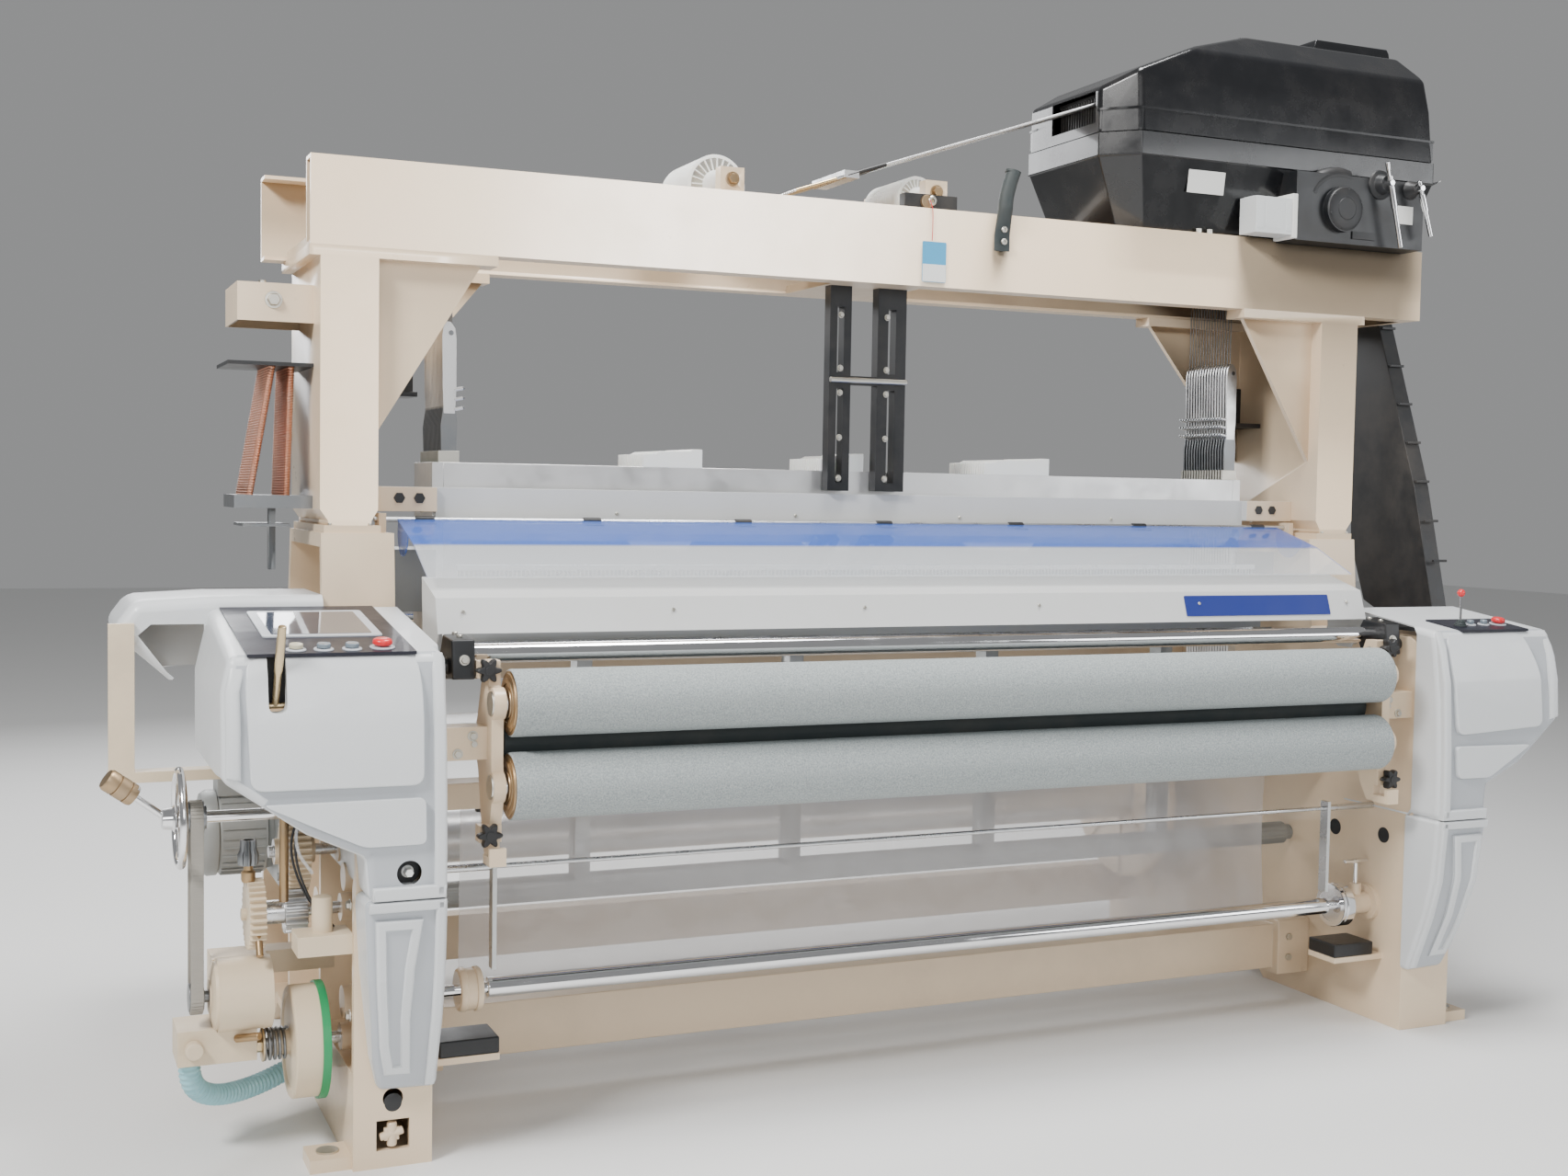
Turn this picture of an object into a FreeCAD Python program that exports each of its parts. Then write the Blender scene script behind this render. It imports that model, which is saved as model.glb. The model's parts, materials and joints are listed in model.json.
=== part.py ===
"""Water-jet power loom with a top-mounted dobby, in millimetres.

X runs along the loom, +X to the right as the weaver faces it; -Y is the weaver's side; +Z is up.
The origin is the centre of the four floor anchor holes, at floor level.
"""
import FreeCAD
import Part
import math
import os

# ---------------------------------------------------------------- driving dimensions
ROLLER_LENGTH = 2200.0       # working length of the take-up rollers
ROLLER_RADIUS = 67.5
FRAME_INNER = 1240.0         # inner face of each side frame from the centre plane
FRAME_WIDTH = 155.0          # thickness of a side frame casting
FRAME_DEPTH = 1300.0         # front to rear over the feet
FRAME_TOP = 1005.0
FRAME_WEB = 16.0             # casting wall
BORE_DEPTH = 61.0            # blind bores of the side frames
ANCHOR_RADIUS = 11.0         # floor anchor holes
ANCHOR_LUG = 80.0            # size of a foot lug beyond the frame
ANCHOR_INSET = 60.0          # anchor hole from the frame's end

SHAFT_GAP = 0.08             # radial running clearance of every journal
NIP_GAP = 0.3                # free gap between rolling surfaces and loose neighbours

POST_INNER = 1272.0          # arch posts stand on the side frames
POST_OUTER = 1418.0
POST_FRONT = -235.0
POST_REAR = 165.0
POST_BASE = 1240.0           # top of the frame pedestal
POST_TOP = 1828.0
CAP_THICKNESS = 23.0         # plate between posts and top beams
GUSSET_REACH = 1041.0        # inner end of the gussets
GUSSET_LOW = 1451.0
GUSSET_THICKNESS = 14.0

BEAM_HEIGHT = 190.0          # top beams
BEAM_DEPTH = 60.0
BEAM_WALL = 8.0
BEAM_LEFT = -1415.0
BEAM_RIGHT = 1620.0
REAR_BEAM_LEFT = -1465.0

UPPER_ROLLER_Z = 917.0
LOWER_ROLLER_Z = 751.0
ROLLER_Y = -686.0
MIDDLE_ROLLER_RADIUS = 55.0
ROLLER_JOURNAL = 17.0
BRACKET_INNER = 1112.0       # roller bracket plate
BRACKET_THICKNESS = 24.0

COVER_WALL = 4.0
COVER_OUTER = 1650.0         # outer side of the left upper cover
RIGHT_COVER_OUTER = 1628.0
COVER_SHOULDER = 32.0        # inward lean of the upper covers' outer side
COVER_SEAM = 558.0           # joint between upper and lower covers
COVER_FOOT = 160.0

HEALD_COUNT = 16
HEALD_PITCH = 12.0
HEALD_THICKNESS = 9.0
HEALD_FRONT = -96.0          # front face of the first heald frame
HEALD_HALF = 1124.0          # half length of a heald frame
HEALD_TOP = 1398.0
HEALD_BOTTOM = 740.0
HEALD_RAIL = 62.0

DOBBY_LEFT = 585.0
DOBBY_RIGHT = 1620.0
DOBBY_FRONT = -250.0
DOBBY_REAR = 160.0
DOBBY_RIM_LOW = 2224.0
DOBBY_RIM_TOP = 2282.0
DOBBY_TOP = 2580.0
DOBBY_WALL = 6.0

CLOTH_Y = -520.0
CLOTH_Z = 304.0
CLOTH_RADIUS = 21.0
CLOTH_HALF = 1097.0
DISC_INNER = 1111.0          # disc on the left and cup on the right of the cloth beam
DISC_OUTER = 1161.0
CUP_INNER = 1118.0
CUP_FLOOR = 1142.0
CUP_OUTER = 1156.0

WARP_Y = 430.0
WARP_Z = 440.0
WARP_BARREL = 70.0
WARP_FLANGE = 250.0

SLEY_PIVOT_Y = -200.0
SLEY_PIVOT_Z = 430.0

GEAR_MODULE = 4.0
TAKE_UP_TEETH = 40
PINION_TEETH = 20
GEAR_BACKLASH = 0.6          # gap between tooth flanks in mesh

HINGE_Y = -139.0             # rod of the splash cover
HINGE_Z = 1268.0
HINGE_ROD = 6.0
SPLASH_HALF = 1212.0
SHIELD_HALF = 1120.0
SHIELD_Y = -108.0            # rear face of the heald shield
HOOD_HALF = 1205.0
FILM_Y = -275.0
FILM_TOP = 640.0

BREAST_HALF = 1158.0
BREAST_Y = -574.0
BREAST_Z = 1007.0
BREAST_RADIUS = 20.0

CLOTH_JOURNAL = 12.0
SHELF_INNER = 1085.0         # inner end of the shelves inside the frames
PAD_LOW = 182.0
HANDLE_X = 1198.0            # T-handle on the cloth beam's bearing
HANDLE_STEM = 6.0
PRESSER_Y = -526.0
PRESSER_Z = 559.0
PRESSER_JOURNAL = 8.0

SLEY_JOURNAL = 20.0
WARP_JOURNAL = 25.0
LEVER_PIVOT_Y = 470.0        # back rest levers
LEVER_PIVOT_Z = 880.0
LEVER_PIN = 16.0
REST_Y = 560.0
REST_Z = 1000.0
REST_JOURNAL = 14.0

KNOB_X = 1140.0
KNOB_STUD = 5.0
UPPER_KNOB = (-672.0, 982.0)
LOWER_KNOB = (-690.0, 657.0)

PANEL_FRONT_Y = -730.0       # sloping line of the switch panels' underside
PANEL_FRONT_Z = 1022.0
PANEL_REAR_Y = -283.0
PANEL_REAR_Z = 1080.0
PANEL_THICKNESS = 6.0
LEFT_PANEL_X0 = -1606.0
LEFT_PANEL_X1 = -1293.0
RIGHT_PANEL_X0 = 1327.0
RIGHT_PANEL_X1 = 1545.0
RIGHT_PANEL_REAR = -600.0
LEFT_COVER_REAR = -280.0
RIGHT_COVER_REAR = -420.0
BUTTON_STEM = 5.0
BUTTON_TRAVEL = 4.0
LEFT_STOP = (-1351.0, -690.0)
LEFT_BUTTONS = [(-1410.0, -700.0), (-1463.0, -700.0), (-1514.0, -700.0)]
RIGHT_STOP = (1500.0, -670.0)
RIGHT_BUTTONS = [(1405.0, -672.0), (1450.0, -672.0)]
JOY_X = 1365.0
JOY_Y = -680.0
JOY_PIN = 3.0
START_X = 1554.0             # start lever, measured to the left
START_Y = -714.0
START_Z = 930.0
START_PIN = 6.0

HOOK_X = 1086.0
HOOK_TOP = 1718.0
REAR_GUSSET_REACH = 960.0
WHITE_GUIDES = [(-620.0, -470.0), (-157.0, -38.0), (311.0, 505.0)]
GUIDE_LEFT = -154.0
GUIDE_RIGHT = 56.0
GUIDE_Y0 = -132.0
GUIDE_Y1 = -100.0
SHEAVE_LEFT_X = -446.0
SHEAVE_LEFT_Z = 2072.0
SHEAVE_LEFT_RADIUS = 73.0
SHEAVE_RIGHT_X = 95.0
SHEAVE_RIGHT_Z = 2086.0
SHEAVE_RIGHT_RADIUS = 54.0
AXLE_RADIUS = 9.0
BAR_FRONT = -143.0
BAR_RADIUS = 3.5
BAR_LOW = (-263.0, 2068.0)   # lower and upper end of the drawbars (x, z)
BAR_HIGH = (700.0, 2399.2)

DOBBY_PIN = 9.0
LONG_LEVER = ((1392.0, 2196.0), (1381.0, 2251.0), (1436.0, 2027.0))     # pin, upper and lower end
SHORT_LEVER = ((1497.0, 2190.0), (1492.0, 2210.0), (1540.0, 2064.0))

HAND_Y = -500.0              # hand wheel and input shaft
HAND_Z = 690.0
HAND_SHAFT = 12.0
HUB_END = -1655.0            # inner end of the hand wheel's hub
INPUT_Z = 335.0
INPUT_SHAFT = 12.0
BELT_X0 = -1688.0
BELT_X1 = -1660.0
BELT_PULLEY = 28.0
GEAR_Y = -450.0
GEAR_Z = 603.0
GEAR_SHAFT = 12.0
PINION_Y = -493.0
DRUM_Y = -500.0
DRUM_Z = 227.0
DRUM_RADIUS = 112.0
DRUM_SHAFT = 12.0
HOSE_RADIUS = 22.0
HOSE_POINTS = [(-1684, -470, 203), (-1684, -470, 168), (-1668, -455, 134), (-1634, -425, 110),
               (-1586, -385, 98), (-1530, -345, 98), (-1478, -315, 108), (-1435, -300, 122),
               (-1395, -300, 122)]

# ---------------------------------------------------------------- derived sizes
FRAME_OUTER = FRAME_INNER + FRAME_WIDTH
FRAME_FRONT = -FRAME_DEPTH / 2
FRAME_REAR = FRAME_DEPTH / 2
ANCHOR_X = FRAME_OUTER + ANCHOR_LUG / 2
ANCHOR_Y = FRAME_REAR - ANCHOR_INSET
ROLLER_HALF = ROLLER_LENGTH / 2
BEAM_LOW = POST_TOP + CAP_THICKNESS
BEAM_TOP = BEAM_LOW + BEAM_HEIGHT
BEAM_FRONT = POST_FRONT + 7.0
REAR_BEAM_FRONT = POST_REAR - BEAM_DEPTH
NIP_DISTANCE = ROLLER_RADIUS + MIDDLE_ROLLER_RADIUS + NIP_GAP
MIDDLE_ROLLER_Z = (UPPER_ROLLER_Z + LOWER_ROLLER_Z) / 2
MIDDLE_ROLLER_Y = ROLLER_Y + math.sqrt(NIP_DISTANCE ** 2 - (UPPER_ROLLER_Z - MIDDLE_ROLLER_Z) ** 2)
HEALD_REAR = HEALD_FRONT + (HEALD_COUNT - 1) * HEALD_PITCH + HEALD_THICKNESS
GEAR_DISTANCE = GEAR_MODULE * (TAKE_UP_TEETH + PINION_TEETH) / 2 + GEAR_BACKLASH
PINION_Z = GEAR_Z - math.sqrt(GEAR_DISTANCE ** 2 - (PINION_Y - GEAR_Y) ** 2)
MESH_ANGLE = math.degrees(math.atan2(PINION_Z - GEAR_Z, PINION_Y - GEAR_Y))
GEAR_TURN = MESH_ANGLE
PINION_TURN = MESH_ANGLE + 180 + 180 / PINION_TEETH


# ---------------------------------------------------------------- helpers
def box(x0, x1, y0, y1, z0, z1):
    """Axis-aligned block between two corners given in any order."""
    low = FreeCAD.Vector(min(x0, x1), min(y0, y1), min(z0, z1))
    return Part.makeBox(abs(x1 - x0), abs(y1 - y0), abs(z1 - z0), low)


def rod_x(x0, x1, y, z, radius):
    """Round bar along X."""
    start = FreeCAD.Vector(min(x0, x1), y, z)
    return Part.makeCylinder(radius, abs(x1 - x0), start, FreeCAD.Vector(1, 0, 0))


def rod_y(y0, y1, x, z, radius):
    """Round bar along Y."""
    start = FreeCAD.Vector(x, min(y0, y1), z)
    return Part.makeCylinder(radius, abs(y1 - y0), start, FreeCAD.Vector(0, 1, 0))


def rod_z(z0, z1, x, y, radius):
    """Round bar along Z."""
    start = FreeCAD.Vector(x, y, min(z0, z1))
    return Part.makeCylinder(radius, abs(z1 - z0), start, FreeCAD.Vector(0, 0, 1))


def rod_between(start, end, radius):
    """Round bar between two points."""
    a = FreeCAD.Vector(*start)
    b = FreeCAD.Vector(*end)
    return Part.makeCylinder(radius, a.distanceToPoint(b), a, b.sub(a))


def prism_x(outline, x0, x1):
    """Outline of (y, z) points extruded along X."""
    low = min(x0, x1)
    points = [FreeCAD.Vector(low, y, z) for y, z in outline]
    return face_of(points).extrude(FreeCAD.Vector(abs(x1 - x0), 0, 0))


def prism_y(outline, y0, y1):
    """Outline of (x, z) points extruded along Y."""
    low = min(y0, y1)
    points = [FreeCAD.Vector(x, low, z) for x, z in outline]
    return face_of(points).extrude(FreeCAD.Vector(0, abs(y1 - y0), 0))


def prism_z(outline, z0, z1):
    """Outline of (x, y) points extruded along Z."""
    low = min(z0, z1)
    points = [FreeCAD.Vector(x, y, low) for x, y in outline]
    return face_of(points).extrude(FreeCAD.Vector(0, 0, abs(z1 - z0)))


def face_of(points):
    """Flat face inside a closed run of points."""
    return Part.Face(Part.makePolygon(points + [points[0]]))


def fuse(first, *others):
    """One solid from several that touch or overlap."""
    shape = first
    for other in others:
        shape = shape.fuse(other)
    return shape.removeSplitter()


def cut(shape, *tools):
    """A solid with other solids taken out of it."""
    for tool in tools:
        shape = shape.cut(tool)
    return shape


def mirrored(shape):
    """The same piece on the other side of the centre plane."""
    return shape.mirror(FreeCAD.Vector(0, 0, 0), FreeCAD.Vector(1, 0, 0))


def on_side(shape, side):
    """A piece drawn for the right side, put on the side asked for."""
    return shape if side > 0 else mirrored(shape)


def gear(teeth, module, x0, x1, y, z, turn=0.0):
    """Spur gear along X with straight-sided teeth, one tooth at `turn` degrees from +Y."""
    pitch = module * teeth / 2
    root = pitch - 1.25 * module
    tip = pitch + module
    step = 2 * math.pi / teeth
    points = []
    for index in range(teeth):
        middle = math.radians(turn) + index * step
        for radius, share in ((root, -0.34), (tip, -0.13), (tip, 0.13), (root, 0.34)):
            angle = middle + share * step
            points.append((y + radius * math.cos(angle), z + radius * math.sin(angle)))
    return prism_x(points, x0, x1)


# ---------------------------------------------------------------- frame
def side_frame(side):
    """Cast side frame, hollow towards the outside, with bosses for every shaft it carries."""
    outline = [(FRAME_FRONT, 0), (FRAME_FRONT, COVER_SEAM - 30), (FRAME_FRONT - 20, COVER_SEAM),
               (FRAME_FRONT - 20, FRAME_TOP - 15), (FRAME_FRONT + 10, FRAME_TOP), (-270, FRAME_TOP),
               (-250, POST_BASE), (185, POST_BASE), (230, FRAME_TOP), (500, 960), (FRAME_REAR, 880),
               (FRAME_REAR, 0), (440, 0), (380, 60), (-60, 60), (-114, 0)]
    pocket = [(FRAME_FRONT + 20, 190), (FRAME_FRONT + 20, 560), (FRAME_FRONT, 590),
              (FRAME_FRONT, FRAME_TOP - 35), (-252, FRAME_TOP - 20), (-232, POST_BASE - 30),
              (165, POST_BASE - 30), (212, FRAME_TOP - 20), (490, 940), (FRAME_REAR - 20, 865),
              (FRAME_REAR - 20, 40), (465, 40), (400, 82), (-75, 82), (-135, 190)]
    shape = prism_x(outline, FRAME_INNER, FRAME_OUTER)
    shape = shape.cut(prism_x(pocket, FRAME_INNER + FRAME_WEB, FRAME_OUTER))
    foot_hollow = box(FRAME_INNER + FRAME_WEB, FRAME_OUTER - 14, FRAME_FRONT + 16, -150, 14, 172)
    shape = shape.cut(foot_hollow)
    window = box(FRAME_INNER + 45, FRAME_OUTER - 45, FRAME_FRONT, FRAME_FRONT + 16, 35, 95)
    plug_hole = rod_y(FRAME_FRONT, FRAME_FRONT + 16, FRAME_INNER + 78, 138, 20)
    shape = shape.cut(window).cut(plug_hole)
    for y in (-250, 190):
        shape = shape.fuse(box(FRAME_INNER, FRAME_OUTER, y - 9, y + 9, 78, FRAME_TOP - 10))
    for y, z, radius in bosses(side):
        shape = shape.fuse(rod_x(FRAME_INNER, FRAME_OUTER, y, z, radius + 20))
    for y in (-ANCHOR_Y, ANCHOR_Y):
        lug = box(FRAME_OUTER, FRAME_OUTER + ANCHOR_LUG, y - 45, y + 45, 0, 26)
        shape = shape.fuse(lug).cut(rod_z(-1, 27, ANCHOR_X, y, ANCHOR_RADIUS))
    shape = shape.fuse(hinge_lug())
    for y, z, radius in bosses(side):
        shape = shape.cut(rod_x(FRAME_INNER - 1, FRAME_INNER + BORE_DEPTH, y, z, radius + SHAFT_GAP))
    for y, z, radius in outer_bosses(side):
        shape = shape.fuse(rod_x(FRAME_INNER + 1, FRAME_OUTER, y, z, radius + 16))
        shape = shape.cut(rod_x(FRAME_OUTER - 90, FRAME_OUTER + 1, y, z, radius + SHAFT_GAP))
    shape = shape.fuse(shelf())
    return on_side(shape.removeSplitter(), side)


def hinge_lug():
    """Ear on the frame that carries the splash cover's rod."""
    ear = box(FRAME_INNER, FRAME_INNER + FRAME_WEB, HINGE_Y - 24, HINGE_Y + 22, FRAME_TOP - 5, HINGE_Z + 14)
    return ear.cut(rod_x(FRAME_INNER - 1, FRAME_INNER + FRAME_WEB + 1, HINGE_Y, HINGE_Z, HINGE_ROD + SHAFT_GAP))


def shelf():
    """Bracket inside the frame under the black rest pad."""
    return box(SHELF_INNER, FRAME_INNER + 2, CLOTH_Y - 60, CLOTH_Y + 40, PAD_LOW - 14, PAD_LOW)


def bosses(side):
    """Bores reached from the inner face: place and shaft radius."""
    both = [(SLEY_PIVOT_Y, SLEY_PIVOT_Z, SLEY_JOURNAL), (WARP_Y, WARP_Z, WARP_JOURNAL),
            (LEVER_PIVOT_Y, LEVER_PIVOT_Z, LEVER_PIN), (PRESSER_Y, PRESSER_Z, PRESSER_JOURNAL)]
    return both if side > 0 else both + [(CLOTH_Y, CLOTH_Z, CLOTH_JOURNAL)]


def outer_bosses(side):
    """Bores reached from the outer face of the left frame, which carries the gearing."""
    if side > 0:
        return []
    return [(HAND_Y, HAND_Z, HAND_SHAFT), (GEAR_Y, GEAR_Z, GEAR_SHAFT), (PINION_Y, PINION_Z, GEAR_SHAFT),
            (DRUM_Y, DRUM_Z, DRUM_SHAFT)]


def cross_beams():
    """Beams that tie the two side frames, and the rail that the drip film hangs from."""
    front = box(-FRAME_INNER, FRAME_INNER, -277, -217, 78, 198)
    front = front.cut(box(-FRAME_INNER, FRAME_INNER, -271, -223, 84, 192))
    plates = []
    for side in (-1, 1):
        flange = box(1136, FRAME_INNER, -300, -196, 64, 212)
        plates.append(on_side(flange.cut(box(1135, FRAME_INNER + 1, -277, -217, 78, 198)), side))
    front = fuse(front, *plates)
    rear_low = hollow_beam(560, 620, 78, 198)
    rear_high = hollow_beam(300, 360, 860, 950)
    tie = box(-FRAME_INNER, FRAME_INNER, -363, -290, 650, 708)
    tie = tie.cut(box(-FRAME_INNER, FRAME_INNER, -357, -296, 656, 702))
    rail = box(-FRAME_INNER, FRAME_INNER, FILM_Y - 8, FILM_Y + 10, FILM_TOP, FILM_TOP + 20)
    return [front, rear_low, rear_high, tie, rail]


def hollow_beam(y0, y1, z0, z1):
    """Box-section beam between the side frames."""
    outer = box(-FRAME_INNER, FRAME_INNER, y0, y1, z0, z1)
    return outer.cut(box(-FRAME_INNER, FRAME_INNER, y0 + 6, y1 - 6, z0 + 6, z1 - 6))


def arch_post(side):
    """Cast post on the side frame, with gussets and the plate under the top beams."""
    outline = [(POST_INNER + 14, POST_BASE), (POST_OUTER - 40, POST_BASE), (POST_OUTER - 40, POST_BASE + 26),
               (POST_OUTER - 23, POST_BASE + 50), (POST_OUTER - 23, POST_TOP), (POST_INNER, POST_TOP),
               (POST_INNER, POST_BASE + 50), (POST_INNER + 14, POST_BASE + 26)]
    shape = prism_y(outline, POST_FRONT, POST_REAR)
    hollow = box(POST_INNER + 12, POST_OUTER - 35, POST_FRONT + 12, POST_REAR - 12, POST_BASE + 60, POST_TOP - 12)
    shape = shape.cut(hollow)
    flange = box(POST_INNER - 4, POST_OUTER - 30, POST_FRONT - 10, POST_REAR + 10, POST_BASE, POST_BASE + 16)
    shape = shape.fuse(flange)
    gusset = [(POST_INNER, GUSSET_LOW), (GUSSET_REACH, POST_TOP), (POST_INNER, POST_TOP)]
    front = prism_y(gusset, POST_FRONT + 40, POST_FRONT + 40 + GUSSET_THICKNESS)
    rear_gusset = [(POST_INNER, GUSSET_LOW), (REAR_GUSSET_REACH, POST_TOP), (POST_INNER, POST_TOP)]
    rear = prism_y(rear_gusset, POST_REAR - 50, POST_REAR - 50 + GUSSET_THICKNESS)
    front_cap = box(GUSSET_REACH - 30, POST_OUTER, POST_FRONT, POST_FRONT + 75, POST_TOP, BEAM_LOW)
    rear_cap = box(REAR_GUSSET_REACH - 15, POST_OUTER, POST_REAR - 65, POST_REAR, POST_TOP, BEAM_LOW)
    middle_cap = box(POST_INNER, POST_OUTER, POST_FRONT, POST_REAR, POST_TOP, BEAM_LOW)
    rib = prism_x([(POST_FRONT + 54, POST_TOP), (POST_FRONT + 54, POST_TOP - 70), (POST_FRONT + 75, POST_TOP)],
                  GUSSET_REACH + 60, GUSSET_REACH + 70)
    shape = fuse(shape, front, rear, front_cap, rear_cap, middle_cap, rib)
    return on_side(shape, side)


def top_beams():
    """Front and rear beams over the arch, their cross plates and the lugs of the sheave axles."""
    front = box(BEAM_LEFT, BEAM_RIGHT, BEAM_FRONT, BEAM_FRONT + BEAM_DEPTH, BEAM_LOW, BEAM_TOP)
    front = front.cut(box(BEAM_LEFT, BEAM_RIGHT, BEAM_FRONT + BEAM_WALL, BEAM_FRONT + BEAM_DEPTH - BEAM_WALL,
                          BEAM_LOW + BEAM_WALL, BEAM_TOP - BEAM_WALL))
    rear = box(REAR_BEAM_LEFT, BEAM_RIGHT, REAR_BEAM_FRONT, POST_REAR, BEAM_LOW, BEAM_TOP)
    rear = rear.cut(box(REAR_BEAM_LEFT, BEAM_RIGHT, REAR_BEAM_FRONT, POST_REAR - BEAM_WALL,
                        BEAM_LOW + BEAM_WALL, BEAM_TOP - BEAM_WALL))
    inner0 = BEAM_FRONT + BEAM_DEPTH
    plates = [box(BEAM_LEFT, -POST_INNER, inner0, REAR_BEAM_FRONT, BEAM_LOW, BEAM_LOW + 20),
              box(POST_INNER, POST_OUTER, inner0, REAR_BEAM_FRONT, BEAM_LOW, BEAM_LOW + 20),
              box(BEAM_RIGHT - 20, BEAM_RIGHT, inner0, REAR_BEAM_FRONT, BEAM_LOW, BEAM_TOP),
              box(GUIDE_LEFT - 15, GUIDE_RIGHT + 15, inner0, REAR_BEAM_FRONT, BEAM_LOW, BEAM_LOW + 20)]
    lugs = []
    for x, z, reach in ((SHEAVE_LEFT_X, SHEAVE_LEFT_Z, 30), (SHEAVE_RIGHT_X, SHEAVE_RIGHT_Z, 30)):
        for y in (BEAM_FRONT + BEAM_DEPTH - 34, REAR_BEAM_FRONT + 2):
            lug = box(x - reach, x + reach, y, y + 32, BEAM_TOP, z + 28)
            lugs.append(lug.cut(rod_y(y - 1, y + 33, x, z, AXLE_RADIUS + SHAFT_GAP)))
    return fuse(front, rear, *plates, *lugs)


# ---------------------------------------------------------------- covers
def upper_cover_outline(grow, side):
    """Front outline (x, z) of an upper cover, moved inwards by `grow`."""
    outer = (COVER_OUTER if side < 0 else RIGHT_COVER_OUTER) - grow
    return [(FRAME_INNER + grow, COVER_SEAM + grow), (1384 - grow, COVER_SEAM + grow), (1392 - grow, 640 + grow),
            (1500, 690 + grow), (outer, 795 + grow), (outer, 960), (outer - COVER_SHOULDER, 1100 - grow),
            (FRAME_INNER + grow, 1100 - grow)]


def upper_cover_side(grow, rear):
    """Side outline (y, z) of an upper cover, moved inwards by `grow`, up to the rear edge."""
    slope = (PANEL_REAR_Z - PANEL_FRONT_Z) / (PANEL_REAR_Y - PANEL_FRONT_Y)
    rear_z = PANEL_FRONT_Z + slope * (rear - PANEL_FRONT_Y) - grow
    return [(rear, COVER_SEAM), (rear, rear_z), (PANEL_FRONT_Y + grow / 3, PANEL_FRONT_Z - grow),
            (-748 + grow, 985), (-768 + grow, 900), (-778 + grow, 740), (-781 + grow, COVER_SEAM)]


def upper_cover(side):
    """Moulded shell in front of and outside the frame, open to the rear."""
    rear = LEFT_COVER_REAR if side < 0 else RIGHT_COVER_REAR
    outer = prism_y(upper_cover_outline(0, side), -800, rear)
    outer = outer.common(prism_x(upper_cover_side(0, rear), FRAME_INNER, COVER_OUTER))
    inner = prism_y(upper_cover_outline(COVER_WALL, side), -800, rear + 1)
    inner = inner.common(prism_x(upper_cover_side(COVER_WALL, rear + 1), FRAME_INNER, COVER_OUTER))
    shape = outer.cut(inner)
    if side < 0:
        shape = shape.cut(box(FRAME_OUTER, COVER_OUTER - COVER_WALL, -740, rear + 1, COVER_SEAM, 850))
    frame_room = box(FRAME_INNER - 1, FRAME_OUTER, FRAME_FRONT - 20, 0, COVER_SEAM - 5, FRAME_TOP)
    shape = shape.cut(frame_room)
    if side < 0:
        shape = lever_slot_and_hood(shape)
    shape = biggest(shape)
    return on_side(shape, side)


def biggest(shape):
    """The largest solid of a shape."""
    return sorted(shape.Solids, key=lambda solid: solid.Volume)[-1]


def lever_slot_and_hood(shape):
    """Slot and pivot ears of the start lever, drawn on the right side for the left cover."""
    shape = shape.cut(box(START_X - 14, START_X + 14, -800, START_Y + 40, START_Z - 12, 1100))
    for x in (START_X - 30, START_X + 18):
        ear = box(x, x + 12, -800, START_Y + 14, START_Z - 14, START_Z + 14)
        ear = ear.common(prism_x(upper_cover_side(1, LEFT_COVER_REAR), FRAME_INNER, COVER_OUTER))
        shape = shape.fuse(ear)
    shape = shape.cut(rod_x(START_X - 27, START_X + 27, START_Y, START_Z, START_PIN + SHAFT_GAP))
    outer = [(FRAME_OUTER, 940), (1700, 940), (1810, 1040), (1770, 1096), (1618, 1104), (FRAME_OUTER, 1104)]
    inner = [(FRAME_OUTER, 930), (1695, 936), (1803, 1038), (1767, 1091), (1618, 1099), (FRAME_OUTER, 1099)]
    hood = prism_y(outer, LEFT_COVER_REAR, 0).cut(prism_y(inner, LEFT_COVER_REAR + 4, -4))
    hood = hood.cut(box(FRAME_OUTER + 10, 1636, LEFT_COVER_REAR - 1, LEFT_COVER_REAR + 5, 929, 1048))
    return shape.fuse(hood)


def lower_cover(side):
    """Narrow moulded cover in front of the frame below the upper one."""
    outline = [(FRAME_INNER, COVER_FOOT), (1350, COVER_FOOT + 4), (1366, 230), (1384, 400), (1394, COVER_SEAM),
               (FRAME_INNER, COVER_SEAM)]
    profile = [(FRAME_FRONT, COVER_FOOT), (-680, COVER_FOOT), (-740, 306), (-767, 404), (-781, COVER_SEAM),
               (FRAME_FRONT, COVER_SEAM)]
    inner_profile = [(FRAME_FRONT, COVER_FOOT + 4), (-678, COVER_FOOT + 4), (-736, 306), (-763, 404),
                     (-777, COVER_SEAM - 4), (FRAME_FRONT, COVER_SEAM - 4)]
    shape = prism_y(outline, -800, FRAME_FRONT).common(prism_x(profile, FRAME_INNER, FRAME_OUTER))
    room = box(FRAME_INNER + 4, FRAME_OUTER, -800, FRAME_FRONT, COVER_FOOT, COVER_SEAM)
    inner_outline = [(FRAME_INNER + 4, COVER_FOOT + 4), (1346, COVER_FOOT + 8), (1362, 231), (1380, 401),
                     (1390, COVER_SEAM - 4), (FRAME_INNER + 4, COVER_SEAM - 4)]
    inner = prism_y(inner_outline, -800, FRAME_FRONT).common(prism_x(inner_profile, FRAME_INNER, FRAME_OUTER))
    shape = shape.cut(inner.common(room))
    frame_room = prism_x([(FRAME_FRONT, COVER_SEAM - 30), (FRAME_FRONT - 20, COVER_SEAM), (FRAME_FRONT, COVER_SEAM)],
                         FRAME_INNER - 1, FRAME_OUTER)
    return on_side(biggest(shape.cut(frame_room)), side)


def panel_point(y):
    """Height of the sloping panel's underside at a given y."""
    slope = (PANEL_REAR_Z - PANEL_FRONT_Z) / (PANEL_REAR_Y - PANEL_FRONT_Y)
    return PANEL_FRONT_Z + slope * (y - PANEL_FRONT_Y)


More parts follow.
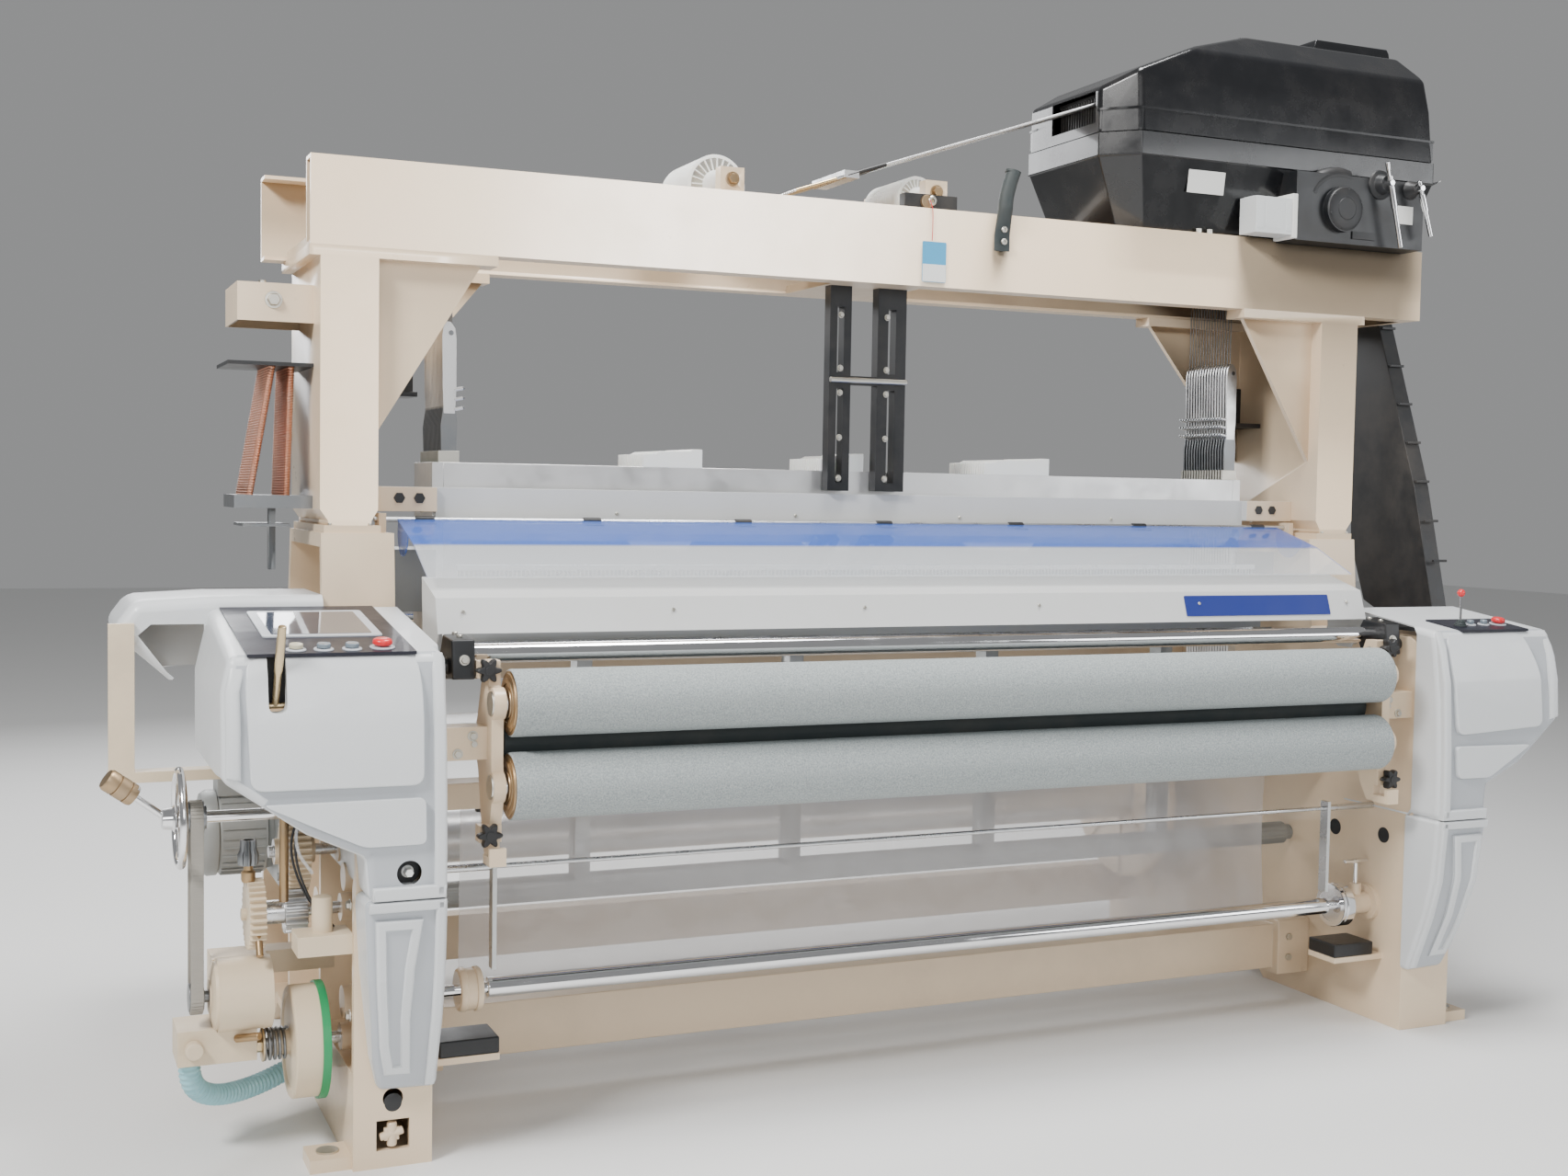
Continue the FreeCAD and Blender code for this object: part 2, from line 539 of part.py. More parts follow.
def panel(x0, x1, y0, y1):
    """Switch panel lying on the sloping top of a cover."""
    points = [(y0, panel_point(y0)), (y1, panel_point(y1)), (y1, panel_point(y1) + PANEL_THICKNESS),
              (y0, panel_point(y0) + PANEL_THICKNESS)]
    return prism_x(points, x0, x1)


def normal_rod(x, y, low, high, radius):
    """Round bar square to the sloping panels, between two heights over their underside."""
    angle = math.atan2(PANEL_REAR_Z - PANEL_FRONT_Z, PANEL_REAR_Y - PANEL_FRONT_Y)
    z = panel_point(y)
    start = (x, y - math.sin(angle) * low, z + math.cos(angle) * low)
    end = (x, y - math.sin(angle) * high, z + math.cos(angle) * high)
    return rod_between(start, end, radius)


def button(x, y, head_radius, head_height):
    """Push button with its stem in the panel."""
    stem = normal_rod(x, y, -6, PANEL_THICKNESS + BUTTON_TRAVEL + 2, BUTTON_STEM)
    head = normal_rod(x, y, PANEL_THICKNESS + BUTTON_TRAVEL + 1,
                      PANEL_THICKNESS + BUTTON_TRAVEL + 1 + head_height, head_radius)
    return fuse(stem, head)


def control_panels():
    """Left panel with its screen field and right panel, both drilled for their switches."""
    left = panel(LEFT_PANEL_X0, LEFT_PANEL_X1, PANEL_FRONT_Y, PANEL_REAR_Y)
    right = panel(RIGHT_PANEL_X0, RIGHT_PANEL_X1, PANEL_FRONT_Y, RIGHT_PANEL_REAR)
    for x, y in [LEFT_STOP] + LEFT_BUTTONS:
        left = left.cut(normal_rod(x, y, -8, PANEL_THICKNESS + 8, BUTTON_STEM + SHAFT_GAP))
    for x, y in [RIGHT_STOP] + RIGHT_BUTTONS:
        right = right.cut(normal_rod(x, y, -8, PANEL_THICKNESS + 8, BUTTON_STEM + SHAFT_GAP))
    right = right.cut(box(JOY_X - 9, JOY_X + 9, JOY_Y - 9, JOY_Y + 9, 1000, 1100))
    right = right.cut(rod_x(JOY_X - 16, JOY_X + 16, JOY_Y, joy_z(), JOY_PIN + SHAFT_GAP))
    return [left, right]


def drill_covers(shape, side):
    """Clearance holes under the panels for stems and the joystick."""
    places = [LEFT_STOP] + LEFT_BUTTONS if side < 0 else [RIGHT_STOP] + RIGHT_BUTTONS
    for x, y in places:
        shape = shape.cut(normal_rod(x, y, -14, 2, BUTTON_STEM + 1.5))
    if side > 0:
        shape = shape.cut(box(JOY_X - 18, JOY_X + 18, JOY_Y - 12, JOY_Y + 12, 1000, panel_point(JOY_Y) + 3))
    return biggest(shape)


def joy_z():
    """Height of the joystick's pivot pin."""
    return panel_point(JOY_Y) + PANEL_THICKNESS / 2


def joystick():
    """Stick with a red ball on a pivot pin inside the right panel."""
    pin = rod_x(JOY_X - 14, JOY_X + 14, JOY_Y, joy_z(), JOY_PIN)
    stem = rod_z(joy_z(), 1110, JOY_X, JOY_Y, 3.5)
    ball = Part.makeSphere(10, FreeCAD.Vector(JOY_X, JOY_Y, 1117))
    return fuse(pin, stem, ball)


def start_lever():
    """Brass hand lever that comes out of the left cover's slot."""
    pin = rod_x(-START_X - 26, -START_X + 26, START_Y, START_Z, START_PIN)
    return fuse(pin, rod_between((-START_X, START_Y, START_Z), (-START_X + 6, START_Y - 52, 1083), 9.5))


# ---------------------------------------------------------------- breast, hood and splash cover
def breast_bar():
    """Tube that the cloth passes over, with its polished strip."""
    tube = rod_x(-BREAST_HALF, BREAST_HALF, BREAST_Y, BREAST_Z, BREAST_RADIUS)
    strip = box(-BREAST_HALF, BREAST_HALF, BREAST_Y - 6, BREAST_Y + 50, BREAST_Z + BREAST_RADIUS - 5,
                BREAST_Z + BREAST_RADIUS)
    return fuse(tube, strip)


def end_blocks():
    """Black end blocks of the breast bar and the rest pads under the cloth beam."""
    solids = []
    for side in (-1, 1):
        outline = [(-648, 962), (-640, 1040), (-560, 1046), (-535, 1005), (-560, 955)]
        block = prism_x(outline, BREAST_HALF, 1205)
        block = fuse(block, rod_x(1205, FRAME_INNER, -600, 985, 16))
        solids.append(on_side(block, side))
        pad = box(SHELF_INNER, FRAME_INNER - 30, CLOTH_Y - 60, CLOTH_Y + 40, PAD_LOW, PAD_LOW + 34)
        solids.append(on_side(pad, side))
    return solids


def front_hood():
    """Folded sheet hood over the breast with end plates and bosses to the frames."""
    sheet = 3
    low, fold, top = (-519, 1042), (-494, 1115), (-366, 1152)
    skin = prism_x([low, fold, top, (top[0] + 1, top[1] - sheet), (fold[0] + sheet, fold[1] - sheet),
                    (low[0] + sheet, low[1])], -HOOD_HALF, HOOD_HALF)
    solids = [skin]
    for side in (-1, 1):
        plate = prism_x([low, fold, top, (-380, 990), (-420, 965), (-470, 965), (-500, 1000)],
                        HOOD_HALF - 4, HOOD_HALF)
        boss = rod_x(HOOD_HALF, FRAME_INNER, -440, 984, 14)
        solids.append(on_side(fuse(plate, boss), side))
    return fuse(*solids)


def splash_cover():
    """Clear cover hinged on a rod along its rear edge."""
    rod = rod_x(-FRAME_INNER - FRAME_WEB - 6, FRAME_INNER + FRAME_WEB + 6, HINGE_Y, HINGE_Z, HINGE_ROD)
    line = [(HINGE_Y, HINGE_Z + 3), (-317, 1219), (-451, 1156)]
    lower = [(y + 1, z - 3) for y, z in reversed(line)]
    sheet = prism_x(line + lower, -SPLASH_HALF, SPLASH_HALF)
    ends = []
    for side in (-1, 1):
        disc = rod_x(SPLASH_HALF - 3, SPLASH_HALF, HINGE_Y - 62, HINGE_Z - 28, 52)
        below = prism_x([(HINGE_Y + 30, HINGE_Z - 100), (HINGE_Y + 30, HINGE_Z + 2)] + line +
                        [(-451, HINGE_Z - 200)], 0, FRAME_INNER)
        ends.append(on_side(disc.common(below), side))
    return fuse(rod, sheet, *ends)


def heald_shield():
    """Flat shield in front of the heald frames, held on the posts at both ends."""
    plate = box(-SHIELD_HALF, SHIELD_HALF, SHIELD_Y - 4, SHIELD_Y, 1273, 1341)
    ends = [on_side(box(SHIELD_HALF, POST_INNER, SHIELD_Y - 24, SHIELD_Y, HINGE_Z + 18, 1341), side)
            for side in (-1, 1)]
    return fuse(plate, *ends)


def drip_film():
    """Clear film that hangs from its rail behind the cloth."""
    return box(-CLOTH_HALF, CLOTH_HALF, FILM_Y - 1, FILM_Y + 1, 253, FILM_TOP)


# ---------------------------------------------------------------- rollers
def roller(y, z, radius, collar):
    """Take-up roller with its journals and end collars."""
    shape = rod_x(-ROLLER_HALF, ROLLER_HALF, y, z, radius)
    shape = shape.fuse(rod_x(-ROLLER_HALF - 6, ROLLER_HALF + 6, y, z, collar))
    journal = BRACKET_INNER + BRACKET_THICKNESS
    return shape.fuse(rod_x(-journal, journal, y, z, ROLLER_JOURNAL))


def roller_bracket(side):
    """Cast bracket between the rollers and the frame, with lugs for the knobs."""
    x0 = BRACKET_INNER
    x1 = BRACKET_INNER + BRACKET_THICKNESS
    plate = prism_x([(-660, 1000), (-625, 1000), (-575, 880), (-556, 850), (-556, 818), (-585, 770),
                     (-620, 640), (-645, 600), (-668, 600), (-668, 640), (-700, 735), (-690, 800),
                     (-690, 870), (-700, 935), (-668, 950)], x0, x1)
    for y, z in ((ROLLER_Y, UPPER_ROLLER_Z), (ROLLER_Y, LOWER_ROLLER_Z), (MIDDLE_ROLLER_Y, MIDDLE_ROLLER_Z)):
        plate = plate.fuse(rod_x(x0, x1, y, z, ROLLER_JOURNAL + 15))
    arm = box(x1, FRAME_INNER, -655, -600, MIDDLE_ROLLER_Z - 32, MIDDLE_ROLLER_Z + 34)
    plate = plate.fuse(arm)
    for y, z in (UPPER_KNOB, LOWER_KNOB):
        plate = plate.fuse(box(x0, KNOB_X + 16, y + 8, y + 44, z - 17, z + 17))
    hook = box(x0, x1 + 10, -720, -668, 598, 616)
    plate = plate.fuse(hook).fuse(box(x0, x1 + 10, -720, -708, 598, 634))
    for y, z in ((ROLLER_Y, UPPER_ROLLER_Z), (ROLLER_Y, LOWER_ROLLER_Z), (MIDDLE_ROLLER_Y, MIDDLE_ROLLER_Z)):
        plate = plate.cut(rod_x(x0 - 1, x1 + 1, y, z, ROLLER_JOURNAL + SHAFT_GAP))
    for y, z in (UPPER_KNOB, LOWER_KNOB):
        plate = plate.cut(rod_y(y + 7, y + 40, KNOB_X, z, KNOB_STUD + SHAFT_GAP))
    return on_side(plate.removeSplitter(), side)


def star_knob(side, place):
    """Six-lobed hand knob on a stud."""
    y, z = place
    x = side * KNOB_X
    body = rod_y(y - 18, y + 4, x, z, 19)
    for index in range(6):
        angle = math.radians(60 * index)
        body = body.fuse(rod_y(y - 16, y + 2, x + 18 * math.cos(angle), z + 18 * math.sin(angle), 8.5))
    return fuse(body, rod_y(y + 4, y + 38, x, z, KNOB_STUD))


# ---------------------------------------------------------------- healds
def heald_frames(first):
    """Every second heald frame with its end hooks and the cords above them."""
    solids = []
    for index in range(first, HEALD_COUNT, 2):
        y0 = HEALD_FRONT + index * HEALD_PITCH
        y1 = y0 + HEALD_THICKNESS
        frame = box(-HEALD_HALF, HEALD_HALF, y0, y1, HEALD_BOTTOM, HEALD_TOP)
        frame = frame.cut(box(-HEALD_HALF + 26, HEALD_HALF - 26, y0, y1, HEALD_BOTTOM + HEALD_RAIL,
                              HEALD_TOP - HEALD_RAIL))
        for x0, x1 in WHITE_GUIDES:
            frame = frame.fuse(box(x0, x1, y0, y1, HEALD_TOP, HEALD_TOP + 44))
        for side in (-1, 1):
            hook = box(HOOK_X - 22, HOOK_X + 22, y0 + 1.5, y1 - 1.5, HEALD_TOP, HOOK_TOP)
            cord = rod_z(HOOK_TOP, BEAM_LOW + 40, HOOK_X - 6, (y0 + y1) / 2, 1.5)
            frame = frame.fuse(on_side(fuse(hook, cord), side))
        solids.append(frame.removeSplitter())
    return solids


def centre_guides():
    """Two black guide bars that hang from the cross plate in front of the healds."""
    left = box(GUIDE_LEFT, GUIDE_LEFT + 58, GUIDE_Y0, GUIDE_Y1, 1349, BEAM_LOW)
    right = box(GUIDE_RIGHT - 79, GUIDE_RIGHT, GUIDE_Y0, GUIDE_Y1, 1349, BEAM_LOW)
    for low, high in ((1370, 1600), (1640, 1800)):
        left = left.cut(box(GUIDE_LEFT + 20, GUIDE_LEFT + 38, GUIDE_Y0, GUIDE_Y1, low, high))
        right = right.cut(box(GUIDE_RIGHT - 50, GUIDE_RIGHT - 29, GUIDE_Y0, GUIDE_Y1, low, high))
    tie = box(GUIDE_LEFT, GUIDE_RIGHT, GUIDE_Y0, GUIDE_Y1 - 8, 1610, 1632)
    return [fuse(left, right, tie), heald_comb(-1), heald_comb(1)]


def heald_comb(side):
    """Slotted block on a side frame that the ends of the heald frames run in."""
    block = box(HEALD_HALF - 8, FRAME_INNER, HEALD_FRONT - 8, HEALD_REAR + 8, 1060, 1200)
    for index in range(HEALD_COUNT):
        y0 = HEALD_FRONT + index * HEALD_PITCH
        block = block.cut(box(HEALD_HALF - 9, HEALD_HALF + NIP_GAP, y0 - NIP_GAP,
                              y0 + HEALD_THICKNESS + NIP_GAP, 1059, 1201))
    return on_side(block, side)


def sheaves(x, z, radius):
    """Pack of white cord sheaves on one axle."""
    shape = rod_y(BEAM_FRONT + 22, POST_REAR - 26, x, z, AXLE_RADIUS)
    for index in range(HEALD_COUNT):
        y = HEALD_FRONT + index * HEALD_PITCH
        shape = shape.fuse(rod_y(y - 5, y + 5, x, z, radius))
        shape = shape.fuse(rod_y(y + 5, y + 7, x, z, radius - 12))
    return shape.fuse(rod_y(BEAM_FRONT + 61, HEALD_FRONT, x, z, radius * 0.5)).removeSplitter()


def drawbars():
    """Bars that run from the dobby down to the cord joints, on one cross head inside the dobby."""
    solids = [bar(index, BAR_RADIUS) for index in range(HEALD_COUNT)]
    last = BAR_FRONT + (HEALD_COUNT - 1) * HEALD_PITCH
    for x, width in ((BAR_HIGH[0] - 6, 12), (-130, 40)):
        z = bar_height(x + width / 2)
        solids.append(box(x, x + width, BAR_FRONT - 5, last + 5, z - 9, z + 9))
    return fuse(*solids)


def bar_height(x):
    """Height of the drawbars' centre line at a given x."""
    return BAR_LOW[1] + (BAR_HIGH[1] - BAR_LOW[1]) / (BAR_HIGH[0] - BAR_LOW[0]) * (x - BAR_LOW[0])


def bar(index, radius):
    """One drawbar's centre line as a round bar of the given radius."""
    y = BAR_FRONT + index * HEALD_PITCH
    return rod_between((BAR_LOW[0], y, BAR_LOW[1]), (BAR_HIGH[0], y, BAR_HIGH[1]), radius)


def bar_guide():
    """Drilled guide inside the dobby that the drawbars slide in."""
    last = BAR_FRONT + (HEALD_COUNT - 1) * HEALD_PITCH
    x0 = DOBBY_LEFT + 19
    plate = box(x0, x0 + 8, BAR_FRONT - 15, last + 15, DOBBY_RIM_TOP - 12, bar_height(x0) + 22)
    foot = box(DOBBY_LEFT + DOBBY_WALL, x0 + 8, BAR_FRONT - 15, last + 15, DOBBY_RIM_TOP - 12, DOBBY_RIM_TOP - 4)
    guide = plate.fuse(foot)
    for index in range(HEALD_COUNT):
        guide = guide.cut(bar(index, BAR_RADIUS + NIP_GAP))
    return guide


# ---------------------------------------------------------------- dobby
def dobby_outline(inset, z):
    """Plan points of the dobby housing at one height, moved in by `inset`."""
    left = DOBBY_LEFT + inset
    right = DOBBY_RIGHT - inset
    front = DOBBY_FRONT + inset
    rear = DOBBY_REAR - inset
    chamfer = 76 - inset * 0.4
    return [FreeCAD.Vector(x, y, z) for x, y in
            [(left, rear), (left, front + chamfer), (left + chamfer, front), (right, front), (right, rear)]]


def loft(sections):
    """Solid through closed plan outlines."""
    wires = [Part.makePolygon(points + [points[0]]) for points in sections]
    return Part.makeLoft(wires, True, True)


def tray_points(inset, z):
    """Plan points of the tapering tray; its foot is narrower in front and at both ends."""
    share = (DOBBY_RIM_LOW - z) / (DOBBY_RIM_LOW - BEAM_TOP)
    left = DOBBY_LEFT + inset + 75 * share
    right = DOBBY_RIGHT - inset - 60 * share
    front = DOBBY_FRONT + inset + 50 * share
    rear = DOBBY_REAR - inset - 20 * share
    chamfer = 76 - 30 * share
    return [FreeCAD.Vector(x, y, z) for x, y in
            [(left, rear), (left, front + chamfer), (left + chamfer, front), (right, front), (right, rear)]]


def tray_solid(inset, low):
    """The tray's full volume between a low level and the rim."""
    return loft([tray_points(inset, low), tray_points(inset, DOBBY_RIM_LOW)])


def dobby_case():
    """Open tray on the top beams with a standing rim."""
    outer = tray_solid(0, BEAM_TOP)
    rim = loft([dobby_outline(0, DOBBY_RIM_LOW), dobby_outline(0, DOBBY_RIM_TOP)])
    inner = tray_solid(DOBBY_WALL, BEAM_TOP + DOBBY_WALL)
    rim_inner = loft([dobby_outline(DOBBY_WALL, DOBBY_RIM_LOW), dobby_outline(DOBBY_WALL, DOBBY_RIM_TOP)])
    return outer.fuse(rim).cut(inner).cut(rim_inner).fuse(bar_guide()).removeSplitter()


def dobby_cover():
    """Lid with a sloping front and the slot for the drawbars in its left end."""
    wall = DOBBY_WALL
    profile = [(DOBBY_FRONT, DOBBY_RIM_TOP), (DOBBY_FRONT + 4, 2420), (DOBBY_FRONT + 20, 2505),
               (DOBBY_FRONT + 95, DOBBY_TOP), (DOBBY_REAR - 60, DOBBY_TOP), (DOBBY_REAR, 2500),
               (DOBBY_REAR, DOBBY_RIM_TOP)]
    inner_profile = [(DOBBY_FRONT + wall, DOBBY_RIM_TOP - 1), (DOBBY_FRONT + wall + 4, 2418),
                     (DOBBY_FRONT + wall + 18, 2501), (DOBBY_FRONT + 98, DOBBY_TOP - wall),
                     (DOBBY_REAR - 62, DOBBY_TOP - wall), (DOBBY_REAR - wall, 2496),
                     (DOBBY_REAR - wall, DOBBY_RIM_TOP - 1)]
    front = [(DOBBY_LEFT, DOBBY_RIM_TOP), (DOBBY_LEFT, 2395), (DOBBY_LEFT + 75, 2440), (850, 2520),
             (1050, DOBBY_TOP + 3), (DOBBY_RIGHT - 50, DOBBY_TOP + 3), (DOBBY_RIGHT - 20, 2520),
             (DOBBY_RIGHT, DOBBY_RIM_TOP)]
    inner_front = [(DOBBY_LEFT + wall, DOBBY_RIM_TOP - 1), (DOBBY_LEFT + wall, 2391),
                   (DOBBY_LEFT + 77, 2433), (853, 2513), (1052, DOBBY_TOP - 3),
                   (DOBBY_RIGHT - 54, DOBBY_TOP - 3), (DOBBY_RIGHT - 26, 2518),
                   (DOBBY_RIGHT - wall, DOBBY_RIM_TOP - 1)]
    plan = loft([dobby_outline(0, DOBBY_RIM_TOP), dobby_outline(0, DOBBY_TOP + 40)])
    inner_plan = loft([dobby_outline(wall, DOBBY_RIM_TOP - 1), dobby_outline(wall, DOBBY_TOP + 40)])
    outer = prism_x(profile, DOBBY_LEFT, DOBBY_RIGHT).common(prism_y(front, DOBBY_FRONT, DOBBY_REAR)).common(plan)
    inner = prism_x(inner_profile, DOBBY_LEFT, DOBBY_RIGHT).common(
        prism_y(inner_front, DOBBY_FRONT, DOBBY_REAR)).common(inner_plan)
    slot = box(DOBBY_LEFT - 1, DOBBY_LEFT + 60, BAR_FRONT - 14, BAR_FRONT + 15 * HEALD_PITCH + 14, 2310, 2392)
    shape = outer.cut(inner).cut(slot)
    vent = box(1326, 1600, -100, 60, DOBBY_TOP, DOBBY_TOP + 48)
    vent = vent.cut(box(1332, 1594, -94, 54, DOBBY_TOP, DOBBY_TOP + 42))
    return shape.fuse(vent).removeSplitter()


def dobby_gearbox():
    """Black gearbox on the front of the tray and the servo motor on its left side."""
    case = box(1113, 1545, -307, BEAM_FRONT, 2031, 2212).cut(tray_solid(0, BEAM_TOP))
    behind = box(1113, 1545, BEAM_FRONT, -170, BEAM_TOP, 2212).cut(tray_solid(0, BEAM_TOP))
    dome = rod_y(-325, -307, 1262, 2120, 60)
    servo = box(983, 1113, -308, -240, 2042, 2136)
    shape = fuse(case, biggest(behind), dome, servo)
    for x, z in (LONG_LEVER[0], SHORT_LEVER[0]):
        shape = shape.cut(rod_y(-326, -285, x, z, DOBBY_PIN + SHAFT_GAP))
    return shape


def dobby_lever(lever):
    """Chrome hand lever on a pin in the gearbox."""
    (pin_x, pin_z), (top_x, top_z), (low_x, low_z) = lever
    blade = rod_between((top_x, -345, top_z), (low_x, -345, low_z), 6.5)
    return fuse(blade, rod_y(-345, -288, pin_x, pin_z, DOBBY_PIN))


def belt_guard():
    """Sloping black duct from the dobby drive down to the right side."""
    upper = prism_x([(-62, 1863), (-62, 2180), (33, 2180), (33, 1871), (29, 1386), (21, 1224), (-40, 1060),
                     (-159, 1005), (-318, 1005), (-318, 1043), (-231, 1387)], BEAM_RIGHT, BEAM_RIGHT + 52)
    lower = box(FRAME_OUTER, BEAM_RIGHT, -330, -60, 700, 1005)
    leg = box(FRAME_OUTER, BEAM_RIGHT + 52, -318, -70, 980, 1010)
    return fuse(upper, lower, leg)


# ---------------------------------------------------------------- cloth beam and presser
def cloth_beam():
    """Bright cloth tube with the left disc, the right cup and the stub shafts between and outside them."""
    tube = rod_x(-CLOTH_HALF, CLOTH_HALF, CLOTH_Y, CLOTH_Z, CLOTH_RADIUS)
    disc = rod_x(-DISC_OUTER, -DISC_INNER, CLOTH_Y, CLOTH_Z, 46)
    cup = rod_x(CUP_INNER, CUP_OUTER, CLOTH_Y, CLOTH_Z, 55).cut(rod_x(CUP_INNER, CUP_FLOOR, CLOTH_Y, CLOTH_Z, 40))
    stubs = [rod_x(x0, x1, CLOTH_Y, CLOTH_Z, CLOTH_JOURNAL) for x0, x1 in
             ((-FRAME_INNER - 40, -DISC_OUTER), (-DISC_INNER, -CLOTH_HALF), (CLOTH_HALF, CUP_FLOOR),
              (CUP_OUTER, 1215))]
    return [tube, disc, cup] + stubs


def cloth_bracket():
    """Bearing sleeve of the cloth beam on the right frame."""
    sleeve = rod_x(1172, FRAME_INNER, CLOTH_Y, CLOTH_Z, 28)
    flange = rod_x(FRAME_INNER - 12, FRAME_INNER, CLOTH_Y, CLOTH_Z, 46)
    neck = rod_z(CLOTH_Z + 15, CLOTH_Z + 52, HANDLE_X, CLOTH_Y, 15)
    shape = fuse(sleeve, flange, neck)
    shape = shape.cut(rod_x(1171, 1217, CLOTH_Y, CLOTH_Z, CLOTH_JOURNAL + SHAFT_GAP))
    return shape.cut(rod_z(CLOTH_Z + 20, CLOTH_Z + 53, HANDLE_X, CLOTH_Y, HANDLE_STEM + SHAFT_GAP))


def t_handle():
    """T-handle screwed into the cloth beam's bearing."""
    stem = rod_z(CLOTH_Z + 22, 412, HANDLE_X, CLOTH_Y, HANDLE_STEM)
    return fuse(stem, rod_x(HANDLE_X - 38, HANDLE_X + 38, CLOTH_Y, 414, 5.5))


def presser_rod():
    """Thin rod with a hanging link at each end and stub shafts in the frames."""
    shape = rod_x(-1092, 1092, PRESSER_Y, PRESSER_Z, 5)
    for side in (-1, 1):
        link = box(1083, 1092, PRESSER_Y - 14, PRESSER_Y + 14, 345, PRESSER_Z + 18)
        stub = rod_x(1092, FRAME_INNER + 50, PRESSER_Y, PRESSER_Z, PRESSER_JOURNAL)
        shape = shape.fuse(on_side(fuse(link, stub), side))
    return shape.removeSplitter()


# ---------------------------------------------------------------- inside and rear
def sley():
    """Rocking shaft with swords, the sley beam and the reed."""
    shape = rod_x(-1215, 1215, SLEY_PIVOT_Y, SLEY_PIVOT_Z, 30)
    for side in (-1, 1):
        shape = shape.fuse(on_side(rod_x(1215, FRAME_INNER + 50, SLEY_PIVOT_Y, SLEY_PIVOT_Z, SLEY_JOURNAL), side))
    for x in (-800, -270, 270, 800):
        shape = shape.fuse(box(x - 18, x + 18, SLEY_PIVOT_Y - 25, SLEY_PIVOT_Y + 25, SLEY_PIVOT_Z, 990))
    shape = shape.fuse(box(-1100, 1100, SLEY_PIVOT_Y - 30, SLEY_PIVOT_Y + 35, 985, 1045))
    reed = box(-1090, 1090, SLEY_PIVOT_Y - 3, SLEY_PIVOT_Y + 3, 1045, 1170)
    return shape.fuse(reed).removeSplitter()


def warp_beam():
    """Warp beam with two flanges and its journals."""
    shape = rod_x(-1200, 1200, WARP_Y, WARP_Z, WARP_BARREL)
    for side in (-1, 1):
        flange = rod_x(1120, 1134, WARP_Y, WARP_Z, WARP_FLANGE)
        journal = rod_x(1200, FRAME_INNER + 50, WARP_Y, WARP_Z, WARP_JOURNAL)
        shape = shape.fuse(on_side(flange, side)).fuse(on_side(journal, side))
    return shape.removeSplitter()


def back_rest_levers():
    """Pair of levers that carry the back rest, with their pins in the frames."""
    solids = []
    for side in (-1, 1):
        arm = prism_x([(LEVER_PIVOT_Y - 28, LEVER_PIVOT_Z - 20), (LEVER_PIVOT_Y + 20, LEVER_PIVOT_Z - 30),
                       (REST_Y + 30, REST_Z - 20), (REST_Y + 20, REST_Z + 28), (REST_Y - 25, REST_Z + 20),
                       (LEVER_PIVOT_Y - 28, LEVER_PIVOT_Z + 20)], 1192, 1216)
        pin = rod_x(1216, FRAME_INNER + 50, LEVER_PIVOT_Y, LEVER_PIVOT_Z, LEVER_PIN)
        arm = fuse(arm, pin).cut(rod_x(1191, 1217, REST_Y, REST_Z, REST_JOURNAL + SHAFT_GAP))
        solids.append(on_side(arm, side))
    tie = rod_x(-1192, 1192, LEVER_PIVOT_Y, LEVER_PIVOT_Z, 18)
    return fuse(tie, *solids)


def back_rest_roller():
    """Back rest roller between its levers."""
    shape = rod_x(-1185, 1185, REST_Y, REST_Z, 52)
    return shape.fuse(rod_x(-1214, 1214, REST_Y, REST_Z, REST_JOURNAL))


def main_motor():
    """Drive motor on its plate outside the left frame."""
    plate = box(-FRAME_OUTER - 16, -FRAME_OUTER, 181, 640, 380, 600)
    body = rod_x(-1580, -FRAME_OUTER - 16, 400, 490, 105)
    return fuse(plate, body, box(-1540, -1460, 350, 450, 590, 640))


# ---------------------------------------------------------------- left gearing
def handwheel():
    """Hand wheel with its upper belt pulley and crank rod with a brass grip, and its shaft as a solid of its own."""
    rim = rod_x(-1712, -1696, HAND_Y, HAND_Z, 100).cut(rod_x(-1713, -1695, HAND_Y, HAND_Z, 84))
    shape = rim
    for index in range(3):
        spoke = box(-1709, -1699, HAND_Y - 9, HAND_Y + 9, HAND_Z, HAND_Z + 86)
        spoke.rotate(FreeCAD.Vector(0, HAND_Y, HAND_Z), FreeCAD.Vector(1, 0, 0), 120 * index + 30)
        shape = shape.fuse(spoke)
    hub = rod_x(-1738, HUB_END, HAND_Y, HAND_Z, 24)
    shaft = rod_x(HUB_END, -FRAME_OUTER + 70, HAND_Y, HAND_Z, HAND_SHAFT)
    pulley = rod_x(BELT_X0, BELT_X1, HAND_Y, HAND_Z, BELT_PULLEY)
    arm = rod_between((-1726, HAND_Y, HAND_Z), (-1800, HAND_Y - 12, HAND_Z + 58), 7)
    grip = rod_between((-1786, HAND_Y - 10, HAND_Z + 48), (-1840, HAND_Y - 18, HAND_Z + 88), 24)
    return [fuse(shape, hub, pulley, arm, grip), shaft]


def input_pulley():
    """Lower pulley of the toothed belt on the gearbox shaft."""
    return rod_x(BELT_X0, BELT_X1, HAND_Y, INPUT_Z, BELT_PULLEY).fuse(
        rod_x(BELT_X1, -1600, HAND_Y, INPUT_Z, INPUT_SHAFT))


def belt():
    """Closed loop of the toothed belt, just clear of both pulleys."""
    inner = BELT_PULLEY + NIP_GAP
    outer = inner + 5
    loops = []
    for radius in (outer, inner):
        loop = rod_x(BELT_X0 + 2, BELT_X1 - 2, HAND_Y, HAND_Z, radius)
        loop = loop.fuse(rod_x(BELT_X0 + 2, BELT_X1 - 2, HAND_Y, INPUT_Z, radius))
        loop = loop.fuse(box(BELT_X0 + 2, BELT_X1 - 2, HAND_Y - radius, HAND_Y + radius, INPUT_Z, HAND_Z))
        loops.append(loop)
    return loops[0].cut(loops[1]).removeSplitter()


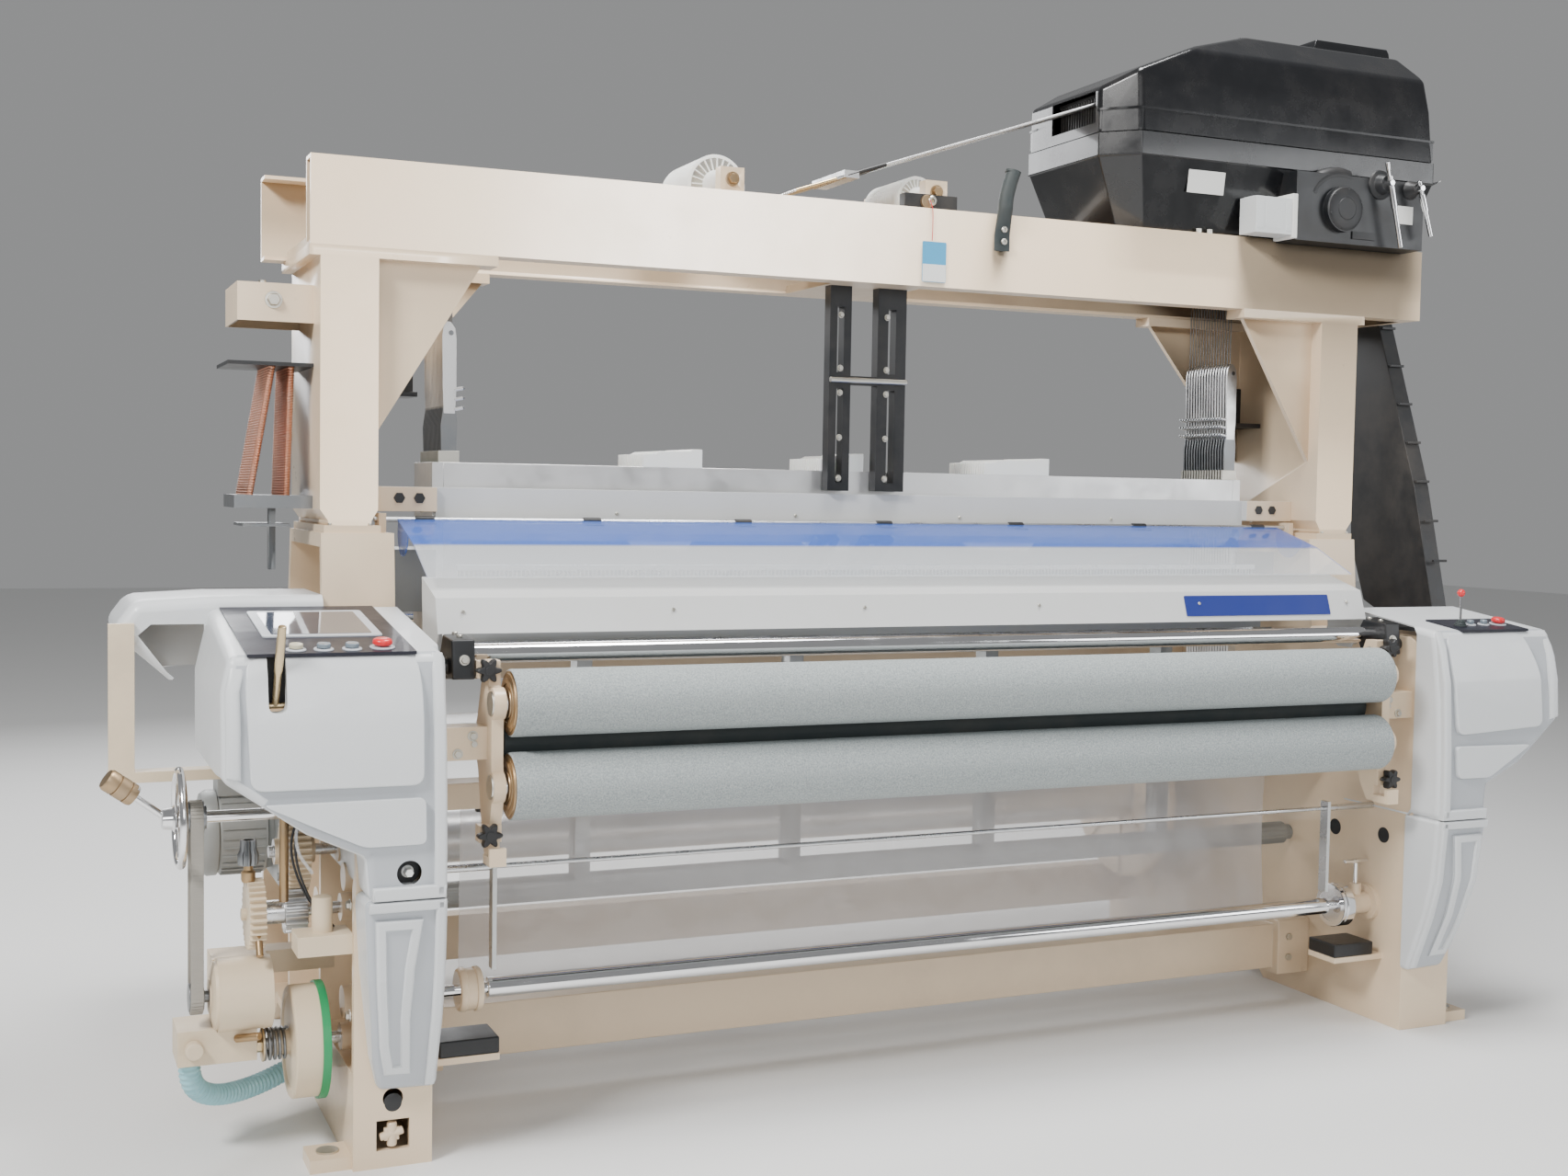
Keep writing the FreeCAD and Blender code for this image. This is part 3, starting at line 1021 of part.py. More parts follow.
def left_gearbox():
    """Cast gearbox with its arm, brake band, valve block, hood bracket and toothed belt."""
    case = rod_x(-1636, -1533, HAND_Y, INPUT_Z, 72)
    neck = rod_x(-1650, -1636, HAND_Y, INPUT_Z, 34)
    arm = box(-1540, -FRAME_OUTER, -434, -376, 352, 398)
    lower = box(-1710, -1560, -520, -410, 203, 273)
    shape = fuse(case, neck, arm, lower, box(-1640, -1533, -470, -376, 273, 398))
    shape = shape.cut(rod_x(-1651, -1599, HAND_Y, INPUT_Z, INPUT_SHAFT + SHAFT_GAP))
    band = rod_x(-1446, -1430, DRUM_Y, DRUM_Z, DRUM_RADIUS + 5)
    band = band.cut(rod_x(-1447, -1429, DRUM_Y, DRUM_Z, DRUM_RADIUS + NIP_GAP))
    anchor = box(-1446, -FRAME_OUTER, DRUM_Y + DRUM_RADIUS + 2, DRUM_Y + DRUM_RADIUS + 22, DRUM_Z - 20, DRUM_Z + 20)
    band = fuse(band, anchor.cut(rod_x(-1447, -1394, DRUM_Y, DRUM_Z, DRUM_RADIUS + NIP_GAP)))
    strip = box(-1822, -1772, LEFT_COVER_REAR - 14, LEFT_COVER_REAR, 730, 1055)
    bracket = fuse(strip, box(-1822, -FRAME_OUTER, LEFT_COVER_REAR - 14, -245, 730, 752))
    return [shape, belt(), band, bracket]


def brake_drum():
    """Brake drum on its shaft with the coil spring and brass nut."""
    shape = rod_x(-1497, -1430, DRUM_Y, DRUM_Z, DRUM_RADIUS)
    shape = shape.cut(rod_x(-1498, -1485, DRUM_Y, DRUM_Z, DRUM_RADIUS - 18))
    shape = shape.fuse(rod_x(-1530, -1497, DRUM_Y, DRUM_Z, 24)).fuse(rod_x(-1490, -1480, DRUM_Y, DRUM_Z, 30))
    shaft = rod_x(-1552, -FRAME_OUTER + 70, DRUM_Y, DRUM_Z, DRUM_SHAFT)
    return fuse(shape, shaft, rod_x(-1497, -1484, DRUM_Y, DRUM_Z, 24))


def take_up_gear():
    """Large cast gear on its shaft in the left frame."""
    shape = gear(TAKE_UP_TEETH, GEAR_MODULE, -1500, -1456, GEAR_Y, GEAR_Z, GEAR_TURN)
    return fuse(shape, rod_x(-1520, -1440, GEAR_Y, GEAR_Z, 26),
                rod_x(-1530, -FRAME_OUTER + 70, GEAR_Y, GEAR_Z, GEAR_SHAFT))


def take_up_pinion():
    """Steel pinion and beige worm wheel on one shaft."""
    shape = gear(PINION_TEETH, GEAR_MODULE, -1506, -1462, PINION_Y, PINION_Z, PINION_TURN)
    wheel = gear(30, 4.4, -1578, -1546, PINION_Y, PINION_Z)
    shaft = rod_x(-1588, -FRAME_OUTER + 70, PINION_Y, PINION_Z, GEAR_SHAFT)
    return fuse(shape, wheel, shaft, rod_x(-1546, -1506, PINION_Y, PINION_Z, 24))


def return_springs():
    """Spring pack of the healds outside the left post."""
    bracket = box(-1555, -POST_OUTER + 23, -150, 60, 1690, 1772)
    bracket = bracket.cut(box(-1550, -POST_OUTER + 60, -144, 54, 1689, 1760))
    plate = box(-1574, -POST_OUTER + 23, -150, 60, 1596, 1604)
    comb = box(-1560, -POST_OUTER + 23, -140, 50, 1290, 1318)
    lower = box(-1541, -1440, -130, 30, 1250, 1256)
    strap = box(-1478, -1464, -70, -46, 1154, 1292)
    solids = [bracket, plate, comb, lower, strap]
    for row, (top_x, low_x) in enumerate(((-1480, -1530), (-1440, -1450))):
        for index in range(8):
            y = -130 + index * 24 + row * 6
            solids.append(rod_between((top_x, y, 1600), (low_x, y, 1304), 7))
    return fuse(*solids)


def route_tube(points, radius):
    """Tube along straight runs joined by tangent arcs, and the radii of the arcs."""
    vectors = [FreeCAD.Vector(*point) for point in points]
    edges = []
    radii = []
    start = vectors[0]
    for before, corner, after in zip(vectors, vectors[1:], vectors[2:]):
        into = corner.sub(before)
        out = after.sub(corner)
        reach = 0.45 * min(into.Length, out.Length)
        into.normalize()
        out.normalize()
        turn = into.getAngle(out)
        radii.append(reach / math.tan(turn / 2))
        first = corner - into * reach
        last = corner + out * reach
        bend = radii[-1]
        inward = (out - into).normalize()
        middle = corner + inward * (bend / math.cos(turn / 2) - bend)
        edges.append(Part.LineSegment(start, first).toShape())
        edges.append(Part.Arc(first, middle, last).toShape())
        start = last
    edges.append(Part.LineSegment(start, vectors[-1]).toShape())
    wire = Part.Wire(edges)
    direction = vectors[1].sub(vectors[0])
    section = Part.Wire(Part.makeCircle(radius, vectors[0], direction))
    tube = wire.makePipeShell([section], True, False)
    print("hose", "length", round(wire.Length, 1), "radii", [round(value) for value in radii],
          "volume ratio", round(tube.Volume / (math.pi * radius ** 2 * wire.Length), 4))
    return tube


def water_hose():
    """Ribbed drain hose from the valve block to the left frame."""
    return route_tube(HOSE_POINTS, HOSE_RADIUS)


def hex_head(x, y, z, axis, size=9.5, height=7):
    """Hexagon bolt head standing on a face, along the axis given with its sign."""
    direction = {"x": FreeCAD.Vector(1, 0, 0), "y": FreeCAD.Vector(0, 1, 0), "z": FreeCAD.Vector(0, 0, 1)}[axis[-1]]
    sign = -1 if axis[0] == "-" else 1
    if axis[-1] == "x":
        shape = prism_x([(y + size * math.cos(math.pi / 3 * k), z + size * math.sin(math.pi / 3 * k))
                         for k in range(6)], x, x + sign * height)
    elif axis[-1] == "y":
        shape = prism_y([(x + size * math.cos(math.pi / 3 * k), z + size * math.sin(math.pi / 3 * k))
                         for k in range(6)], y, y + sign * height)
    else:
        shape = prism_z([(x + size * math.cos(math.pi / 3 * k), y + size * math.sin(math.pi / 3 * k))
                         for k in range(6)], z, z + sign * height)
    return shape


def frame_bolts():
    """Bolt heads on the beams, posts, brackets and covers."""
    heads = []
    for side in (-1, 1):
        for z in (110, 166):
            heads.append(hex_head(side * 1170, -300, z, "-y"))
        for z in (1450, 1600, 1750):
            heads.append(hex_head(side * 1390, POST_REAR, z, "+y", 11, 8))
        for x in (1290, 1375):
            heads.append(hex_head(side * x, POST_FRONT - 5, POST_BASE + 16, "+z", 4.6, 5))
        heads.append(hex_head(side * (SHIELD_HALF + 40), SHIELD_Y - 24, 1316, "-y", 13, 3))
        heads.append(hex_head(side * (SHIELD_HALF + 85), SHIELD_Y - 24, 1316, "-y", 13, 3))
        heads.append(hex_head(side * (BRACKET_INNER + 50), -655, MIDDLE_ROLLER_Z, "-y", 7, 5))
    for x in (870, 905):
        heads.append(hex_head(x, BEAM_FRONT + 11, BEAM_TOP, "+z", 8, 12))
    return heads


def all_nodes():
    """Every sub-part by name."""
    nodes = {}
    for side, word in ((-1, "left"), (1, "right")):
        nodes[word + "_side_frame"] = side_frame(side)
        nodes[word + "_arch_post"] = arch_post(side)
        nodes[word + "_upper_cover"] = drill_covers(upper_cover(side), side)
        nodes["knob_upper_" + word] = star_knob(side, UPPER_KNOB)
        nodes["knob_lower_" + word] = star_knob(side, LOWER_KNOB)
    nodes["cross_beams"] = cross_beams()
    nodes["top_beams"] = top_beams()
    nodes["lower_covers"] = [lower_cover(-1), lower_cover(1)]
    nodes["control_panels"] = control_panels()
    nodes["breast_bar"] = breast_bar()
    nodes["end_blocks"] = end_blocks()
    nodes["front_hood"] = front_hood()
    nodes["heald_shield"] = heald_shield()
    nodes["drip_film"] = drip_film()
    nodes["roller_brackets"] = [roller_bracket(-1), roller_bracket(1)]
    nodes["dobby_case"] = dobby_case()
    nodes["dobby_cover"] = dobby_cover()
    nodes["dobby_gearbox"] = dobby_gearbox()
    nodes["belt_guard"] = belt_guard()
    nodes["centre_guides"] = centre_guides()
    nodes["return_springs"] = return_springs()
    nodes["left_gearbox"] = left_gearbox()
    nodes["cloth_bracket"] = cloth_bracket()
    nodes["water_hose"] = water_hose()
    nodes["frame_bolts"] = frame_bolts()
    nodes["main_motor"] = main_motor()
    nodes["upper_roller"] = roller(ROLLER_Y, UPPER_ROLLER_Z, ROLLER_RADIUS, 50)
    nodes["lower_roller"] = roller(ROLLER_Y, LOWER_ROLLER_Z, ROLLER_RADIUS, 50)
    nodes["middle_roller"] = roller(MIDDLE_ROLLER_Y, MIDDLE_ROLLER_Z, MIDDLE_ROLLER_RADIUS, 40)
    nodes["cloth_beam"] = cloth_beam()
    nodes["warp_beam"] = warp_beam()
    nodes["back_rest_roller"] = back_rest_roller()
    nodes["back_rest_levers"] = back_rest_levers()
    nodes["sley"] = sley()
    nodes["handwheel"] = handwheel()
    nodes["input_pulley"] = input_pulley()
    nodes["brake_drum"] = brake_drum()
    nodes["take_up_gear"] = take_up_gear()
    nodes["take_up_pinion"] = take_up_pinion()
    nodes["splash_cover"] = splash_cover()
    nodes["stop_button_left"] = button(LEFT_STOP[0], LEFT_STOP[1], 19, 14)
    nodes["stop_button_right"] = button(RIGHT_STOP[0], RIGHT_STOP[1], 17, 14)
    nodes["left_push_buttons"] = [button(x, y, 11, 8) for x, y in LEFT_BUTTONS]
    nodes["right_push_buttons"] = [button(x, y, 9, 8) for x, y in RIGHT_BUTTONS]
    nodes["joystick"] = joystick()
    nodes["start_lever"] = start_lever()
    nodes["t_handle"] = t_handle()
    nodes["dobby_lever_long"] = dobby_lever(LONG_LEVER)
    nodes["dobby_lever_short"] = dobby_lever(SHORT_LEVER)
    nodes["heald_frames_odd"] = heald_frames(0)
    nodes["heald_frames_even"] = heald_frames(1)
    nodes["presser_rod"] = presser_rod()
    nodes["sheaves_left"] = sheaves(SHEAVE_LEFT_X, SHEAVE_LEFT_Z, SHEAVE_LEFT_RADIUS)
    nodes["sheaves_right"] = sheaves(SHEAVE_RIGHT_X, SHEAVE_RIGHT_Z, SHEAVE_RIGHT_RADIUS)
    nodes["drawbars"] = drawbars()
    return nodes


def save(name, piece):
    """Write one node; a list becomes a compound of separate solids."""
    shape = Part.makeCompound(piece) if isinstance(piece, list) else piece
    if not shape.isValid():
        print("not valid:", name)
    print(name, len(shape.Solids), "solids", round(shape.Volume / 1e6, 3), "litres")
    shape.exportStep("parts/" + name + ".step")


os.makedirs("parts", exist_ok=True)
for node_name, node_shape in all_nodes().items():
    save(node_name, node_shape)
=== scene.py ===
"""Water-jet power loom with an overhead dobby: finishes, moulded covers, springs, film, hose and fittings."""
import bmesh
import bpy
import json
import math
from mathutils import Matrix, Vector

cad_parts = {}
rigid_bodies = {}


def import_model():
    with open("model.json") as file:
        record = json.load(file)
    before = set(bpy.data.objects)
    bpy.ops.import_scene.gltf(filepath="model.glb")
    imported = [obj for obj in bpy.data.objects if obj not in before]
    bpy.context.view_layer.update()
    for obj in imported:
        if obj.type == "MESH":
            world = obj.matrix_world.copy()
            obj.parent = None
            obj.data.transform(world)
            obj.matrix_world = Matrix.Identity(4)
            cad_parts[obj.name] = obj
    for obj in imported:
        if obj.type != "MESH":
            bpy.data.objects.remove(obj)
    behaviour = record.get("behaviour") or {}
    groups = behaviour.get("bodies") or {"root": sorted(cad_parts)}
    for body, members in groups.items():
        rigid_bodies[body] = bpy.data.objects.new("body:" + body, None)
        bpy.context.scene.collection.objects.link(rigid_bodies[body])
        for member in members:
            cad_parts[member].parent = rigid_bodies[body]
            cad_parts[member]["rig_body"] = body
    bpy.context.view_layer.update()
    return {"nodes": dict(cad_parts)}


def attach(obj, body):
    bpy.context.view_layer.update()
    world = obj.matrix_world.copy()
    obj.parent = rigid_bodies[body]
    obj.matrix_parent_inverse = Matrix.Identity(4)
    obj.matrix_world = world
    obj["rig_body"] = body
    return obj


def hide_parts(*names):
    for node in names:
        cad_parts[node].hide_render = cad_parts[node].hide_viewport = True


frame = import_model()

bl_info = {
    "name": "Power loom",
    "version": (1, 0, 0),
    "blender": (4, 5, 0),
    "location": "View3D > Sidebar > Loom",
    "description": "Builds the visible finish of a water-jet power loom on its packed frame",
    "category": "Object",
}

MM = 0.001
SIDES = (-1, 1)


# ------------------------------------------------------------------ settings
def srgb(red, green, blue):
    """Linear colour from 0-255 display values."""
    def one(value):
        value = value / 255
        return value / 12.92 if value <= 0.04045 else ((value + 0.055) / 1.055) ** 2.4
    return (one(red), one(green), one(blue))


def colour(label, text, value):
    """A colour setting with its default."""
    return bpy.props.FloatVectorProperty(name=label, description=text, subtype="COLOR", size=3,
                                         min=0.0, max=1.0, default=value)


def length(label, text, value):
    """A length setting in metres."""
    return bpy.props.FloatProperty(name=label, description=text, subtype="DISTANCE", unit="LENGTH", default=value)


class LoomColours(bpy.types.PropertyGroup):
    """Paints and plastics of the loom."""
    enamel: colour("Enamel", "Beige enamel of castings and beams", srgb(221, 199, 170))
    cover: colour("Covers", "Light grey moulded covers", srgb(206, 209, 211))
    hood: colour("Hood", "Light grey sheet metal", srgb(200, 201, 200))
    plate: colour("Plate", "Blank blue plate", srgb(5, 34, 118))
    grit: colour("Grit", "Covering of the take-up rollers", srgb(176, 182, 182))
    housing: colour("Dobby housing", "Glossy black housing", srgb(13, 14, 17))
    film: colour("Protective film", "Blue film on the clear cover", srgb(72, 112, 200))
    stop: colour("Stop buttons", "Red mushroom buttons", srgb(220, 30, 40))
    spring: colour("Springs", "Copper-coloured springs", srgb(196, 142, 118))
    hose: colour("Hose", "Translucent blue ribbed hose", srgb(150, 205, 215))


class LoomSizes(bpy.types.PropertyGroup):
    """Sizes that the visible finish adds to the frame."""
    edge: length("Edge rounding", "Rounding of machined and folded edges", 0.003)
    cast_edge: length("Casting rounding", "Rounding of cast edges", 0.006)


def colours():
    """The colour settings."""
    return bpy.context.scene.loom_colours


def sizes():
    """The size settings."""
    return bpy.context.scene.loom_sizes


# ------------------------------------------------------------------ materials
EFFECT_OUTPUTS = (("Color", "NodeSocketColor"), ("Roughness", "NodeSocketFloat"), ("Height", "NodeSocketFloat"))


def effect_group(name, inputs):
    """Empty shader group with named inputs and the common outputs; returns tree, input node and output node."""
    tree = bpy.data.node_groups.new(name, "ShaderNodeTree")
    for label, kind, value in inputs:
        tree.interface.new_socket(name=label, in_out="INPUT", socket_type=kind).default_value = value
    for label, kind in EFFECT_OUTPUTS:
        tree.interface.new_socket(name=label, in_out="OUTPUT", socket_type=kind)
    return tree, tree.nodes.new("NodeGroupInput"), tree.nodes.new("NodeGroupOutput")


def feed(tree, socket, value):
    """Give a socket a number or link it to another socket."""
    if isinstance(value, (int, float)):
        socket.default_value = value
    else:
        tree.links.new(value, socket)


def noise(tree, vector, scale, detail, roughness=0.55):
    """Noise texture on given coordinates."""
    node = tree.nodes.new("ShaderNodeTexNoise")
    node.inputs["Detail"].default_value = detail
    node.inputs["Roughness"].default_value = roughness
    feed(tree, node.inputs["Scale"], scale)
    tree.links.new(vector, node.inputs["Vector"])
    return node.outputs["Fac"]


def ramp(tree, value, low, high, out_low, out_high):
    """Map a value from one range to another, clamped."""
    node = tree.nodes.new("ShaderNodeMapRange")
    for socket, number in (("From Min", low), ("From Max", high), ("To Min", out_low), ("To Max", out_high)):
        feed(tree, node.inputs[socket], number)
    tree.links.new(value, node.inputs["Value"])
    return node.outputs["Result"]


def mixed(tree, factor, first, second):
    """Colour mix of two sockets."""
    node = tree.nodes.new("ShaderNodeMix")
    node.data_type = "RGBA"
    tree.links.new(factor, node.inputs["Factor"])
    tree.links.new(first, node.inputs[6])
    tree.links.new(second, node.inputs[7])
    return node.outputs[2]


def maths(tree, operation, first, second):
    """Math node on sockets or numbers."""
    node = tree.nodes.new("ShaderNodeMath")
    node.operation = operation
    for socket, value in zip(node.inputs, (first, second)):
        feed(tree, socket, value)
    return node.outputs[0]


def stretched(tree, vector, x, y, z):
    """Coordinates scaled along each axis."""
    node = tree.nodes.new("ShaderNodeMapping")
    node.inputs["Scale"].default_value = (x, y, z)
    tree.links.new(vector, node.inputs["Vector"])
    return node.outputs["Vector"]


def coating_group():
    """Sprayed or moulded surface: mottled colour, settled dust and a fine texture."""
    tree, start, end = effect_group("Coating", [
        ("Vector", "NodeSocketVector", (0, 0, 0)), ("Color", "NodeSocketColor", (0.8, 0.8, 0.8, 1)),
        ("Soil Color", "NodeSocketColor", (0.3, 0.25, 0.2, 1)), ("Soil", "NodeSocketFloat", 0.15),
        ("Grain", "NodeSocketFloat", 220.0), ("Smooth Roughness", "NodeSocketFloat", 0.35)])
    broad = noise(tree, start.outputs["Vector"], 2.3, 5.0)
    patches = noise(tree, start.outputs["Vector"], 11.0, 6.0, 0.65)
    fine = noise(tree, start.outputs["Vector"], start.outputs["Grain"], 2.0)
    soil = ramp(tree, maths(tree, "MULTIPLY", broad, patches), 0.22, 0.42, 0.0, start.outputs["Soil"])
    tree.links.new(mixed(tree, soil, start.outputs["Color"], start.outputs["Soil Color"]), end.inputs["Color"])
    wave = ramp(tree, patches, 0.3, 0.7, -0.06, 0.08)
    tree.links.new(maths(tree, "ADD", start.outputs["Smooth Roughness"], wave), end.inputs["Roughness"])
    tree.links.new(fine, end.inputs["Height"])
    return tree


def metal_group():
    """Machined metal: fine lines along one direction and faint stains."""
    tree, start, end = effect_group("Machined", [
        ("Vector", "NodeSocketVector", (0, 0, 0)), ("Color", "NodeSocketColor", (0.7, 0.7, 0.7, 1)),
        ("Stain Color", "NodeSocketColor", (0.35, 0.32, 0.28, 1)), ("Stain", "NodeSocketFloat", 0.2),
        ("Smooth Roughness", "NodeSocketFloat", 0.25)])
    lines = noise(tree, stretched(tree, start.outputs["Vector"], 4.0, 260.0, 260.0), 1.0, 4.0)
    stains = noise(tree, start.outputs["Vector"], 14.0, 5.0, 0.6)
    amount = ramp(tree, stains, 0.48, 0.75, 0.0, start.outputs["Stain"])
    tree.links.new(mixed(tree, amount, start.outputs["Color"], start.outputs["Stain Color"]), end.inputs["Color"])
    wave = ramp(tree, stains, 0.35, 0.7, -0.05, 0.12)
    tree.links.new(maths(tree, "ADD", start.outputs["Smooth Roughness"], wave), end.inputs["Roughness"])
    tree.links.new(lines, end.inputs["Height"])
    return tree


def grit_group():
    """Coarse friction covering with pale and dark specks."""
    tree, start, end = effect_group("Grit", [
        ("Vector", "NodeSocketVector", (0, 0, 0)), ("Color", "NodeSocketColor", (0.4, 0.4, 0.4, 1)),
        ("Speck Color", "NodeSocketColor", (0.2, 0.22, 0.22, 1)), ("Size", "NodeSocketFloat", 260.0),
        ("Smooth Roughness", "NodeSocketFloat", 0.75)])
    cells = tree.nodes.new("ShaderNodeTexVoronoi")
    tree.links.new(start.outputs["Size"], cells.inputs["Scale"])
    tree.links.new(start.outputs["Vector"], cells.inputs["Vector"])
    lumps = noise(tree, start.outputs["Vector"], 300.0, 4.0, 0.7)
    specks = ramp(tree, lumps, 0.35, 0.7, 1.0, 0.0)
    tree.links.new(mixed(tree, specks, start.outputs["Color"], start.outputs["Speck Color"]), end.inputs["Color"])
    tree.links.new(ramp(tree, lumps, 0.3, 0.7, 0.9, start.outputs["Smooth Roughness"]), end.inputs["Roughness"])
    tree.links.new(maths(tree, "ADD", cells.outputs["Distance"], lumps), end.inputs["Height"])
    return tree


def surface(name, group, values, bump=0.1, distance=0.0006, **sockets):
    """Material whose colour, roughness and relief come from an effect group."""
    material = bpy.data.materials.new(name)
    material.use_nodes = True
    tree = material.node_tree
    shader = tree.nodes["Principled BSDF"]
    node = tree.nodes.new("ShaderNodeGroup")
    node.node_tree = bpy.data.node_groups[group]
    place = tree.nodes.new("ShaderNodeTexCoord")
    tree.links.new(place.outputs["Object"], node.inputs["Vector"])
    for label, value in values.items():
        node.inputs[label].default_value = (*value, 1.0) if hasattr(value, "__len__") else value
    tree.links.new(node.outputs["Color"], shader.inputs["Base Color"])
    tree.links.new(node.outputs["Roughness"], shader.inputs["Roughness"])
    relief = tree.nodes.new("ShaderNodeBump")
    relief.inputs["Strength"].default_value = bump
    relief.inputs["Distance"].default_value = distance
    tree.links.new(node.outputs["Height"], relief.inputs["Height"])
    tree.links.new(relief.outputs["Normal"], shader.inputs["Normal"])
    for label, value in sockets.items():
        shader.inputs[label.replace("_", " ")].default_value = value
    material.diffuse_color = (*values["Color"], 1.0)
    return material


def coated(name, value, roughness=0.35, soil=0.12, grain=220.0, bump=0.08, **sockets):
    """Painted or moulded material."""
    return surface(name, "Coating", {"Color": tuple(value), "Soil": soil, "Grain": grain,
                                     "Smooth Roughness": roughness}, bump, **sockets)


def machined(name, value, roughness=0.25, stain=0.2, bump=0.05, **sockets):
    """Bare metal material."""
    return surface(name, "Machined", {"Color": tuple(value), "Stain": stain, "Smooth Roughness": roughness},
                   bump, 0.0003, Metallic=1.0, **sockets)


def make_materials():
    """Every finish by name."""
    coating_group()
    metal_group()
    grit_group()
    paint = colours()
    finishes = {
        "enamel": coated("enamel", paint.enamel, 0.33, 0.10, 240.0, 0.10, Coat_Weight=0.25, Coat_Roughness=0.15),
        "cover": coated("cover", paint.cover, 0.38, 0.05, 500.0, 0.03, Coat_Weight=0.1),
        # darker grey for the covers' sunk ground and sunk panel: painted shade in the recesses round the raised fields
        "cover_painted_shade": coated("cover_painted_shade", srgb(176, 180, 185), 0.45, 0.05, 500.0, 0.03),
        "hood": coated("hood", paint.hood, 0.42, 0.06, 400.0, 0.04),
        "plate": coated("plate", paint.plate, 0.42, 0.0, 400.0, 0.0, Coat_Weight=0.1),
        "housing": coated("housing", paint.housing, 0.24, 0.02, 60.0, 0.05, Coat_Weight=0.35, Coat_Roughness=0.08),
        "black_paint": coated("black_paint", srgb(18, 20, 23), 0.36, 0.06, 300.0, 0.08),
        "black_moulding": coated("black_moulding", srgb(30, 31, 33), 0.45, 0.1, 300.0, 0.1),
        "dark_rubber": coated("dark_rubber", srgb(52, 60, 61), 0.6, 0.1, 300.0, 0.2),
        "white": coated("white", srgb(238, 238, 234), 0.4, 0.03, 300.0, 0.05, Subsurface_Weight=0.05),
        "label": coated("label", srgb(226, 226, 222), 0.5, 0.04, 200.0, 0.02),
        "navy": coated("navy", srgb(13, 15, 32), 0.42, 0.03, 200.0, 0.03, Coat_Weight=0.08),
        "screen": coated("screen", srgb(58, 66, 84), 0.06, 0.02, 50.0, 0.0, Coat_Weight=0.8),
        "bezel": coated("bezel", srgb(186, 190, 196), 0.3, 0.03, 200.0, 0.03),
        "stop": coated("stop", paint.stop, 0.28, 0.03, 200.0, 0.02, Coat_Weight=0.4),
        "button": coated("button", srgb(120, 132, 142), 0.25, 0.03, 200.0, 0.03, Coat_Weight=0.4),
        "ivory": coated("ivory", srgb(205, 198, 172), 0.3, 0.05, 200.0, 0.03, Coat_Weight=0.3),
        "green": coated("green", srgb(24, 140, 84), 0.4, 0.05, 200.0, 0.03),
        "red_string": coated("red_string", srgb(205, 40, 40), 0.6, 0.0, 800.0, 0.2),
        "tag": coated("tag", srgb(70, 160, 205), 0.45, 0.05, 100.0, 0.02),
        "grey_cast": coated("grey_cast", srgb(150, 152, 150), 0.45, 0.15, 200.0, 0.15, Metallic=0.4),
        "gear_paint": coated("gear_paint", srgb(214, 196, 168), 0.45, 0.2, 200.0, 0.12),
        "servo": coated("servo", srgb(205, 208, 208), 0.35, 0.06, 300.0, 0.04),
        "belt": coated("belt", srgb(150, 146, 138), 0.6, 0.1, 300.0, 0.1),
        "chrome": machined("chrome", (0.82, 0.82, 0.83), 0.07, 0.05, 0.0),
        "steel": machined("steel", (0.62, 0.63, 0.64), 0.28, 0.15),
        "dark_steel": machined("dark_steel", (0.22, 0.23, 0.24), 0.35, 0.3),
        "aluminium": machined("aluminium", (0.74, 0.74, 0.74), 0.36, 0.06, 0.04),
        "brass": machined("brass", (0.66, 0.52, 0.31), 0.28, 0.35),
        "old_brass": machined("old_brass", (0.42, 0.29, 0.16), 0.38, 0.4),
        "copper": machined("copper", paint.spring, 0.4, 0.45),
        "zinc": machined("zinc", (0.6, 0.58, 0.52), 0.35, 0.3),
        "grit": surface("grit", "Grit", {"Color": tuple(paint.grit), "Speck Color": srgb(132, 140, 141),
                                         "Size": 520.0}, 0.8, 0.0009),
    }
    finishes["clear_blue"] = coated("clear_blue", paint.film, 0.08, 0.0, 40.0, 0.02, Coat_Weight=0.3, Alpha=0.62)
    finishes["clear"] = coated("clear", srgb(235, 240, 245), 0.05, 0.0, 40.0, 0.0, Alpha=0.28, Coat_Weight=0.3)
    finishes["film"] = coated("film", srgb(214, 212, 214), 0.12, 0.0, 9.0, 0.5, Alpha=0.42, Coat_Weight=0.3)
    finishes["hose"] = coated("hose", paint.hose, 0.25, 0.05, 80.0, 0.05, Alpha=0.85, Coat_Weight=0.2)
    return finishes


MATERIALS = {}


# ------------------------------------------------------------------ mesh tools, all in millimetres
def ring_angles(count, start=0.0):
    """Equal angles round a circle."""
    return [start + 2 * math.pi * step / count for step in range(count)]


def radial(u, v, angle, corners):
    """Corners given as (reach, width) from a centre, turned to an angle."""
    c, s = math.cos(angle), math.sin(angle)
    return [(u + c * reach - s * width, v + s * reach + c * width) for reach, width in corners]


def bar_corners(inner, near, outer, far):
    """Corners of a bar between two reaches with its half width at each."""
    return ((inner, near), (outer, far), (outer, -far), (inner, -near))


def axis_turn(direction):
    """Rotation that takes +Z to a direction."""
    return Vector((0, 0, 1)).rotation_difference(Vector(direction).normalized()).to_matrix().to_4x4()


def join_rings(mesh, rings, closed=True, caps=True):
    """Skin a run of equal rings of vertices."""
    count = len(rings[0])
    for first, second in zip(rings, rings[1:]):
        for step in range(count if closed else count - 1):
            after = (step + 1) % count
            mesh.faces.new((first[step], first[after], second[after], second[step]))
    if caps:
        mesh.faces.new(list(reversed(rings[0])))
        mesh.faces.new(rings[-1])


def add_turned(mesh, start, direction, profile, steps=40):
    """Closed turned body: (distance along, radius) points about a line."""
    turn = Matrix.Translation(Vector(start)) @ axis_turn(direction)
    rings = [[mesh.verts.new(turn @ Vector((radius * math.cos(angle), radius * math.sin(angle), along)))
              for angle in ring_angles(steps)] for along, radius in profile]
    join_rings(mesh, rings)


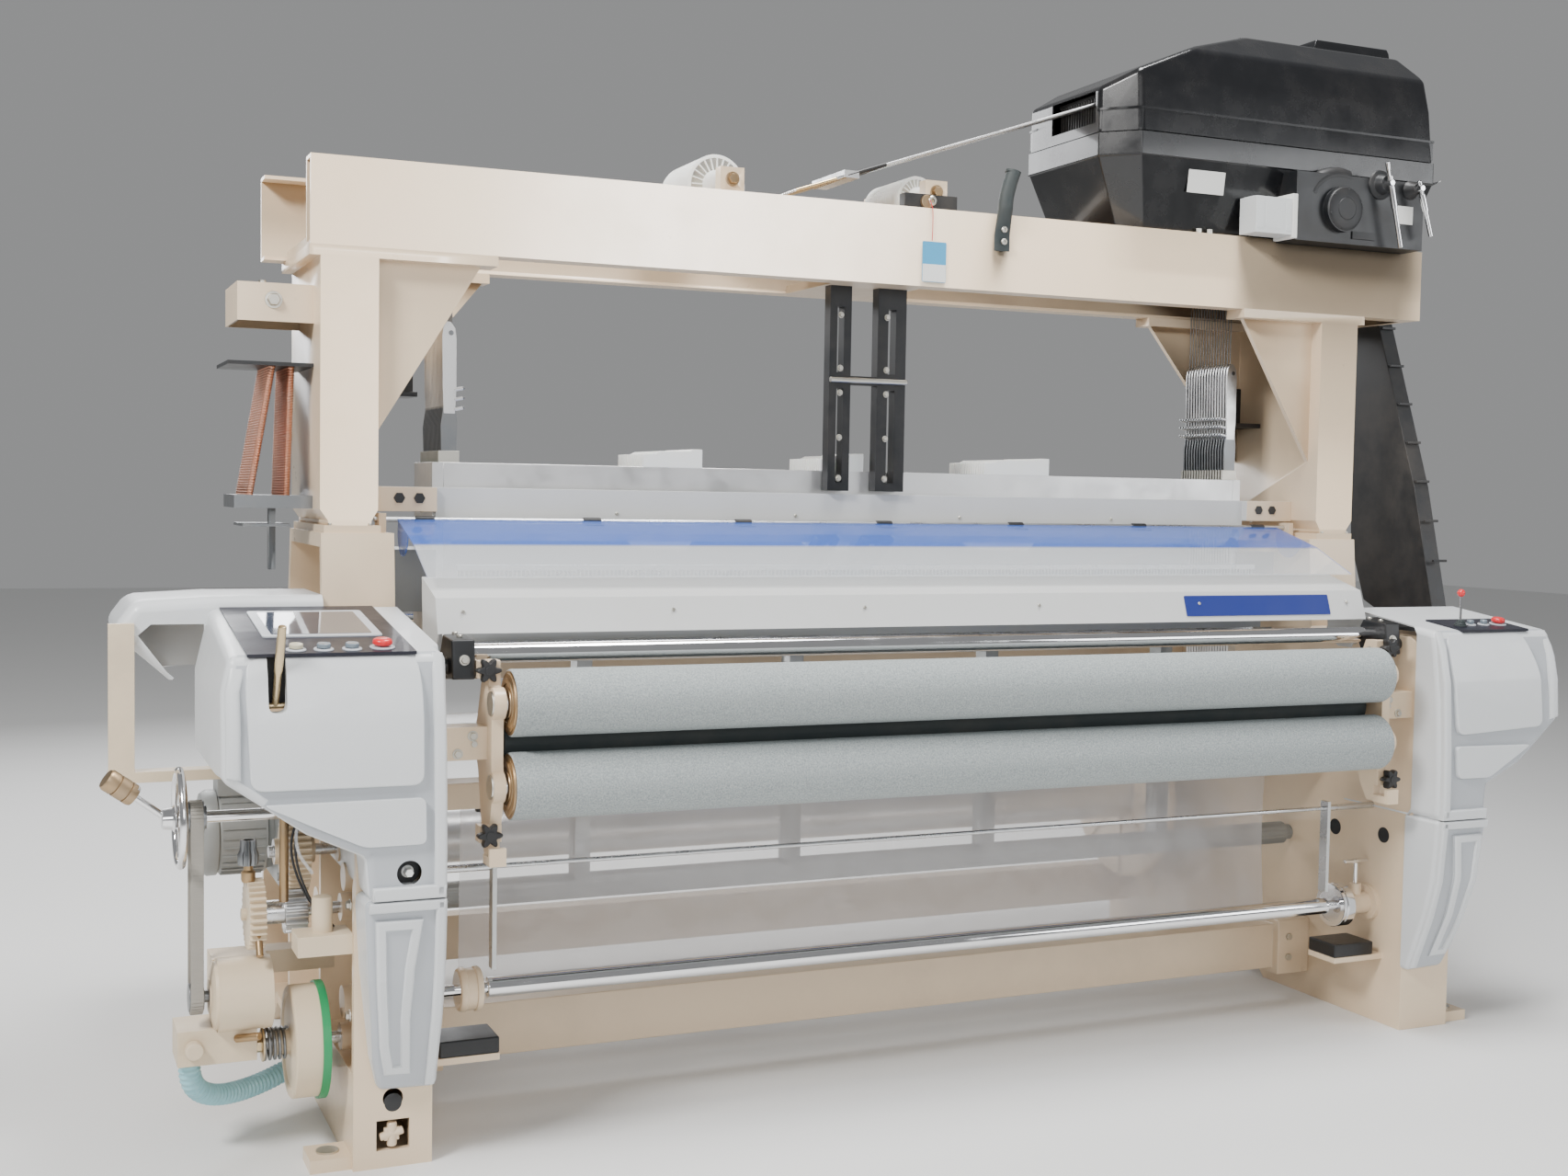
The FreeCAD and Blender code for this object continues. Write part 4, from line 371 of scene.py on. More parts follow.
def add_rod(mesh, start, end, radius, steps=24):
    """Round bar between two points with softened ends."""
    run = Vector(end) - Vector(start)
    edge = min(radius * 0.25, run.length * 0.2)
    add_turned(mesh, start, run, [(0, radius - edge), (edge * 0.3, radius - edge * 0.3), (edge, radius),
                                  (run.length - edge, radius), (run.length - edge * 0.3, radius - edge * 0.3),
                                  (run.length, radius - edge)], steps)


def add_block(mesh, low, high):
    """Axis-aligned block."""
    corners = [mesh.verts.new((x, y, z)) for z in (low[2], high[2]) for x, y in
               ((low[0], low[1]), (high[0], low[1]), (high[0], high[1]), (low[0], high[1]))]
    for quad in ((3, 2, 1, 0), (4, 5, 6, 7), (0, 1, 5, 4), (1, 2, 6, 5), (2, 3, 7, 6), (3, 0, 4, 7)):
        mesh.faces.new([corners[index] for index in quad])


def add_prism(mesh, points, offset):
    """Closed prism from an outline of points moved by an offset."""
    first = [mesh.verts.new(Vector(point)) for point in points]
    second = [mesh.verts.new(Vector(point) + Vector(offset)) for point in points]
    join_rings(mesh, [first, second])


def add_tube(mesh, points, radius, steps=10):
    """Tube along points, closed at both ends; the radius may be a function of the point's number."""
    points = [Vector(point) for point in points]
    rings = []
    side = None
    for index, point in enumerate(points):
        ahead = (points[min(index + 1, len(points) - 1)] - points[max(index - 1, 0)]).normalized()
        side = ahead.orthogonal() if side is None else side
        side = (side - ahead * side.dot(ahead)).normalized()
        other = ahead.cross(side)
        size = radius(index) if callable(radius) else radius
        rings.append([mesh.verts.new(point + (side * math.cos(angle) + other * math.sin(angle)) * size)
                      for angle in ring_angles(steps)])
    join_rings(mesh, rings)


def add_hexagon(mesh, start, direction, size, height):
    """Hexagon head with a chamfered face."""
    add_turned(mesh, start, direction, [(0, size), (height * 0.8, size), (height, size * 0.86)], 6)


def add_bolt(mesh, start, direction, size, height=None):
    """Hexagon head on a round washer."""
    direction = Vector(direction).normalized()
    add_turned(mesh, start, direction, [(0, size * 1.35), (size * 0.2, size * 1.3)], 20)
    add_hexagon(mesh, Vector(start) + direction * size * 0.2, direction, size, height or size * 0.75)


def add_screw(mesh, start, direction, size):
    """Round socket screw head."""
    add_turned(mesh, start, direction, [(0, size), (size * 0.55, size), (size * 0.75, size * 0.8),
                                        (size * 0.75, size * 0.45), (size * 0.35, size * 0.42)], 16)


def helix(start, end, radius, turns, per_turn):
    """Points of a coil between two points."""
    start = Vector(start)
    run = Vector(end) - start
    turn = axis_turn(run)
    count = turns * per_turn
    return [start + turn @ Vector((radius * math.cos(2 * math.pi * step / per_turn),
                                   radius * math.sin(2 * math.pi * step / per_turn), run.length * step / count))
            for step in range(count + 1)]


LINE_STEPS = 8                      # points of a smooth line between two given ones


def smooth_line(points):
    """Points on a smooth line through a few given ones."""
    points = [Vector(point) for point in points]
    padded = [points[0] * 2 - points[1]] + points + [points[-1] * 2 - points[-2]]
    line = []
    for a, b, c, d in zip(padded, padded[1:], padded[2:], padded[3:]):
        for step in range(LINE_STEPS):
            t = step / LINE_STEPS
            line.append(0.5 * ((2 * b) + (c - a) * t + (2 * a - 5 * b + 4 * c - d) * t * t
                               + (3 * b - a - 3 * c + d) * t ** 3))
    return line + [points[-1]]


def everything(mesh):
    """All geometry of a mesh."""
    return list(mesh.verts) + list(mesh.edges) + list(mesh.faces)


def keep_below(mesh, point, normal):
    """Cut a closed volume with a plane and close the cut."""
    bmesh.ops.bisect_plane(mesh, geom=everything(mesh), dist=1e-4, plane_co=Vector(point), plane_no=Vector(normal),
                           clear_outer=True)
    open_edges = [edge for edge in mesh.edges if len(edge.link_faces) == 1]
    if open_edges:
        bmesh.ops.holes_fill(mesh, edges=open_edges, sides=0)


def keep_profile(mesh, line, axis):
    """Cut a volume with the planes of a profile line; its inside lies to the right of the line's run."""
    for (a0, b0), (a1, b1) in zip(line, line[1:]):
        out = (-(b1 - b0), a1 - a0)
        if axis == "x":
            keep_below(mesh, (0, a0, b0), (0, *out))
        else:
            keep_below(mesh, (a0, 0, b0), (out[0], 0, out[1]))


def drop_faces(mesh, test):
    """Open a volume by taking away faces that a test picks by centre and normal."""
    doomed = [face for face in mesh.faces if test(face.calc_center_median(), face.normal)]
    bmesh.ops.delete(mesh, geom=doomed, context="FACES")


def round_off(mesh, width, segments, angle):
    """Round every edge sharper than an angle."""
    limit = math.radians(angle)
    edges = [edge for edge in mesh.edges if len(edge.link_faces) == 2 and edge.calc_face_angle(0) > limit]
    bmesh.ops.bevel(mesh, geom=edges, offset=width, offset_type="OFFSET", segments=segments, profile=0.5,
                    affect="EDGES", clamp_overlap=True, miter_outer="SHARP", miter_inner="SHARP", material=-1)


def moulded(mesh, width, segments, angle, wall):
    """Round an open skin and give it a wall towards its inside."""
    round_off(mesh, width, segments, angle)
    bmesh.ops.solidify(mesh, geom=list(mesh.faces), thickness=-wall)


def linked(name, data):
    """New object in the scene's collection."""
    thing = bpy.data.objects.new(name, data)
    bpy.context.scene.collection.objects.link(thing)
    return thing


def as_piece(name, mesh, material, body="frame", width=0.0, segments=2, angle=25, areas=(), replaces=(), slot=None,
             sharp=42, normals=True):
    """Turn a mesh into a piece of the loom that rides on a body."""
    if normals:
        bmesh.ops.recalc_face_normals(mesh, faces=mesh.faces)
    if areas:
        for face in mesh.faces:
            place = face.calc_center_median()
            for number, (_, test) in enumerate(areas):
                if test(place.x, place.y, place.z):
                    face.material_index = number + 1
                    break
    if width:
        round_off(mesh, width, segments, angle)
    bmesh.ops.scale(mesh, vec=(MM, MM, MM), verts=mesh.verts)
    data = bpy.data.meshes.new(name)
    mesh.to_mesh(data)
    mesh.free()
    for finish in [material] + [area[0] for area in areas]:
        data.materials.append(MATERIALS[finish])
    data.polygons.foreach_set("use_smooth", [True] * len(data.polygons))
    data.set_sharp_from_angle(angle=math.radians(sharp))
    piece = linked(name, data)
    shading = piece.modifiers.new("Shading", "WEIGHTED_NORMAL")
    shading.keep_sharp = True
    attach(piece, body)
    if replaces:
        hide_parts(*replaces)
    return piece


def body_of(node):
    """Name of the body that a frame node moves with."""
    return frame["nodes"][node]["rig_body"]


def stand_in(node, suffix, mesh, material, **options):
    """Piece that stands for one node and moves with its body."""
    return as_piece(node + suffix, mesh, material, body_of(node), replaces=(node,), **options)


def turned(name, material, body, start, direction, profile, steps, **options):
    """Piece made of one turned body."""
    mesh = bmesh.new()
    add_turned(mesh, start, direction, profile, steps)
    return as_piece(name, mesh, material, body, **options)


def blocks(name, material, body, corners, **options):
    """Piece made of axis-aligned blocks."""
    mesh = bmesh.new()
    for low, high in corners:
        add_block(mesh, low, high)
    return as_piece(name, mesh, material, body, **options)


def node_mesh(node):
    """A node's own surface in millimetres with its flat faces whole."""
    mesh = bmesh.new()
    mesh.from_mesh(frame["nodes"][node].data)
    for face in mesh.faces:
        face.material_index = 0
    bmesh.ops.remove_doubles(mesh, verts=mesh.verts, dist=1e-5)
    bmesh.ops.scale(mesh, vec=(1 / MM, 1 / MM, 1 / MM), verts=mesh.verts)
    bmesh.ops.dissolve_limit(mesh, angle_limit=math.radians(1), verts=mesh.verts, edges=mesh.edges)
    return mesh


def dressed(node, material, width=None, segments=2, angle=30, areas=(), slot=None):
    """A node's own shape with softened edges, standing for the node."""
    width = sizes().edge / MM if width is None else width
    return as_piece(node + "_finish", node_mesh(node), material, body_of(node), width, segments, angle, areas,
                    (node,), slot)


def mirrored(mesh, side):
    """Mirror a mesh drawn for the right side onto the left one."""
    if side < 0:
        bmesh.ops.scale(mesh, vec=(-1, 1, 1), verts=mesh.verts)
        bmesh.ops.reverse_faces(mesh, faces=mesh.faces)
    return mesh


# ------------------------------------------------------------------ pieces
FOOT_SHADE_DISCS = ((-390, 478, 21), (-571, 488, 20))      # y, z and radius of the black discs painted on the right frame as the shade inside its openings


def castings():
    """Side frames, posts, beams and cast brackets."""
    cast = sizes().cast_edge / MM
    dressed("left_side_frame", "enamel", cast, slot="beige_paint")
    right = node_mesh("right_side_frame")
    drop_faces(right, lambda c, n: 1280 < c.x < 1355 and -650.5 < c.y < -633.5 and 30 < c.z < 165 and abs(n.y) < 0.5)
    bmesh.ops.holes_fill(right, edges=[edge for edge in right.edges if len(edge.link_faces) == 1], sides=0)
    bmesh.ops.dissolve_limit(right, angle_limit=math.radians(1), verts=right.verts, edges=right.edges)
    as_piece("right_side_frame_finish", right, "enamel", "frame", cast, 2, 30, replaces=("right_side_frame",),
             slot="beige_paint")
    # thin black discs on the right frame: painted shade standing for the dark inside of its openings
    openings = bmesh.new()
    for y, z, radius in FOOT_SHADE_DISCS:
        add_turned(openings, (1240.5, y, z), (-1, 0, 0), [(0, radius), (1.2, radius)], 32)
    as_piece("frame_opening_shade", openings, "black_moulding", slot="beige_paint")
    for node, width, segments, slot in (
            ("left_arch_post", cast, 3, "beige_paint"), ("right_arch_post", cast, 3, "beige_paint"),
            ("cross_beams", 3, 2, "beige_paint"), ("top_beams", 4, 3, "beam_paint"),
            ("roller_brackets", 4, 3, "beige_paint"), ("cloth_bracket", 3, 2, "beige_paint")):
        dressed(node, "enamel", width, segments, slot=slot)
    dressed("back_rest_levers", "enamel", 3, slot="beige_paint",
            areas=[("steel", lambda x, y, z: math.hypot(y - 470, z - 880) < 19)])
    dressed("frame_bolts", "zinc", 0.8, areas=[("black_moulding", lambda x, y, z: 1300 < z < 1332 and y < -130)])


COVER_FRONT = [(-777, 558), (-776, 660), (-773, 750), (-764, 900), (-744, 985), (-727, 1020)]
COVER_GROUND = [(-761, 558), (-760, 660), (-757, 750), (-748, 900), (-732, 985), (-727, 1020)]
LOWER_OUTLINE = [(1240, 163), (1348, 167), (1363, 231), (1381, 401), (1391, 555), (1240, 555)]
LOWER_FRONT = [(-676, 150), (-736, 306), (-763, 404), (-777, 560)]
LOWER_GROUND = [(-664, 150), (-722, 306), (-748, 404), (-761, 560)]
BEFORE_COVERS = -800                # y in front of both covers
COVER_WALL = 4


def front_at(z):
    """Y of the covers' front face at a height."""
    line = LOWER_FRONT[:-1] + COVER_FRONT
    for (y0, z0), (y1, z1) in zip(line, line[1:]):
        if z0 <= z <= z1:
            return y0 + (y1 - y0) * (z - z0) / (z1 - z0)
    return line[-1][0]


def in_painted_shade_ground(x, y, z):
    """Whether a point lies in the covers' sunk ground, behind the front of the raised fields, where a darker grey is
    painted as shade.
    """
    return 4.2 < y - front_at(z) < 20 and 1266 < abs(x) < 1596


def front_prism(outline, y, depth):
    """Closed prism behind an (x, z) outline."""
    mesh = bmesh.new()
    add_prism(mesh, [(x, y, z) for x, z in outline], (0, depth, 0))
    bmesh.ops.recalc_face_normals(mesh, faces=mesh.faces)
    return mesh


def raised_field(mesh, outline, profile, width=8.0, sunk=0.0):
    """Raised field on a cover's front: an (x, z) outline cut to a profile, with an inner panel if it is sunk."""
    field = front_prism(outline, BEFORE_COVERS, max(y for y, _ in profile) + 4 - BEFORE_COVERS)
    keep_profile(field, profile, "x")
    bmesh.ops.recalc_face_normals(field, faces=field.faces)
    front = [face for face in field.faces if face.normal.y < -0.7]
    if sunk:
        bmesh.ops.inset_region(field, faces=front, thickness=17, depth=0, use_even_offset=True)
        bmesh.ops.inset_region(field, faces=front, thickness=3, depth=-sunk, use_even_offset=True)
    field.normal_update()
    rim = [edge for edge in field.edges if len(edge.link_faces) == 2
           and min(face.normal.y for face in edge.link_faces) < -0.7
           and max(face.normal.y for face in edge.link_faces) > -0.3]
    bmesh.ops.bevel(field, geom=rim, offset=width, offset_type="OFFSET", segments=4, profile=0.5, affect="EDGES",
                    clamp_overlap=True, material=-1)
    data = bpy.data.meshes.new("field")
    field.to_mesh(data)
    field.free()
    mesh.from_mesh(data)
    bpy.data.meshes.remove(data)


def softened_outline(points, radius, steps=5):
    """Round the corners of a flat outline."""
    result = []
    count = len(points)
    for index, corner in enumerate(points):
        before = Vector(points[index - 1])
        here = Vector(corner)
        after = Vector(points[(index + 1) % count])
        into = here - before
        out = after - here
        reach = min(radius, into.length * 0.45, out.length * 0.45)
        start = here - into.normalized() * reach
        end = here + out.normalized() * reach
        for step in range(steps + 1):
            t = step / steps
            result.append(tuple(start * (1 - t) ** 2 + here * 2 * t * (1 - t) + end * t * t))
    return result


def upper_cover(side):
    """Moulded shell over the end of the loom, its raised border and its raised fields."""
    if side < 0:
        word, rear, outer = "left", -280, 1650
        large = [(1285, 776), (1603, 778), (1611, 960), (1607, 1021), (1293, 1021), (1285, 960)]
        small = [(1282, 664), (1398, 664), (1475, 700), (1582, 752), (1283, 752)]
    else:
        word, rear, outer = "right", -420, 1628
        large = [(1285, 769), (1566, 783), (1560, 930), (1521, 1021), (1270, 1019), (1276, 900)]
        small = [(1286, 662), (1387, 661), (1524, 738), (1281, 742)]
    outline = [(1240, 560), (1384, 560), (1392, 644), (1500, 694), (outer, 799), (outer, 960), (outer - 32, 1100),
               (1240, 1100)]
    mesh = front_prism(outline, BEFORE_COVERS, rear - BEFORE_COVERS)
    keep_profile(mesh, COVER_GROUND + [(-279, 1079)], "x")
    bmesh.ops.bisect_plane(mesh, geom=everything(mesh), dist=1e-4, plane_co=(0, -668, 0), plane_no=(0, 1, 0))
    mesh.normal_update()
    drop_faces(mesh, lambda c, n: (n.y > 0.9) or (n.x < -0.9 and c.x < 1241 and c.y > -668) or
               (n.z < -0.4 and side < 0 and c.z < 790 and c.x > 1345 and c.y > -668))
    moulded(mesh, 16, 5, 18, COVER_WALL)
    rims = bmesh.new()
    raised_field(rims, [(1242, 559), (1265, 559), (1265, 1040), (1242, 1040)], COVER_FRONT, 7)
    raised_field(rims, [(1243, 559), (1382, 559), (1382, 584), (1243, 584)], COVER_FRONT, 4)
    raised_field(rims, [(outer - 3, 804), (outer - 3, 960), (outer - 20, 1045), (outer - 52, 1045),
                        (outer - 30, 960), (outer - 30, 798)], [(y + 3, z) for y, z in COVER_FRONT], 9)
    fields = bmesh.new()
    raised_field(fields, softened_outline(large, 24), COVER_FRONT)
    raised_field(rims, softened_outline(small, 14), COVER_FRONT)
    # the sunk ground gets a darker grey: painted shade in the recesses
    shell = as_piece(word + "_cover_shell", mirrored(mesh, side), "cover", areas=[("cover_painted_shade", in_painted_shade_ground)],
                     replaces=(word + "_upper_cover",), slot="cover_grey", sharp=50, normals=False)
    as_piece(word + "_cover_rims", mirrored(rims, side), "cover", slot="cover_grey", sharp=60)
    return shell, as_piece(word + "_cover_field", mirrored(fields, side), "cover", slot="cover_grey", sharp=60)


def lower_cover(side):
    """Narrow shell below the upper cover with its border and its sunk field."""
    mesh = front_prism(LOWER_OUTLINE, BEFORE_COVERS, 150)
    keep_profile(mesh, LOWER_GROUND, "x")
    mesh.normal_update()
    drop_faces(mesh, lambda c, n: n.y > 0.9)
    moulded(mesh, 9, 5, 25, COVER_WALL)
    raised_field(mesh, [(1242, 166), (1262, 166), (1262, 556), (1242, 556)], LOWER_FRONT, 6)
    raised_field(mesh, [(1243, 536), (1388, 536), (1388, 556), (1243, 556)], LOWER_FRONT, 4)
    raised_field(mesh, [(1292, 196), (1344, 198), (1358, 262), (1372, 400), (1376, 520), (1285, 519),
                        (1299, 421), (1302, 317)], LOWER_FRONT, 7, 5)
    # the sunk ground and sunk panel get a darker grey: painted shade in the recesses
    as_piece(("left" if side < 0 else "right") + "_lower_cover_shell", mirrored(mesh, side), "cover",
             areas=[("cover_painted_shade", in_painted_shade_ground)], replaces=("lower_covers",), slot="cover_grey", sharp=50,
             normals=False)


def cut_away(piece, cutter):
    """Take a closed mesh out of a piece for good."""
    data = bpy.data.meshes.new("cutter")
    bmesh.ops.recalc_face_normals(cutter, faces=cutter.faces)
    bmesh.ops.scale(cutter, vec=(MM, MM, MM), verts=cutter.verts)
    cutter.to_mesh(data)
    cutter.free()
    tool = linked("cutter", data)
    cut = piece.modifiers.new("Cut", "BOOLEAN")
    cut.operation = "DIFFERENCE"
    cut.solver = "EXACT"
    cut.object = tool
    piece.modifiers.move(piece.modifiers.find("Cut"), 0)
    piece.modifiers["Shading"].show_viewport = False
    bpy.context.view_layer.update()
    made = bpy.data.meshes.new_from_object(piece.evaluated_get(bpy.context.evaluated_depsgraph_get()))
    piece.modifiers.remove(cut)
    piece.modifiers["Shading"].show_viewport = True
    made.set_sharp_from_angle(angle=math.radians(42))
    piece.data = made
    bpy.data.objects.remove(tool)


def rear_hood():
    """Moulded hood behind the left upper cover with its window."""
    hood = front_prism([(1395, 940), (1700, 940), (1810, 1040), (1770, 1096), (1618, 1104), (1395, 1104)], -279, 279)
    drop_faces(hood, lambda c, n: n.x < -0.9 or n.z < -0.9)
    moulded(hood, 22, 5, 25, 5)
    piece = as_piece("left_rear_hood", mirrored(hood, -1), "cover", slot="cover_grey", sharp=50, normals=False)
    cut_away(piece, front_prism([(-1636, 929), (-1690, 929), (-1765, 1030), (-1740, 1052), (-1636, 1052)], -300, 30))


PORT = (-1312, 608)                 # x and z of the round opening beside the left cover's seam


def covers():
    """Grey moulded covers of both ends."""
    shell, field = upper_cover(-1)
    upper_cover(1)
    slot = softened_outline([(-1571, 920), (-1537, 920), (-1537, 1034), (-1571, 1034)], 17)
    for piece in (shell, field):
        cut_away(piece, front_prism(slot, BEFORE_COVERS, 110))
    port = bmesh.new()
    add_turned(port, (PORT[0], BEFORE_COVERS, PORT[1]), (0, 1, 0), [(0, 24), (110, 24)], 40)
    cut_away(shell, port)
    # black block behind the lever slot and black disc behind the port: painted shade inside the openings
    dark = bmesh.new()
    add_block(dark, (-1578, -694, 926), (-1530, -690, 1022))
    add_turned(dark, (PORT[0], -734, PORT[1]), (0, 1, 0), [(0, 26), (2, 26)], 40)
    as_piece("cover_opening_shade", dark, "black_moulding", slot="cover_grey")
    casting = bmesh.new()
    add_rod(casting, (-1342, -642, 60), (-1296, -642, 70), 8)
    add_rod(casting, (-1318, -640, 40), (-1318, -640, 88), 10)
    add_block(casting, (-1334, -646, 52), (-1304, -636, 78))
    as_piece("foot_casting", casting, "enamel", "frame", 2, 2, 30, slot="beige_paint")
    turned("foot_plug", "black_moulding", "frame", (-1317.5, -646, 128), (0, -1, 0),
           [(0, 19), (3, 19), (4.5, 16), (4.5, 2)], 36, slot="black_plastic")
    port_bolt = bmesh.new()
    add_bolt(port_bolt, (-1310, -735, 606), (0, -1, 0), 9, 20)
    as_piece("port_bolt", port_bolt, "white")
    for side in SIDES:
        lower_cover(side)
    rear_hood()
    caps = bmesh.new()
    for side in SIDES:
        for y, z in ((-676, 925), (-676, 600), (-664, 500), (-664, 240)):
            add_screw(caps, (side * 1240, y, z), (-side, 0, 0), 5)
    as_piece("cover_screws", caps, "zinc")


PANEL_SLOPE = 58 / 447
PANEL_FOOT = (-730, 1022)           # y and z where the slope starts
STOP_BUTTONS = (("stop_button_left", -1351, -690, 19, 24), ("stop_button_right", 1500, -670, 17, 21))
PUSH_BUTTONS = (
    ("left_push_buttons", (-1410, -1463, -1514), -700, 13, [(0, 19), (2.5, 18.5), (3.5, 16), (3.5, 12.5), (1, 12.2)]),
    ("right_push_buttons", (1405, 1450), -672, 9, [(0, 15), (2.5, 14.5), (3.5, 13), (3.5, 10.5), (1, 10.2)]))
JOYSTICK = (1365, -680)
BALL_RADIUS = 9.9


def on_panel(x, y, up):
    """Point over the switch panels' slope."""
    angle = math.atan(PANEL_SLOPE)
    return Vector((x, y - math.sin(angle) * up,
                   PANEL_FOOT[1] + PANEL_SLOPE * (y - PANEL_FOOT[0]) + math.cos(angle) * up))


PANEL_UP = on_panel(0, 0, 1) - on_panel(0, 0, 0)


def panel_plate(mesh, x0, x1, y0, y1, low, high, corner):
    """Rounded plate lying on the slope."""
    outline = softened_outline([(x0, y0), (x1, y0), (x1, y1), (x0, y1)], corner)
    join_rings(mesh, [[mesh.verts.new(on_panel(x, y, up)) for x, y in outline] for up in (low, high)])


def controls():
    """Switch panels with screen, buttons and levers."""
    dressed("control_panels", "navy", 2.0, 3, slot="panel_navy")
    bezel = bmesh.new()
    panel_plate(bezel, -1560, -1330, -590, -340, 5.5, 9, 10)
    for _, places, y, _, rim in PUSH_BUTTONS:
        for x in places:
            add_turned(bezel, on_panel(x, y, 5.8), PANEL_UP, rim, 28)
    as_piece("panel_bezels", bezel, "bezel", "frame", 0.8, 2, 30, slot="cover_grey")
    screen = bmesh.new()
    panel_plate(screen, -1542, -1348, -572, -358, 8.8, 9.6, 6)
    as_piece("panel_screen", screen, "screen", slot="panel_navy")
    collar = bmesh.new()
    for _, x, y, _, rim in STOP_BUTTONS:
        add_turned(collar, on_panel(x, y, 5.8), PANEL_UP, [(0, rim), (2, rim), (3, rim - 2), (3, 8), (1, 7)], 32)
    as_piece("stop_collars", collar, "bezel", slot="cover_grey")
    turned("joystick_boot", "dark_rubber", "frame", on_panel(*JOYSTICK, 5.9), PANEL_UP,
           [(0, 16), (3, 16), (4, 13), (6, 14), (8, 11), (10, 12), (12, 9), (14, 10), (16, 7.5)], 28,
           slot="dark_rubber")
    for node, x, y, radius, _ in STOP_BUTTONS:
        turned(node + "_cap", "stop", body_of(node), on_panel(x, y, -6), PANEL_UP,
               [(0, 5), (16, 5), (16, radius - 7), (17, radius - 3), (20, radius), (25, radius), (28, radius - 2),
                (30, radius - 6), (30.6, radius - 10), (31, 2)], 36, replaces=(node,), slot="red_plastic")
    for node, places, y, radius, _ in PUSH_BUTTONS:
        caps = bmesh.new()
        for x in places:
            add_turned(caps, on_panel(x, y, -6), PANEL_UP,
                       [(0, 4.9), (16, 4.9), (16, radius - 1), (17, radius), (23, radius), (24.5, radius - 1.4),
                        (24, radius - 3), (23.6, 1)], 28)
        stand_in(node, "_caps", caps, "button", areas=[("ivory", lambda cx, cy, cz: cx < -1490)], slot="button_dark")
    stick = bmesh.new()
    add_rod(stick, (*JOYSTICK, 1037), (*JOYSTICK, 1110), 3.4, 18)
    ball = [(1107.6 + BALL_RADIUS - BALL_RADIUS * math.cos(math.pi * step / 14),
             max(BALL_RADIUS * math.sin(math.pi * step / 14), 0.3)) for step in range(15)]
    add_turned(stick, (*JOYSTICK, 0), (0, 0, 1), ball, 28)
    stand_in("joystick", "_stick", stick, "chrome", slot="red_plastic", areas=[("stop", lambda x, y, z: z > 1107.2)])
    lever = bmesh.new()
    foot, head = Vector((-1554, -714, 930)), Vector((-1548, -766, 1083))
    run = (head - foot).length
    add_turned(lever, foot, head - foot, [(0, 6), (8, 6.2), (30, 6.6), (run - 96, 7), (run - 92, 8), (run - 60, 8.2),
                                          (run - 4, 8), (run - 1, 7), (run, 5)], 28)
    add_rod(lever, (-1580, -714, 930), (-1528, -714, 930), 5.9)
    stand_in("start_lever", "_handle", lever, "brass", slot="brass")


def breast():
    """Breast bar, hood, end blocks, plate and heald shield."""
    dressed("breast_bar", "chrome", 1.0, slot="chrome")
    dressed("end_blocks", "black_paint", 4, 3, slot="black_paint")
    dressed("front_hood", "hood", 1.2, slot="hood_grey")
    dressed("heald_shield", "hood", 1.0, slot="aluminium", areas=[("enamel", lambda x, y, z: abs(x) > 1121)])
    plate = bmesh.new()
    rise = Vector((25, 73)).normalized()
    outline = softened_outline([(648, 14), (1092, 14), (1092, 66), (648, 66)], 3, 3)
    join_rings(plate, [[plate.verts.new((x, -519 + rise.x * s - rise.y * proud, 1042 + rise.y * s + rise.x * proud))
                        for x, s in outline] for proud in (0.2, 2.2)])
    as_piece("blue_plate", plate, "plate", slot="hood_grey")
    screws = bmesh.new()
    for x in range(-1150, 1151, 460):
        add_screw(screws, (x, -505, 1086), (0, -0.946, 0.324), 4)
        add_screw(screws, (x, -112.4, 1286), (0, -1, 0), 4)
    for side in SIDES:
        add_bolt(screws, (side * 1180, -644, 1000), (0, -1, 0.1), 8)
        add_screw(screws, (side * 1180, -560, 1046), (0, 0, 1), 6)
        add_screw(screws, (side * 1180, -600, 1043), (0, 0, 1), 6)
    as_piece("breast_screws", screws, "zinc")
    blocks("hood_return", "hood", "frame", [((-1200, -366, 1146), (1200, -352, 1149)),
                                            ((-1200, -353, 1110), (1200, -350, 1149))], width=0.8, slot="hood_grey")


HINGE = (-139, 1268)                # y and z of the splash cover's hinge line
FILM_WIDTH, FILM_DROP, FILM_TOP, FILM_Y = 2194, 387, 640, -272
FILM_COLUMNS, FILM_ROWS = 120, 26
HELD_ROWS = 6                       # rows near the rail that the folds grow over


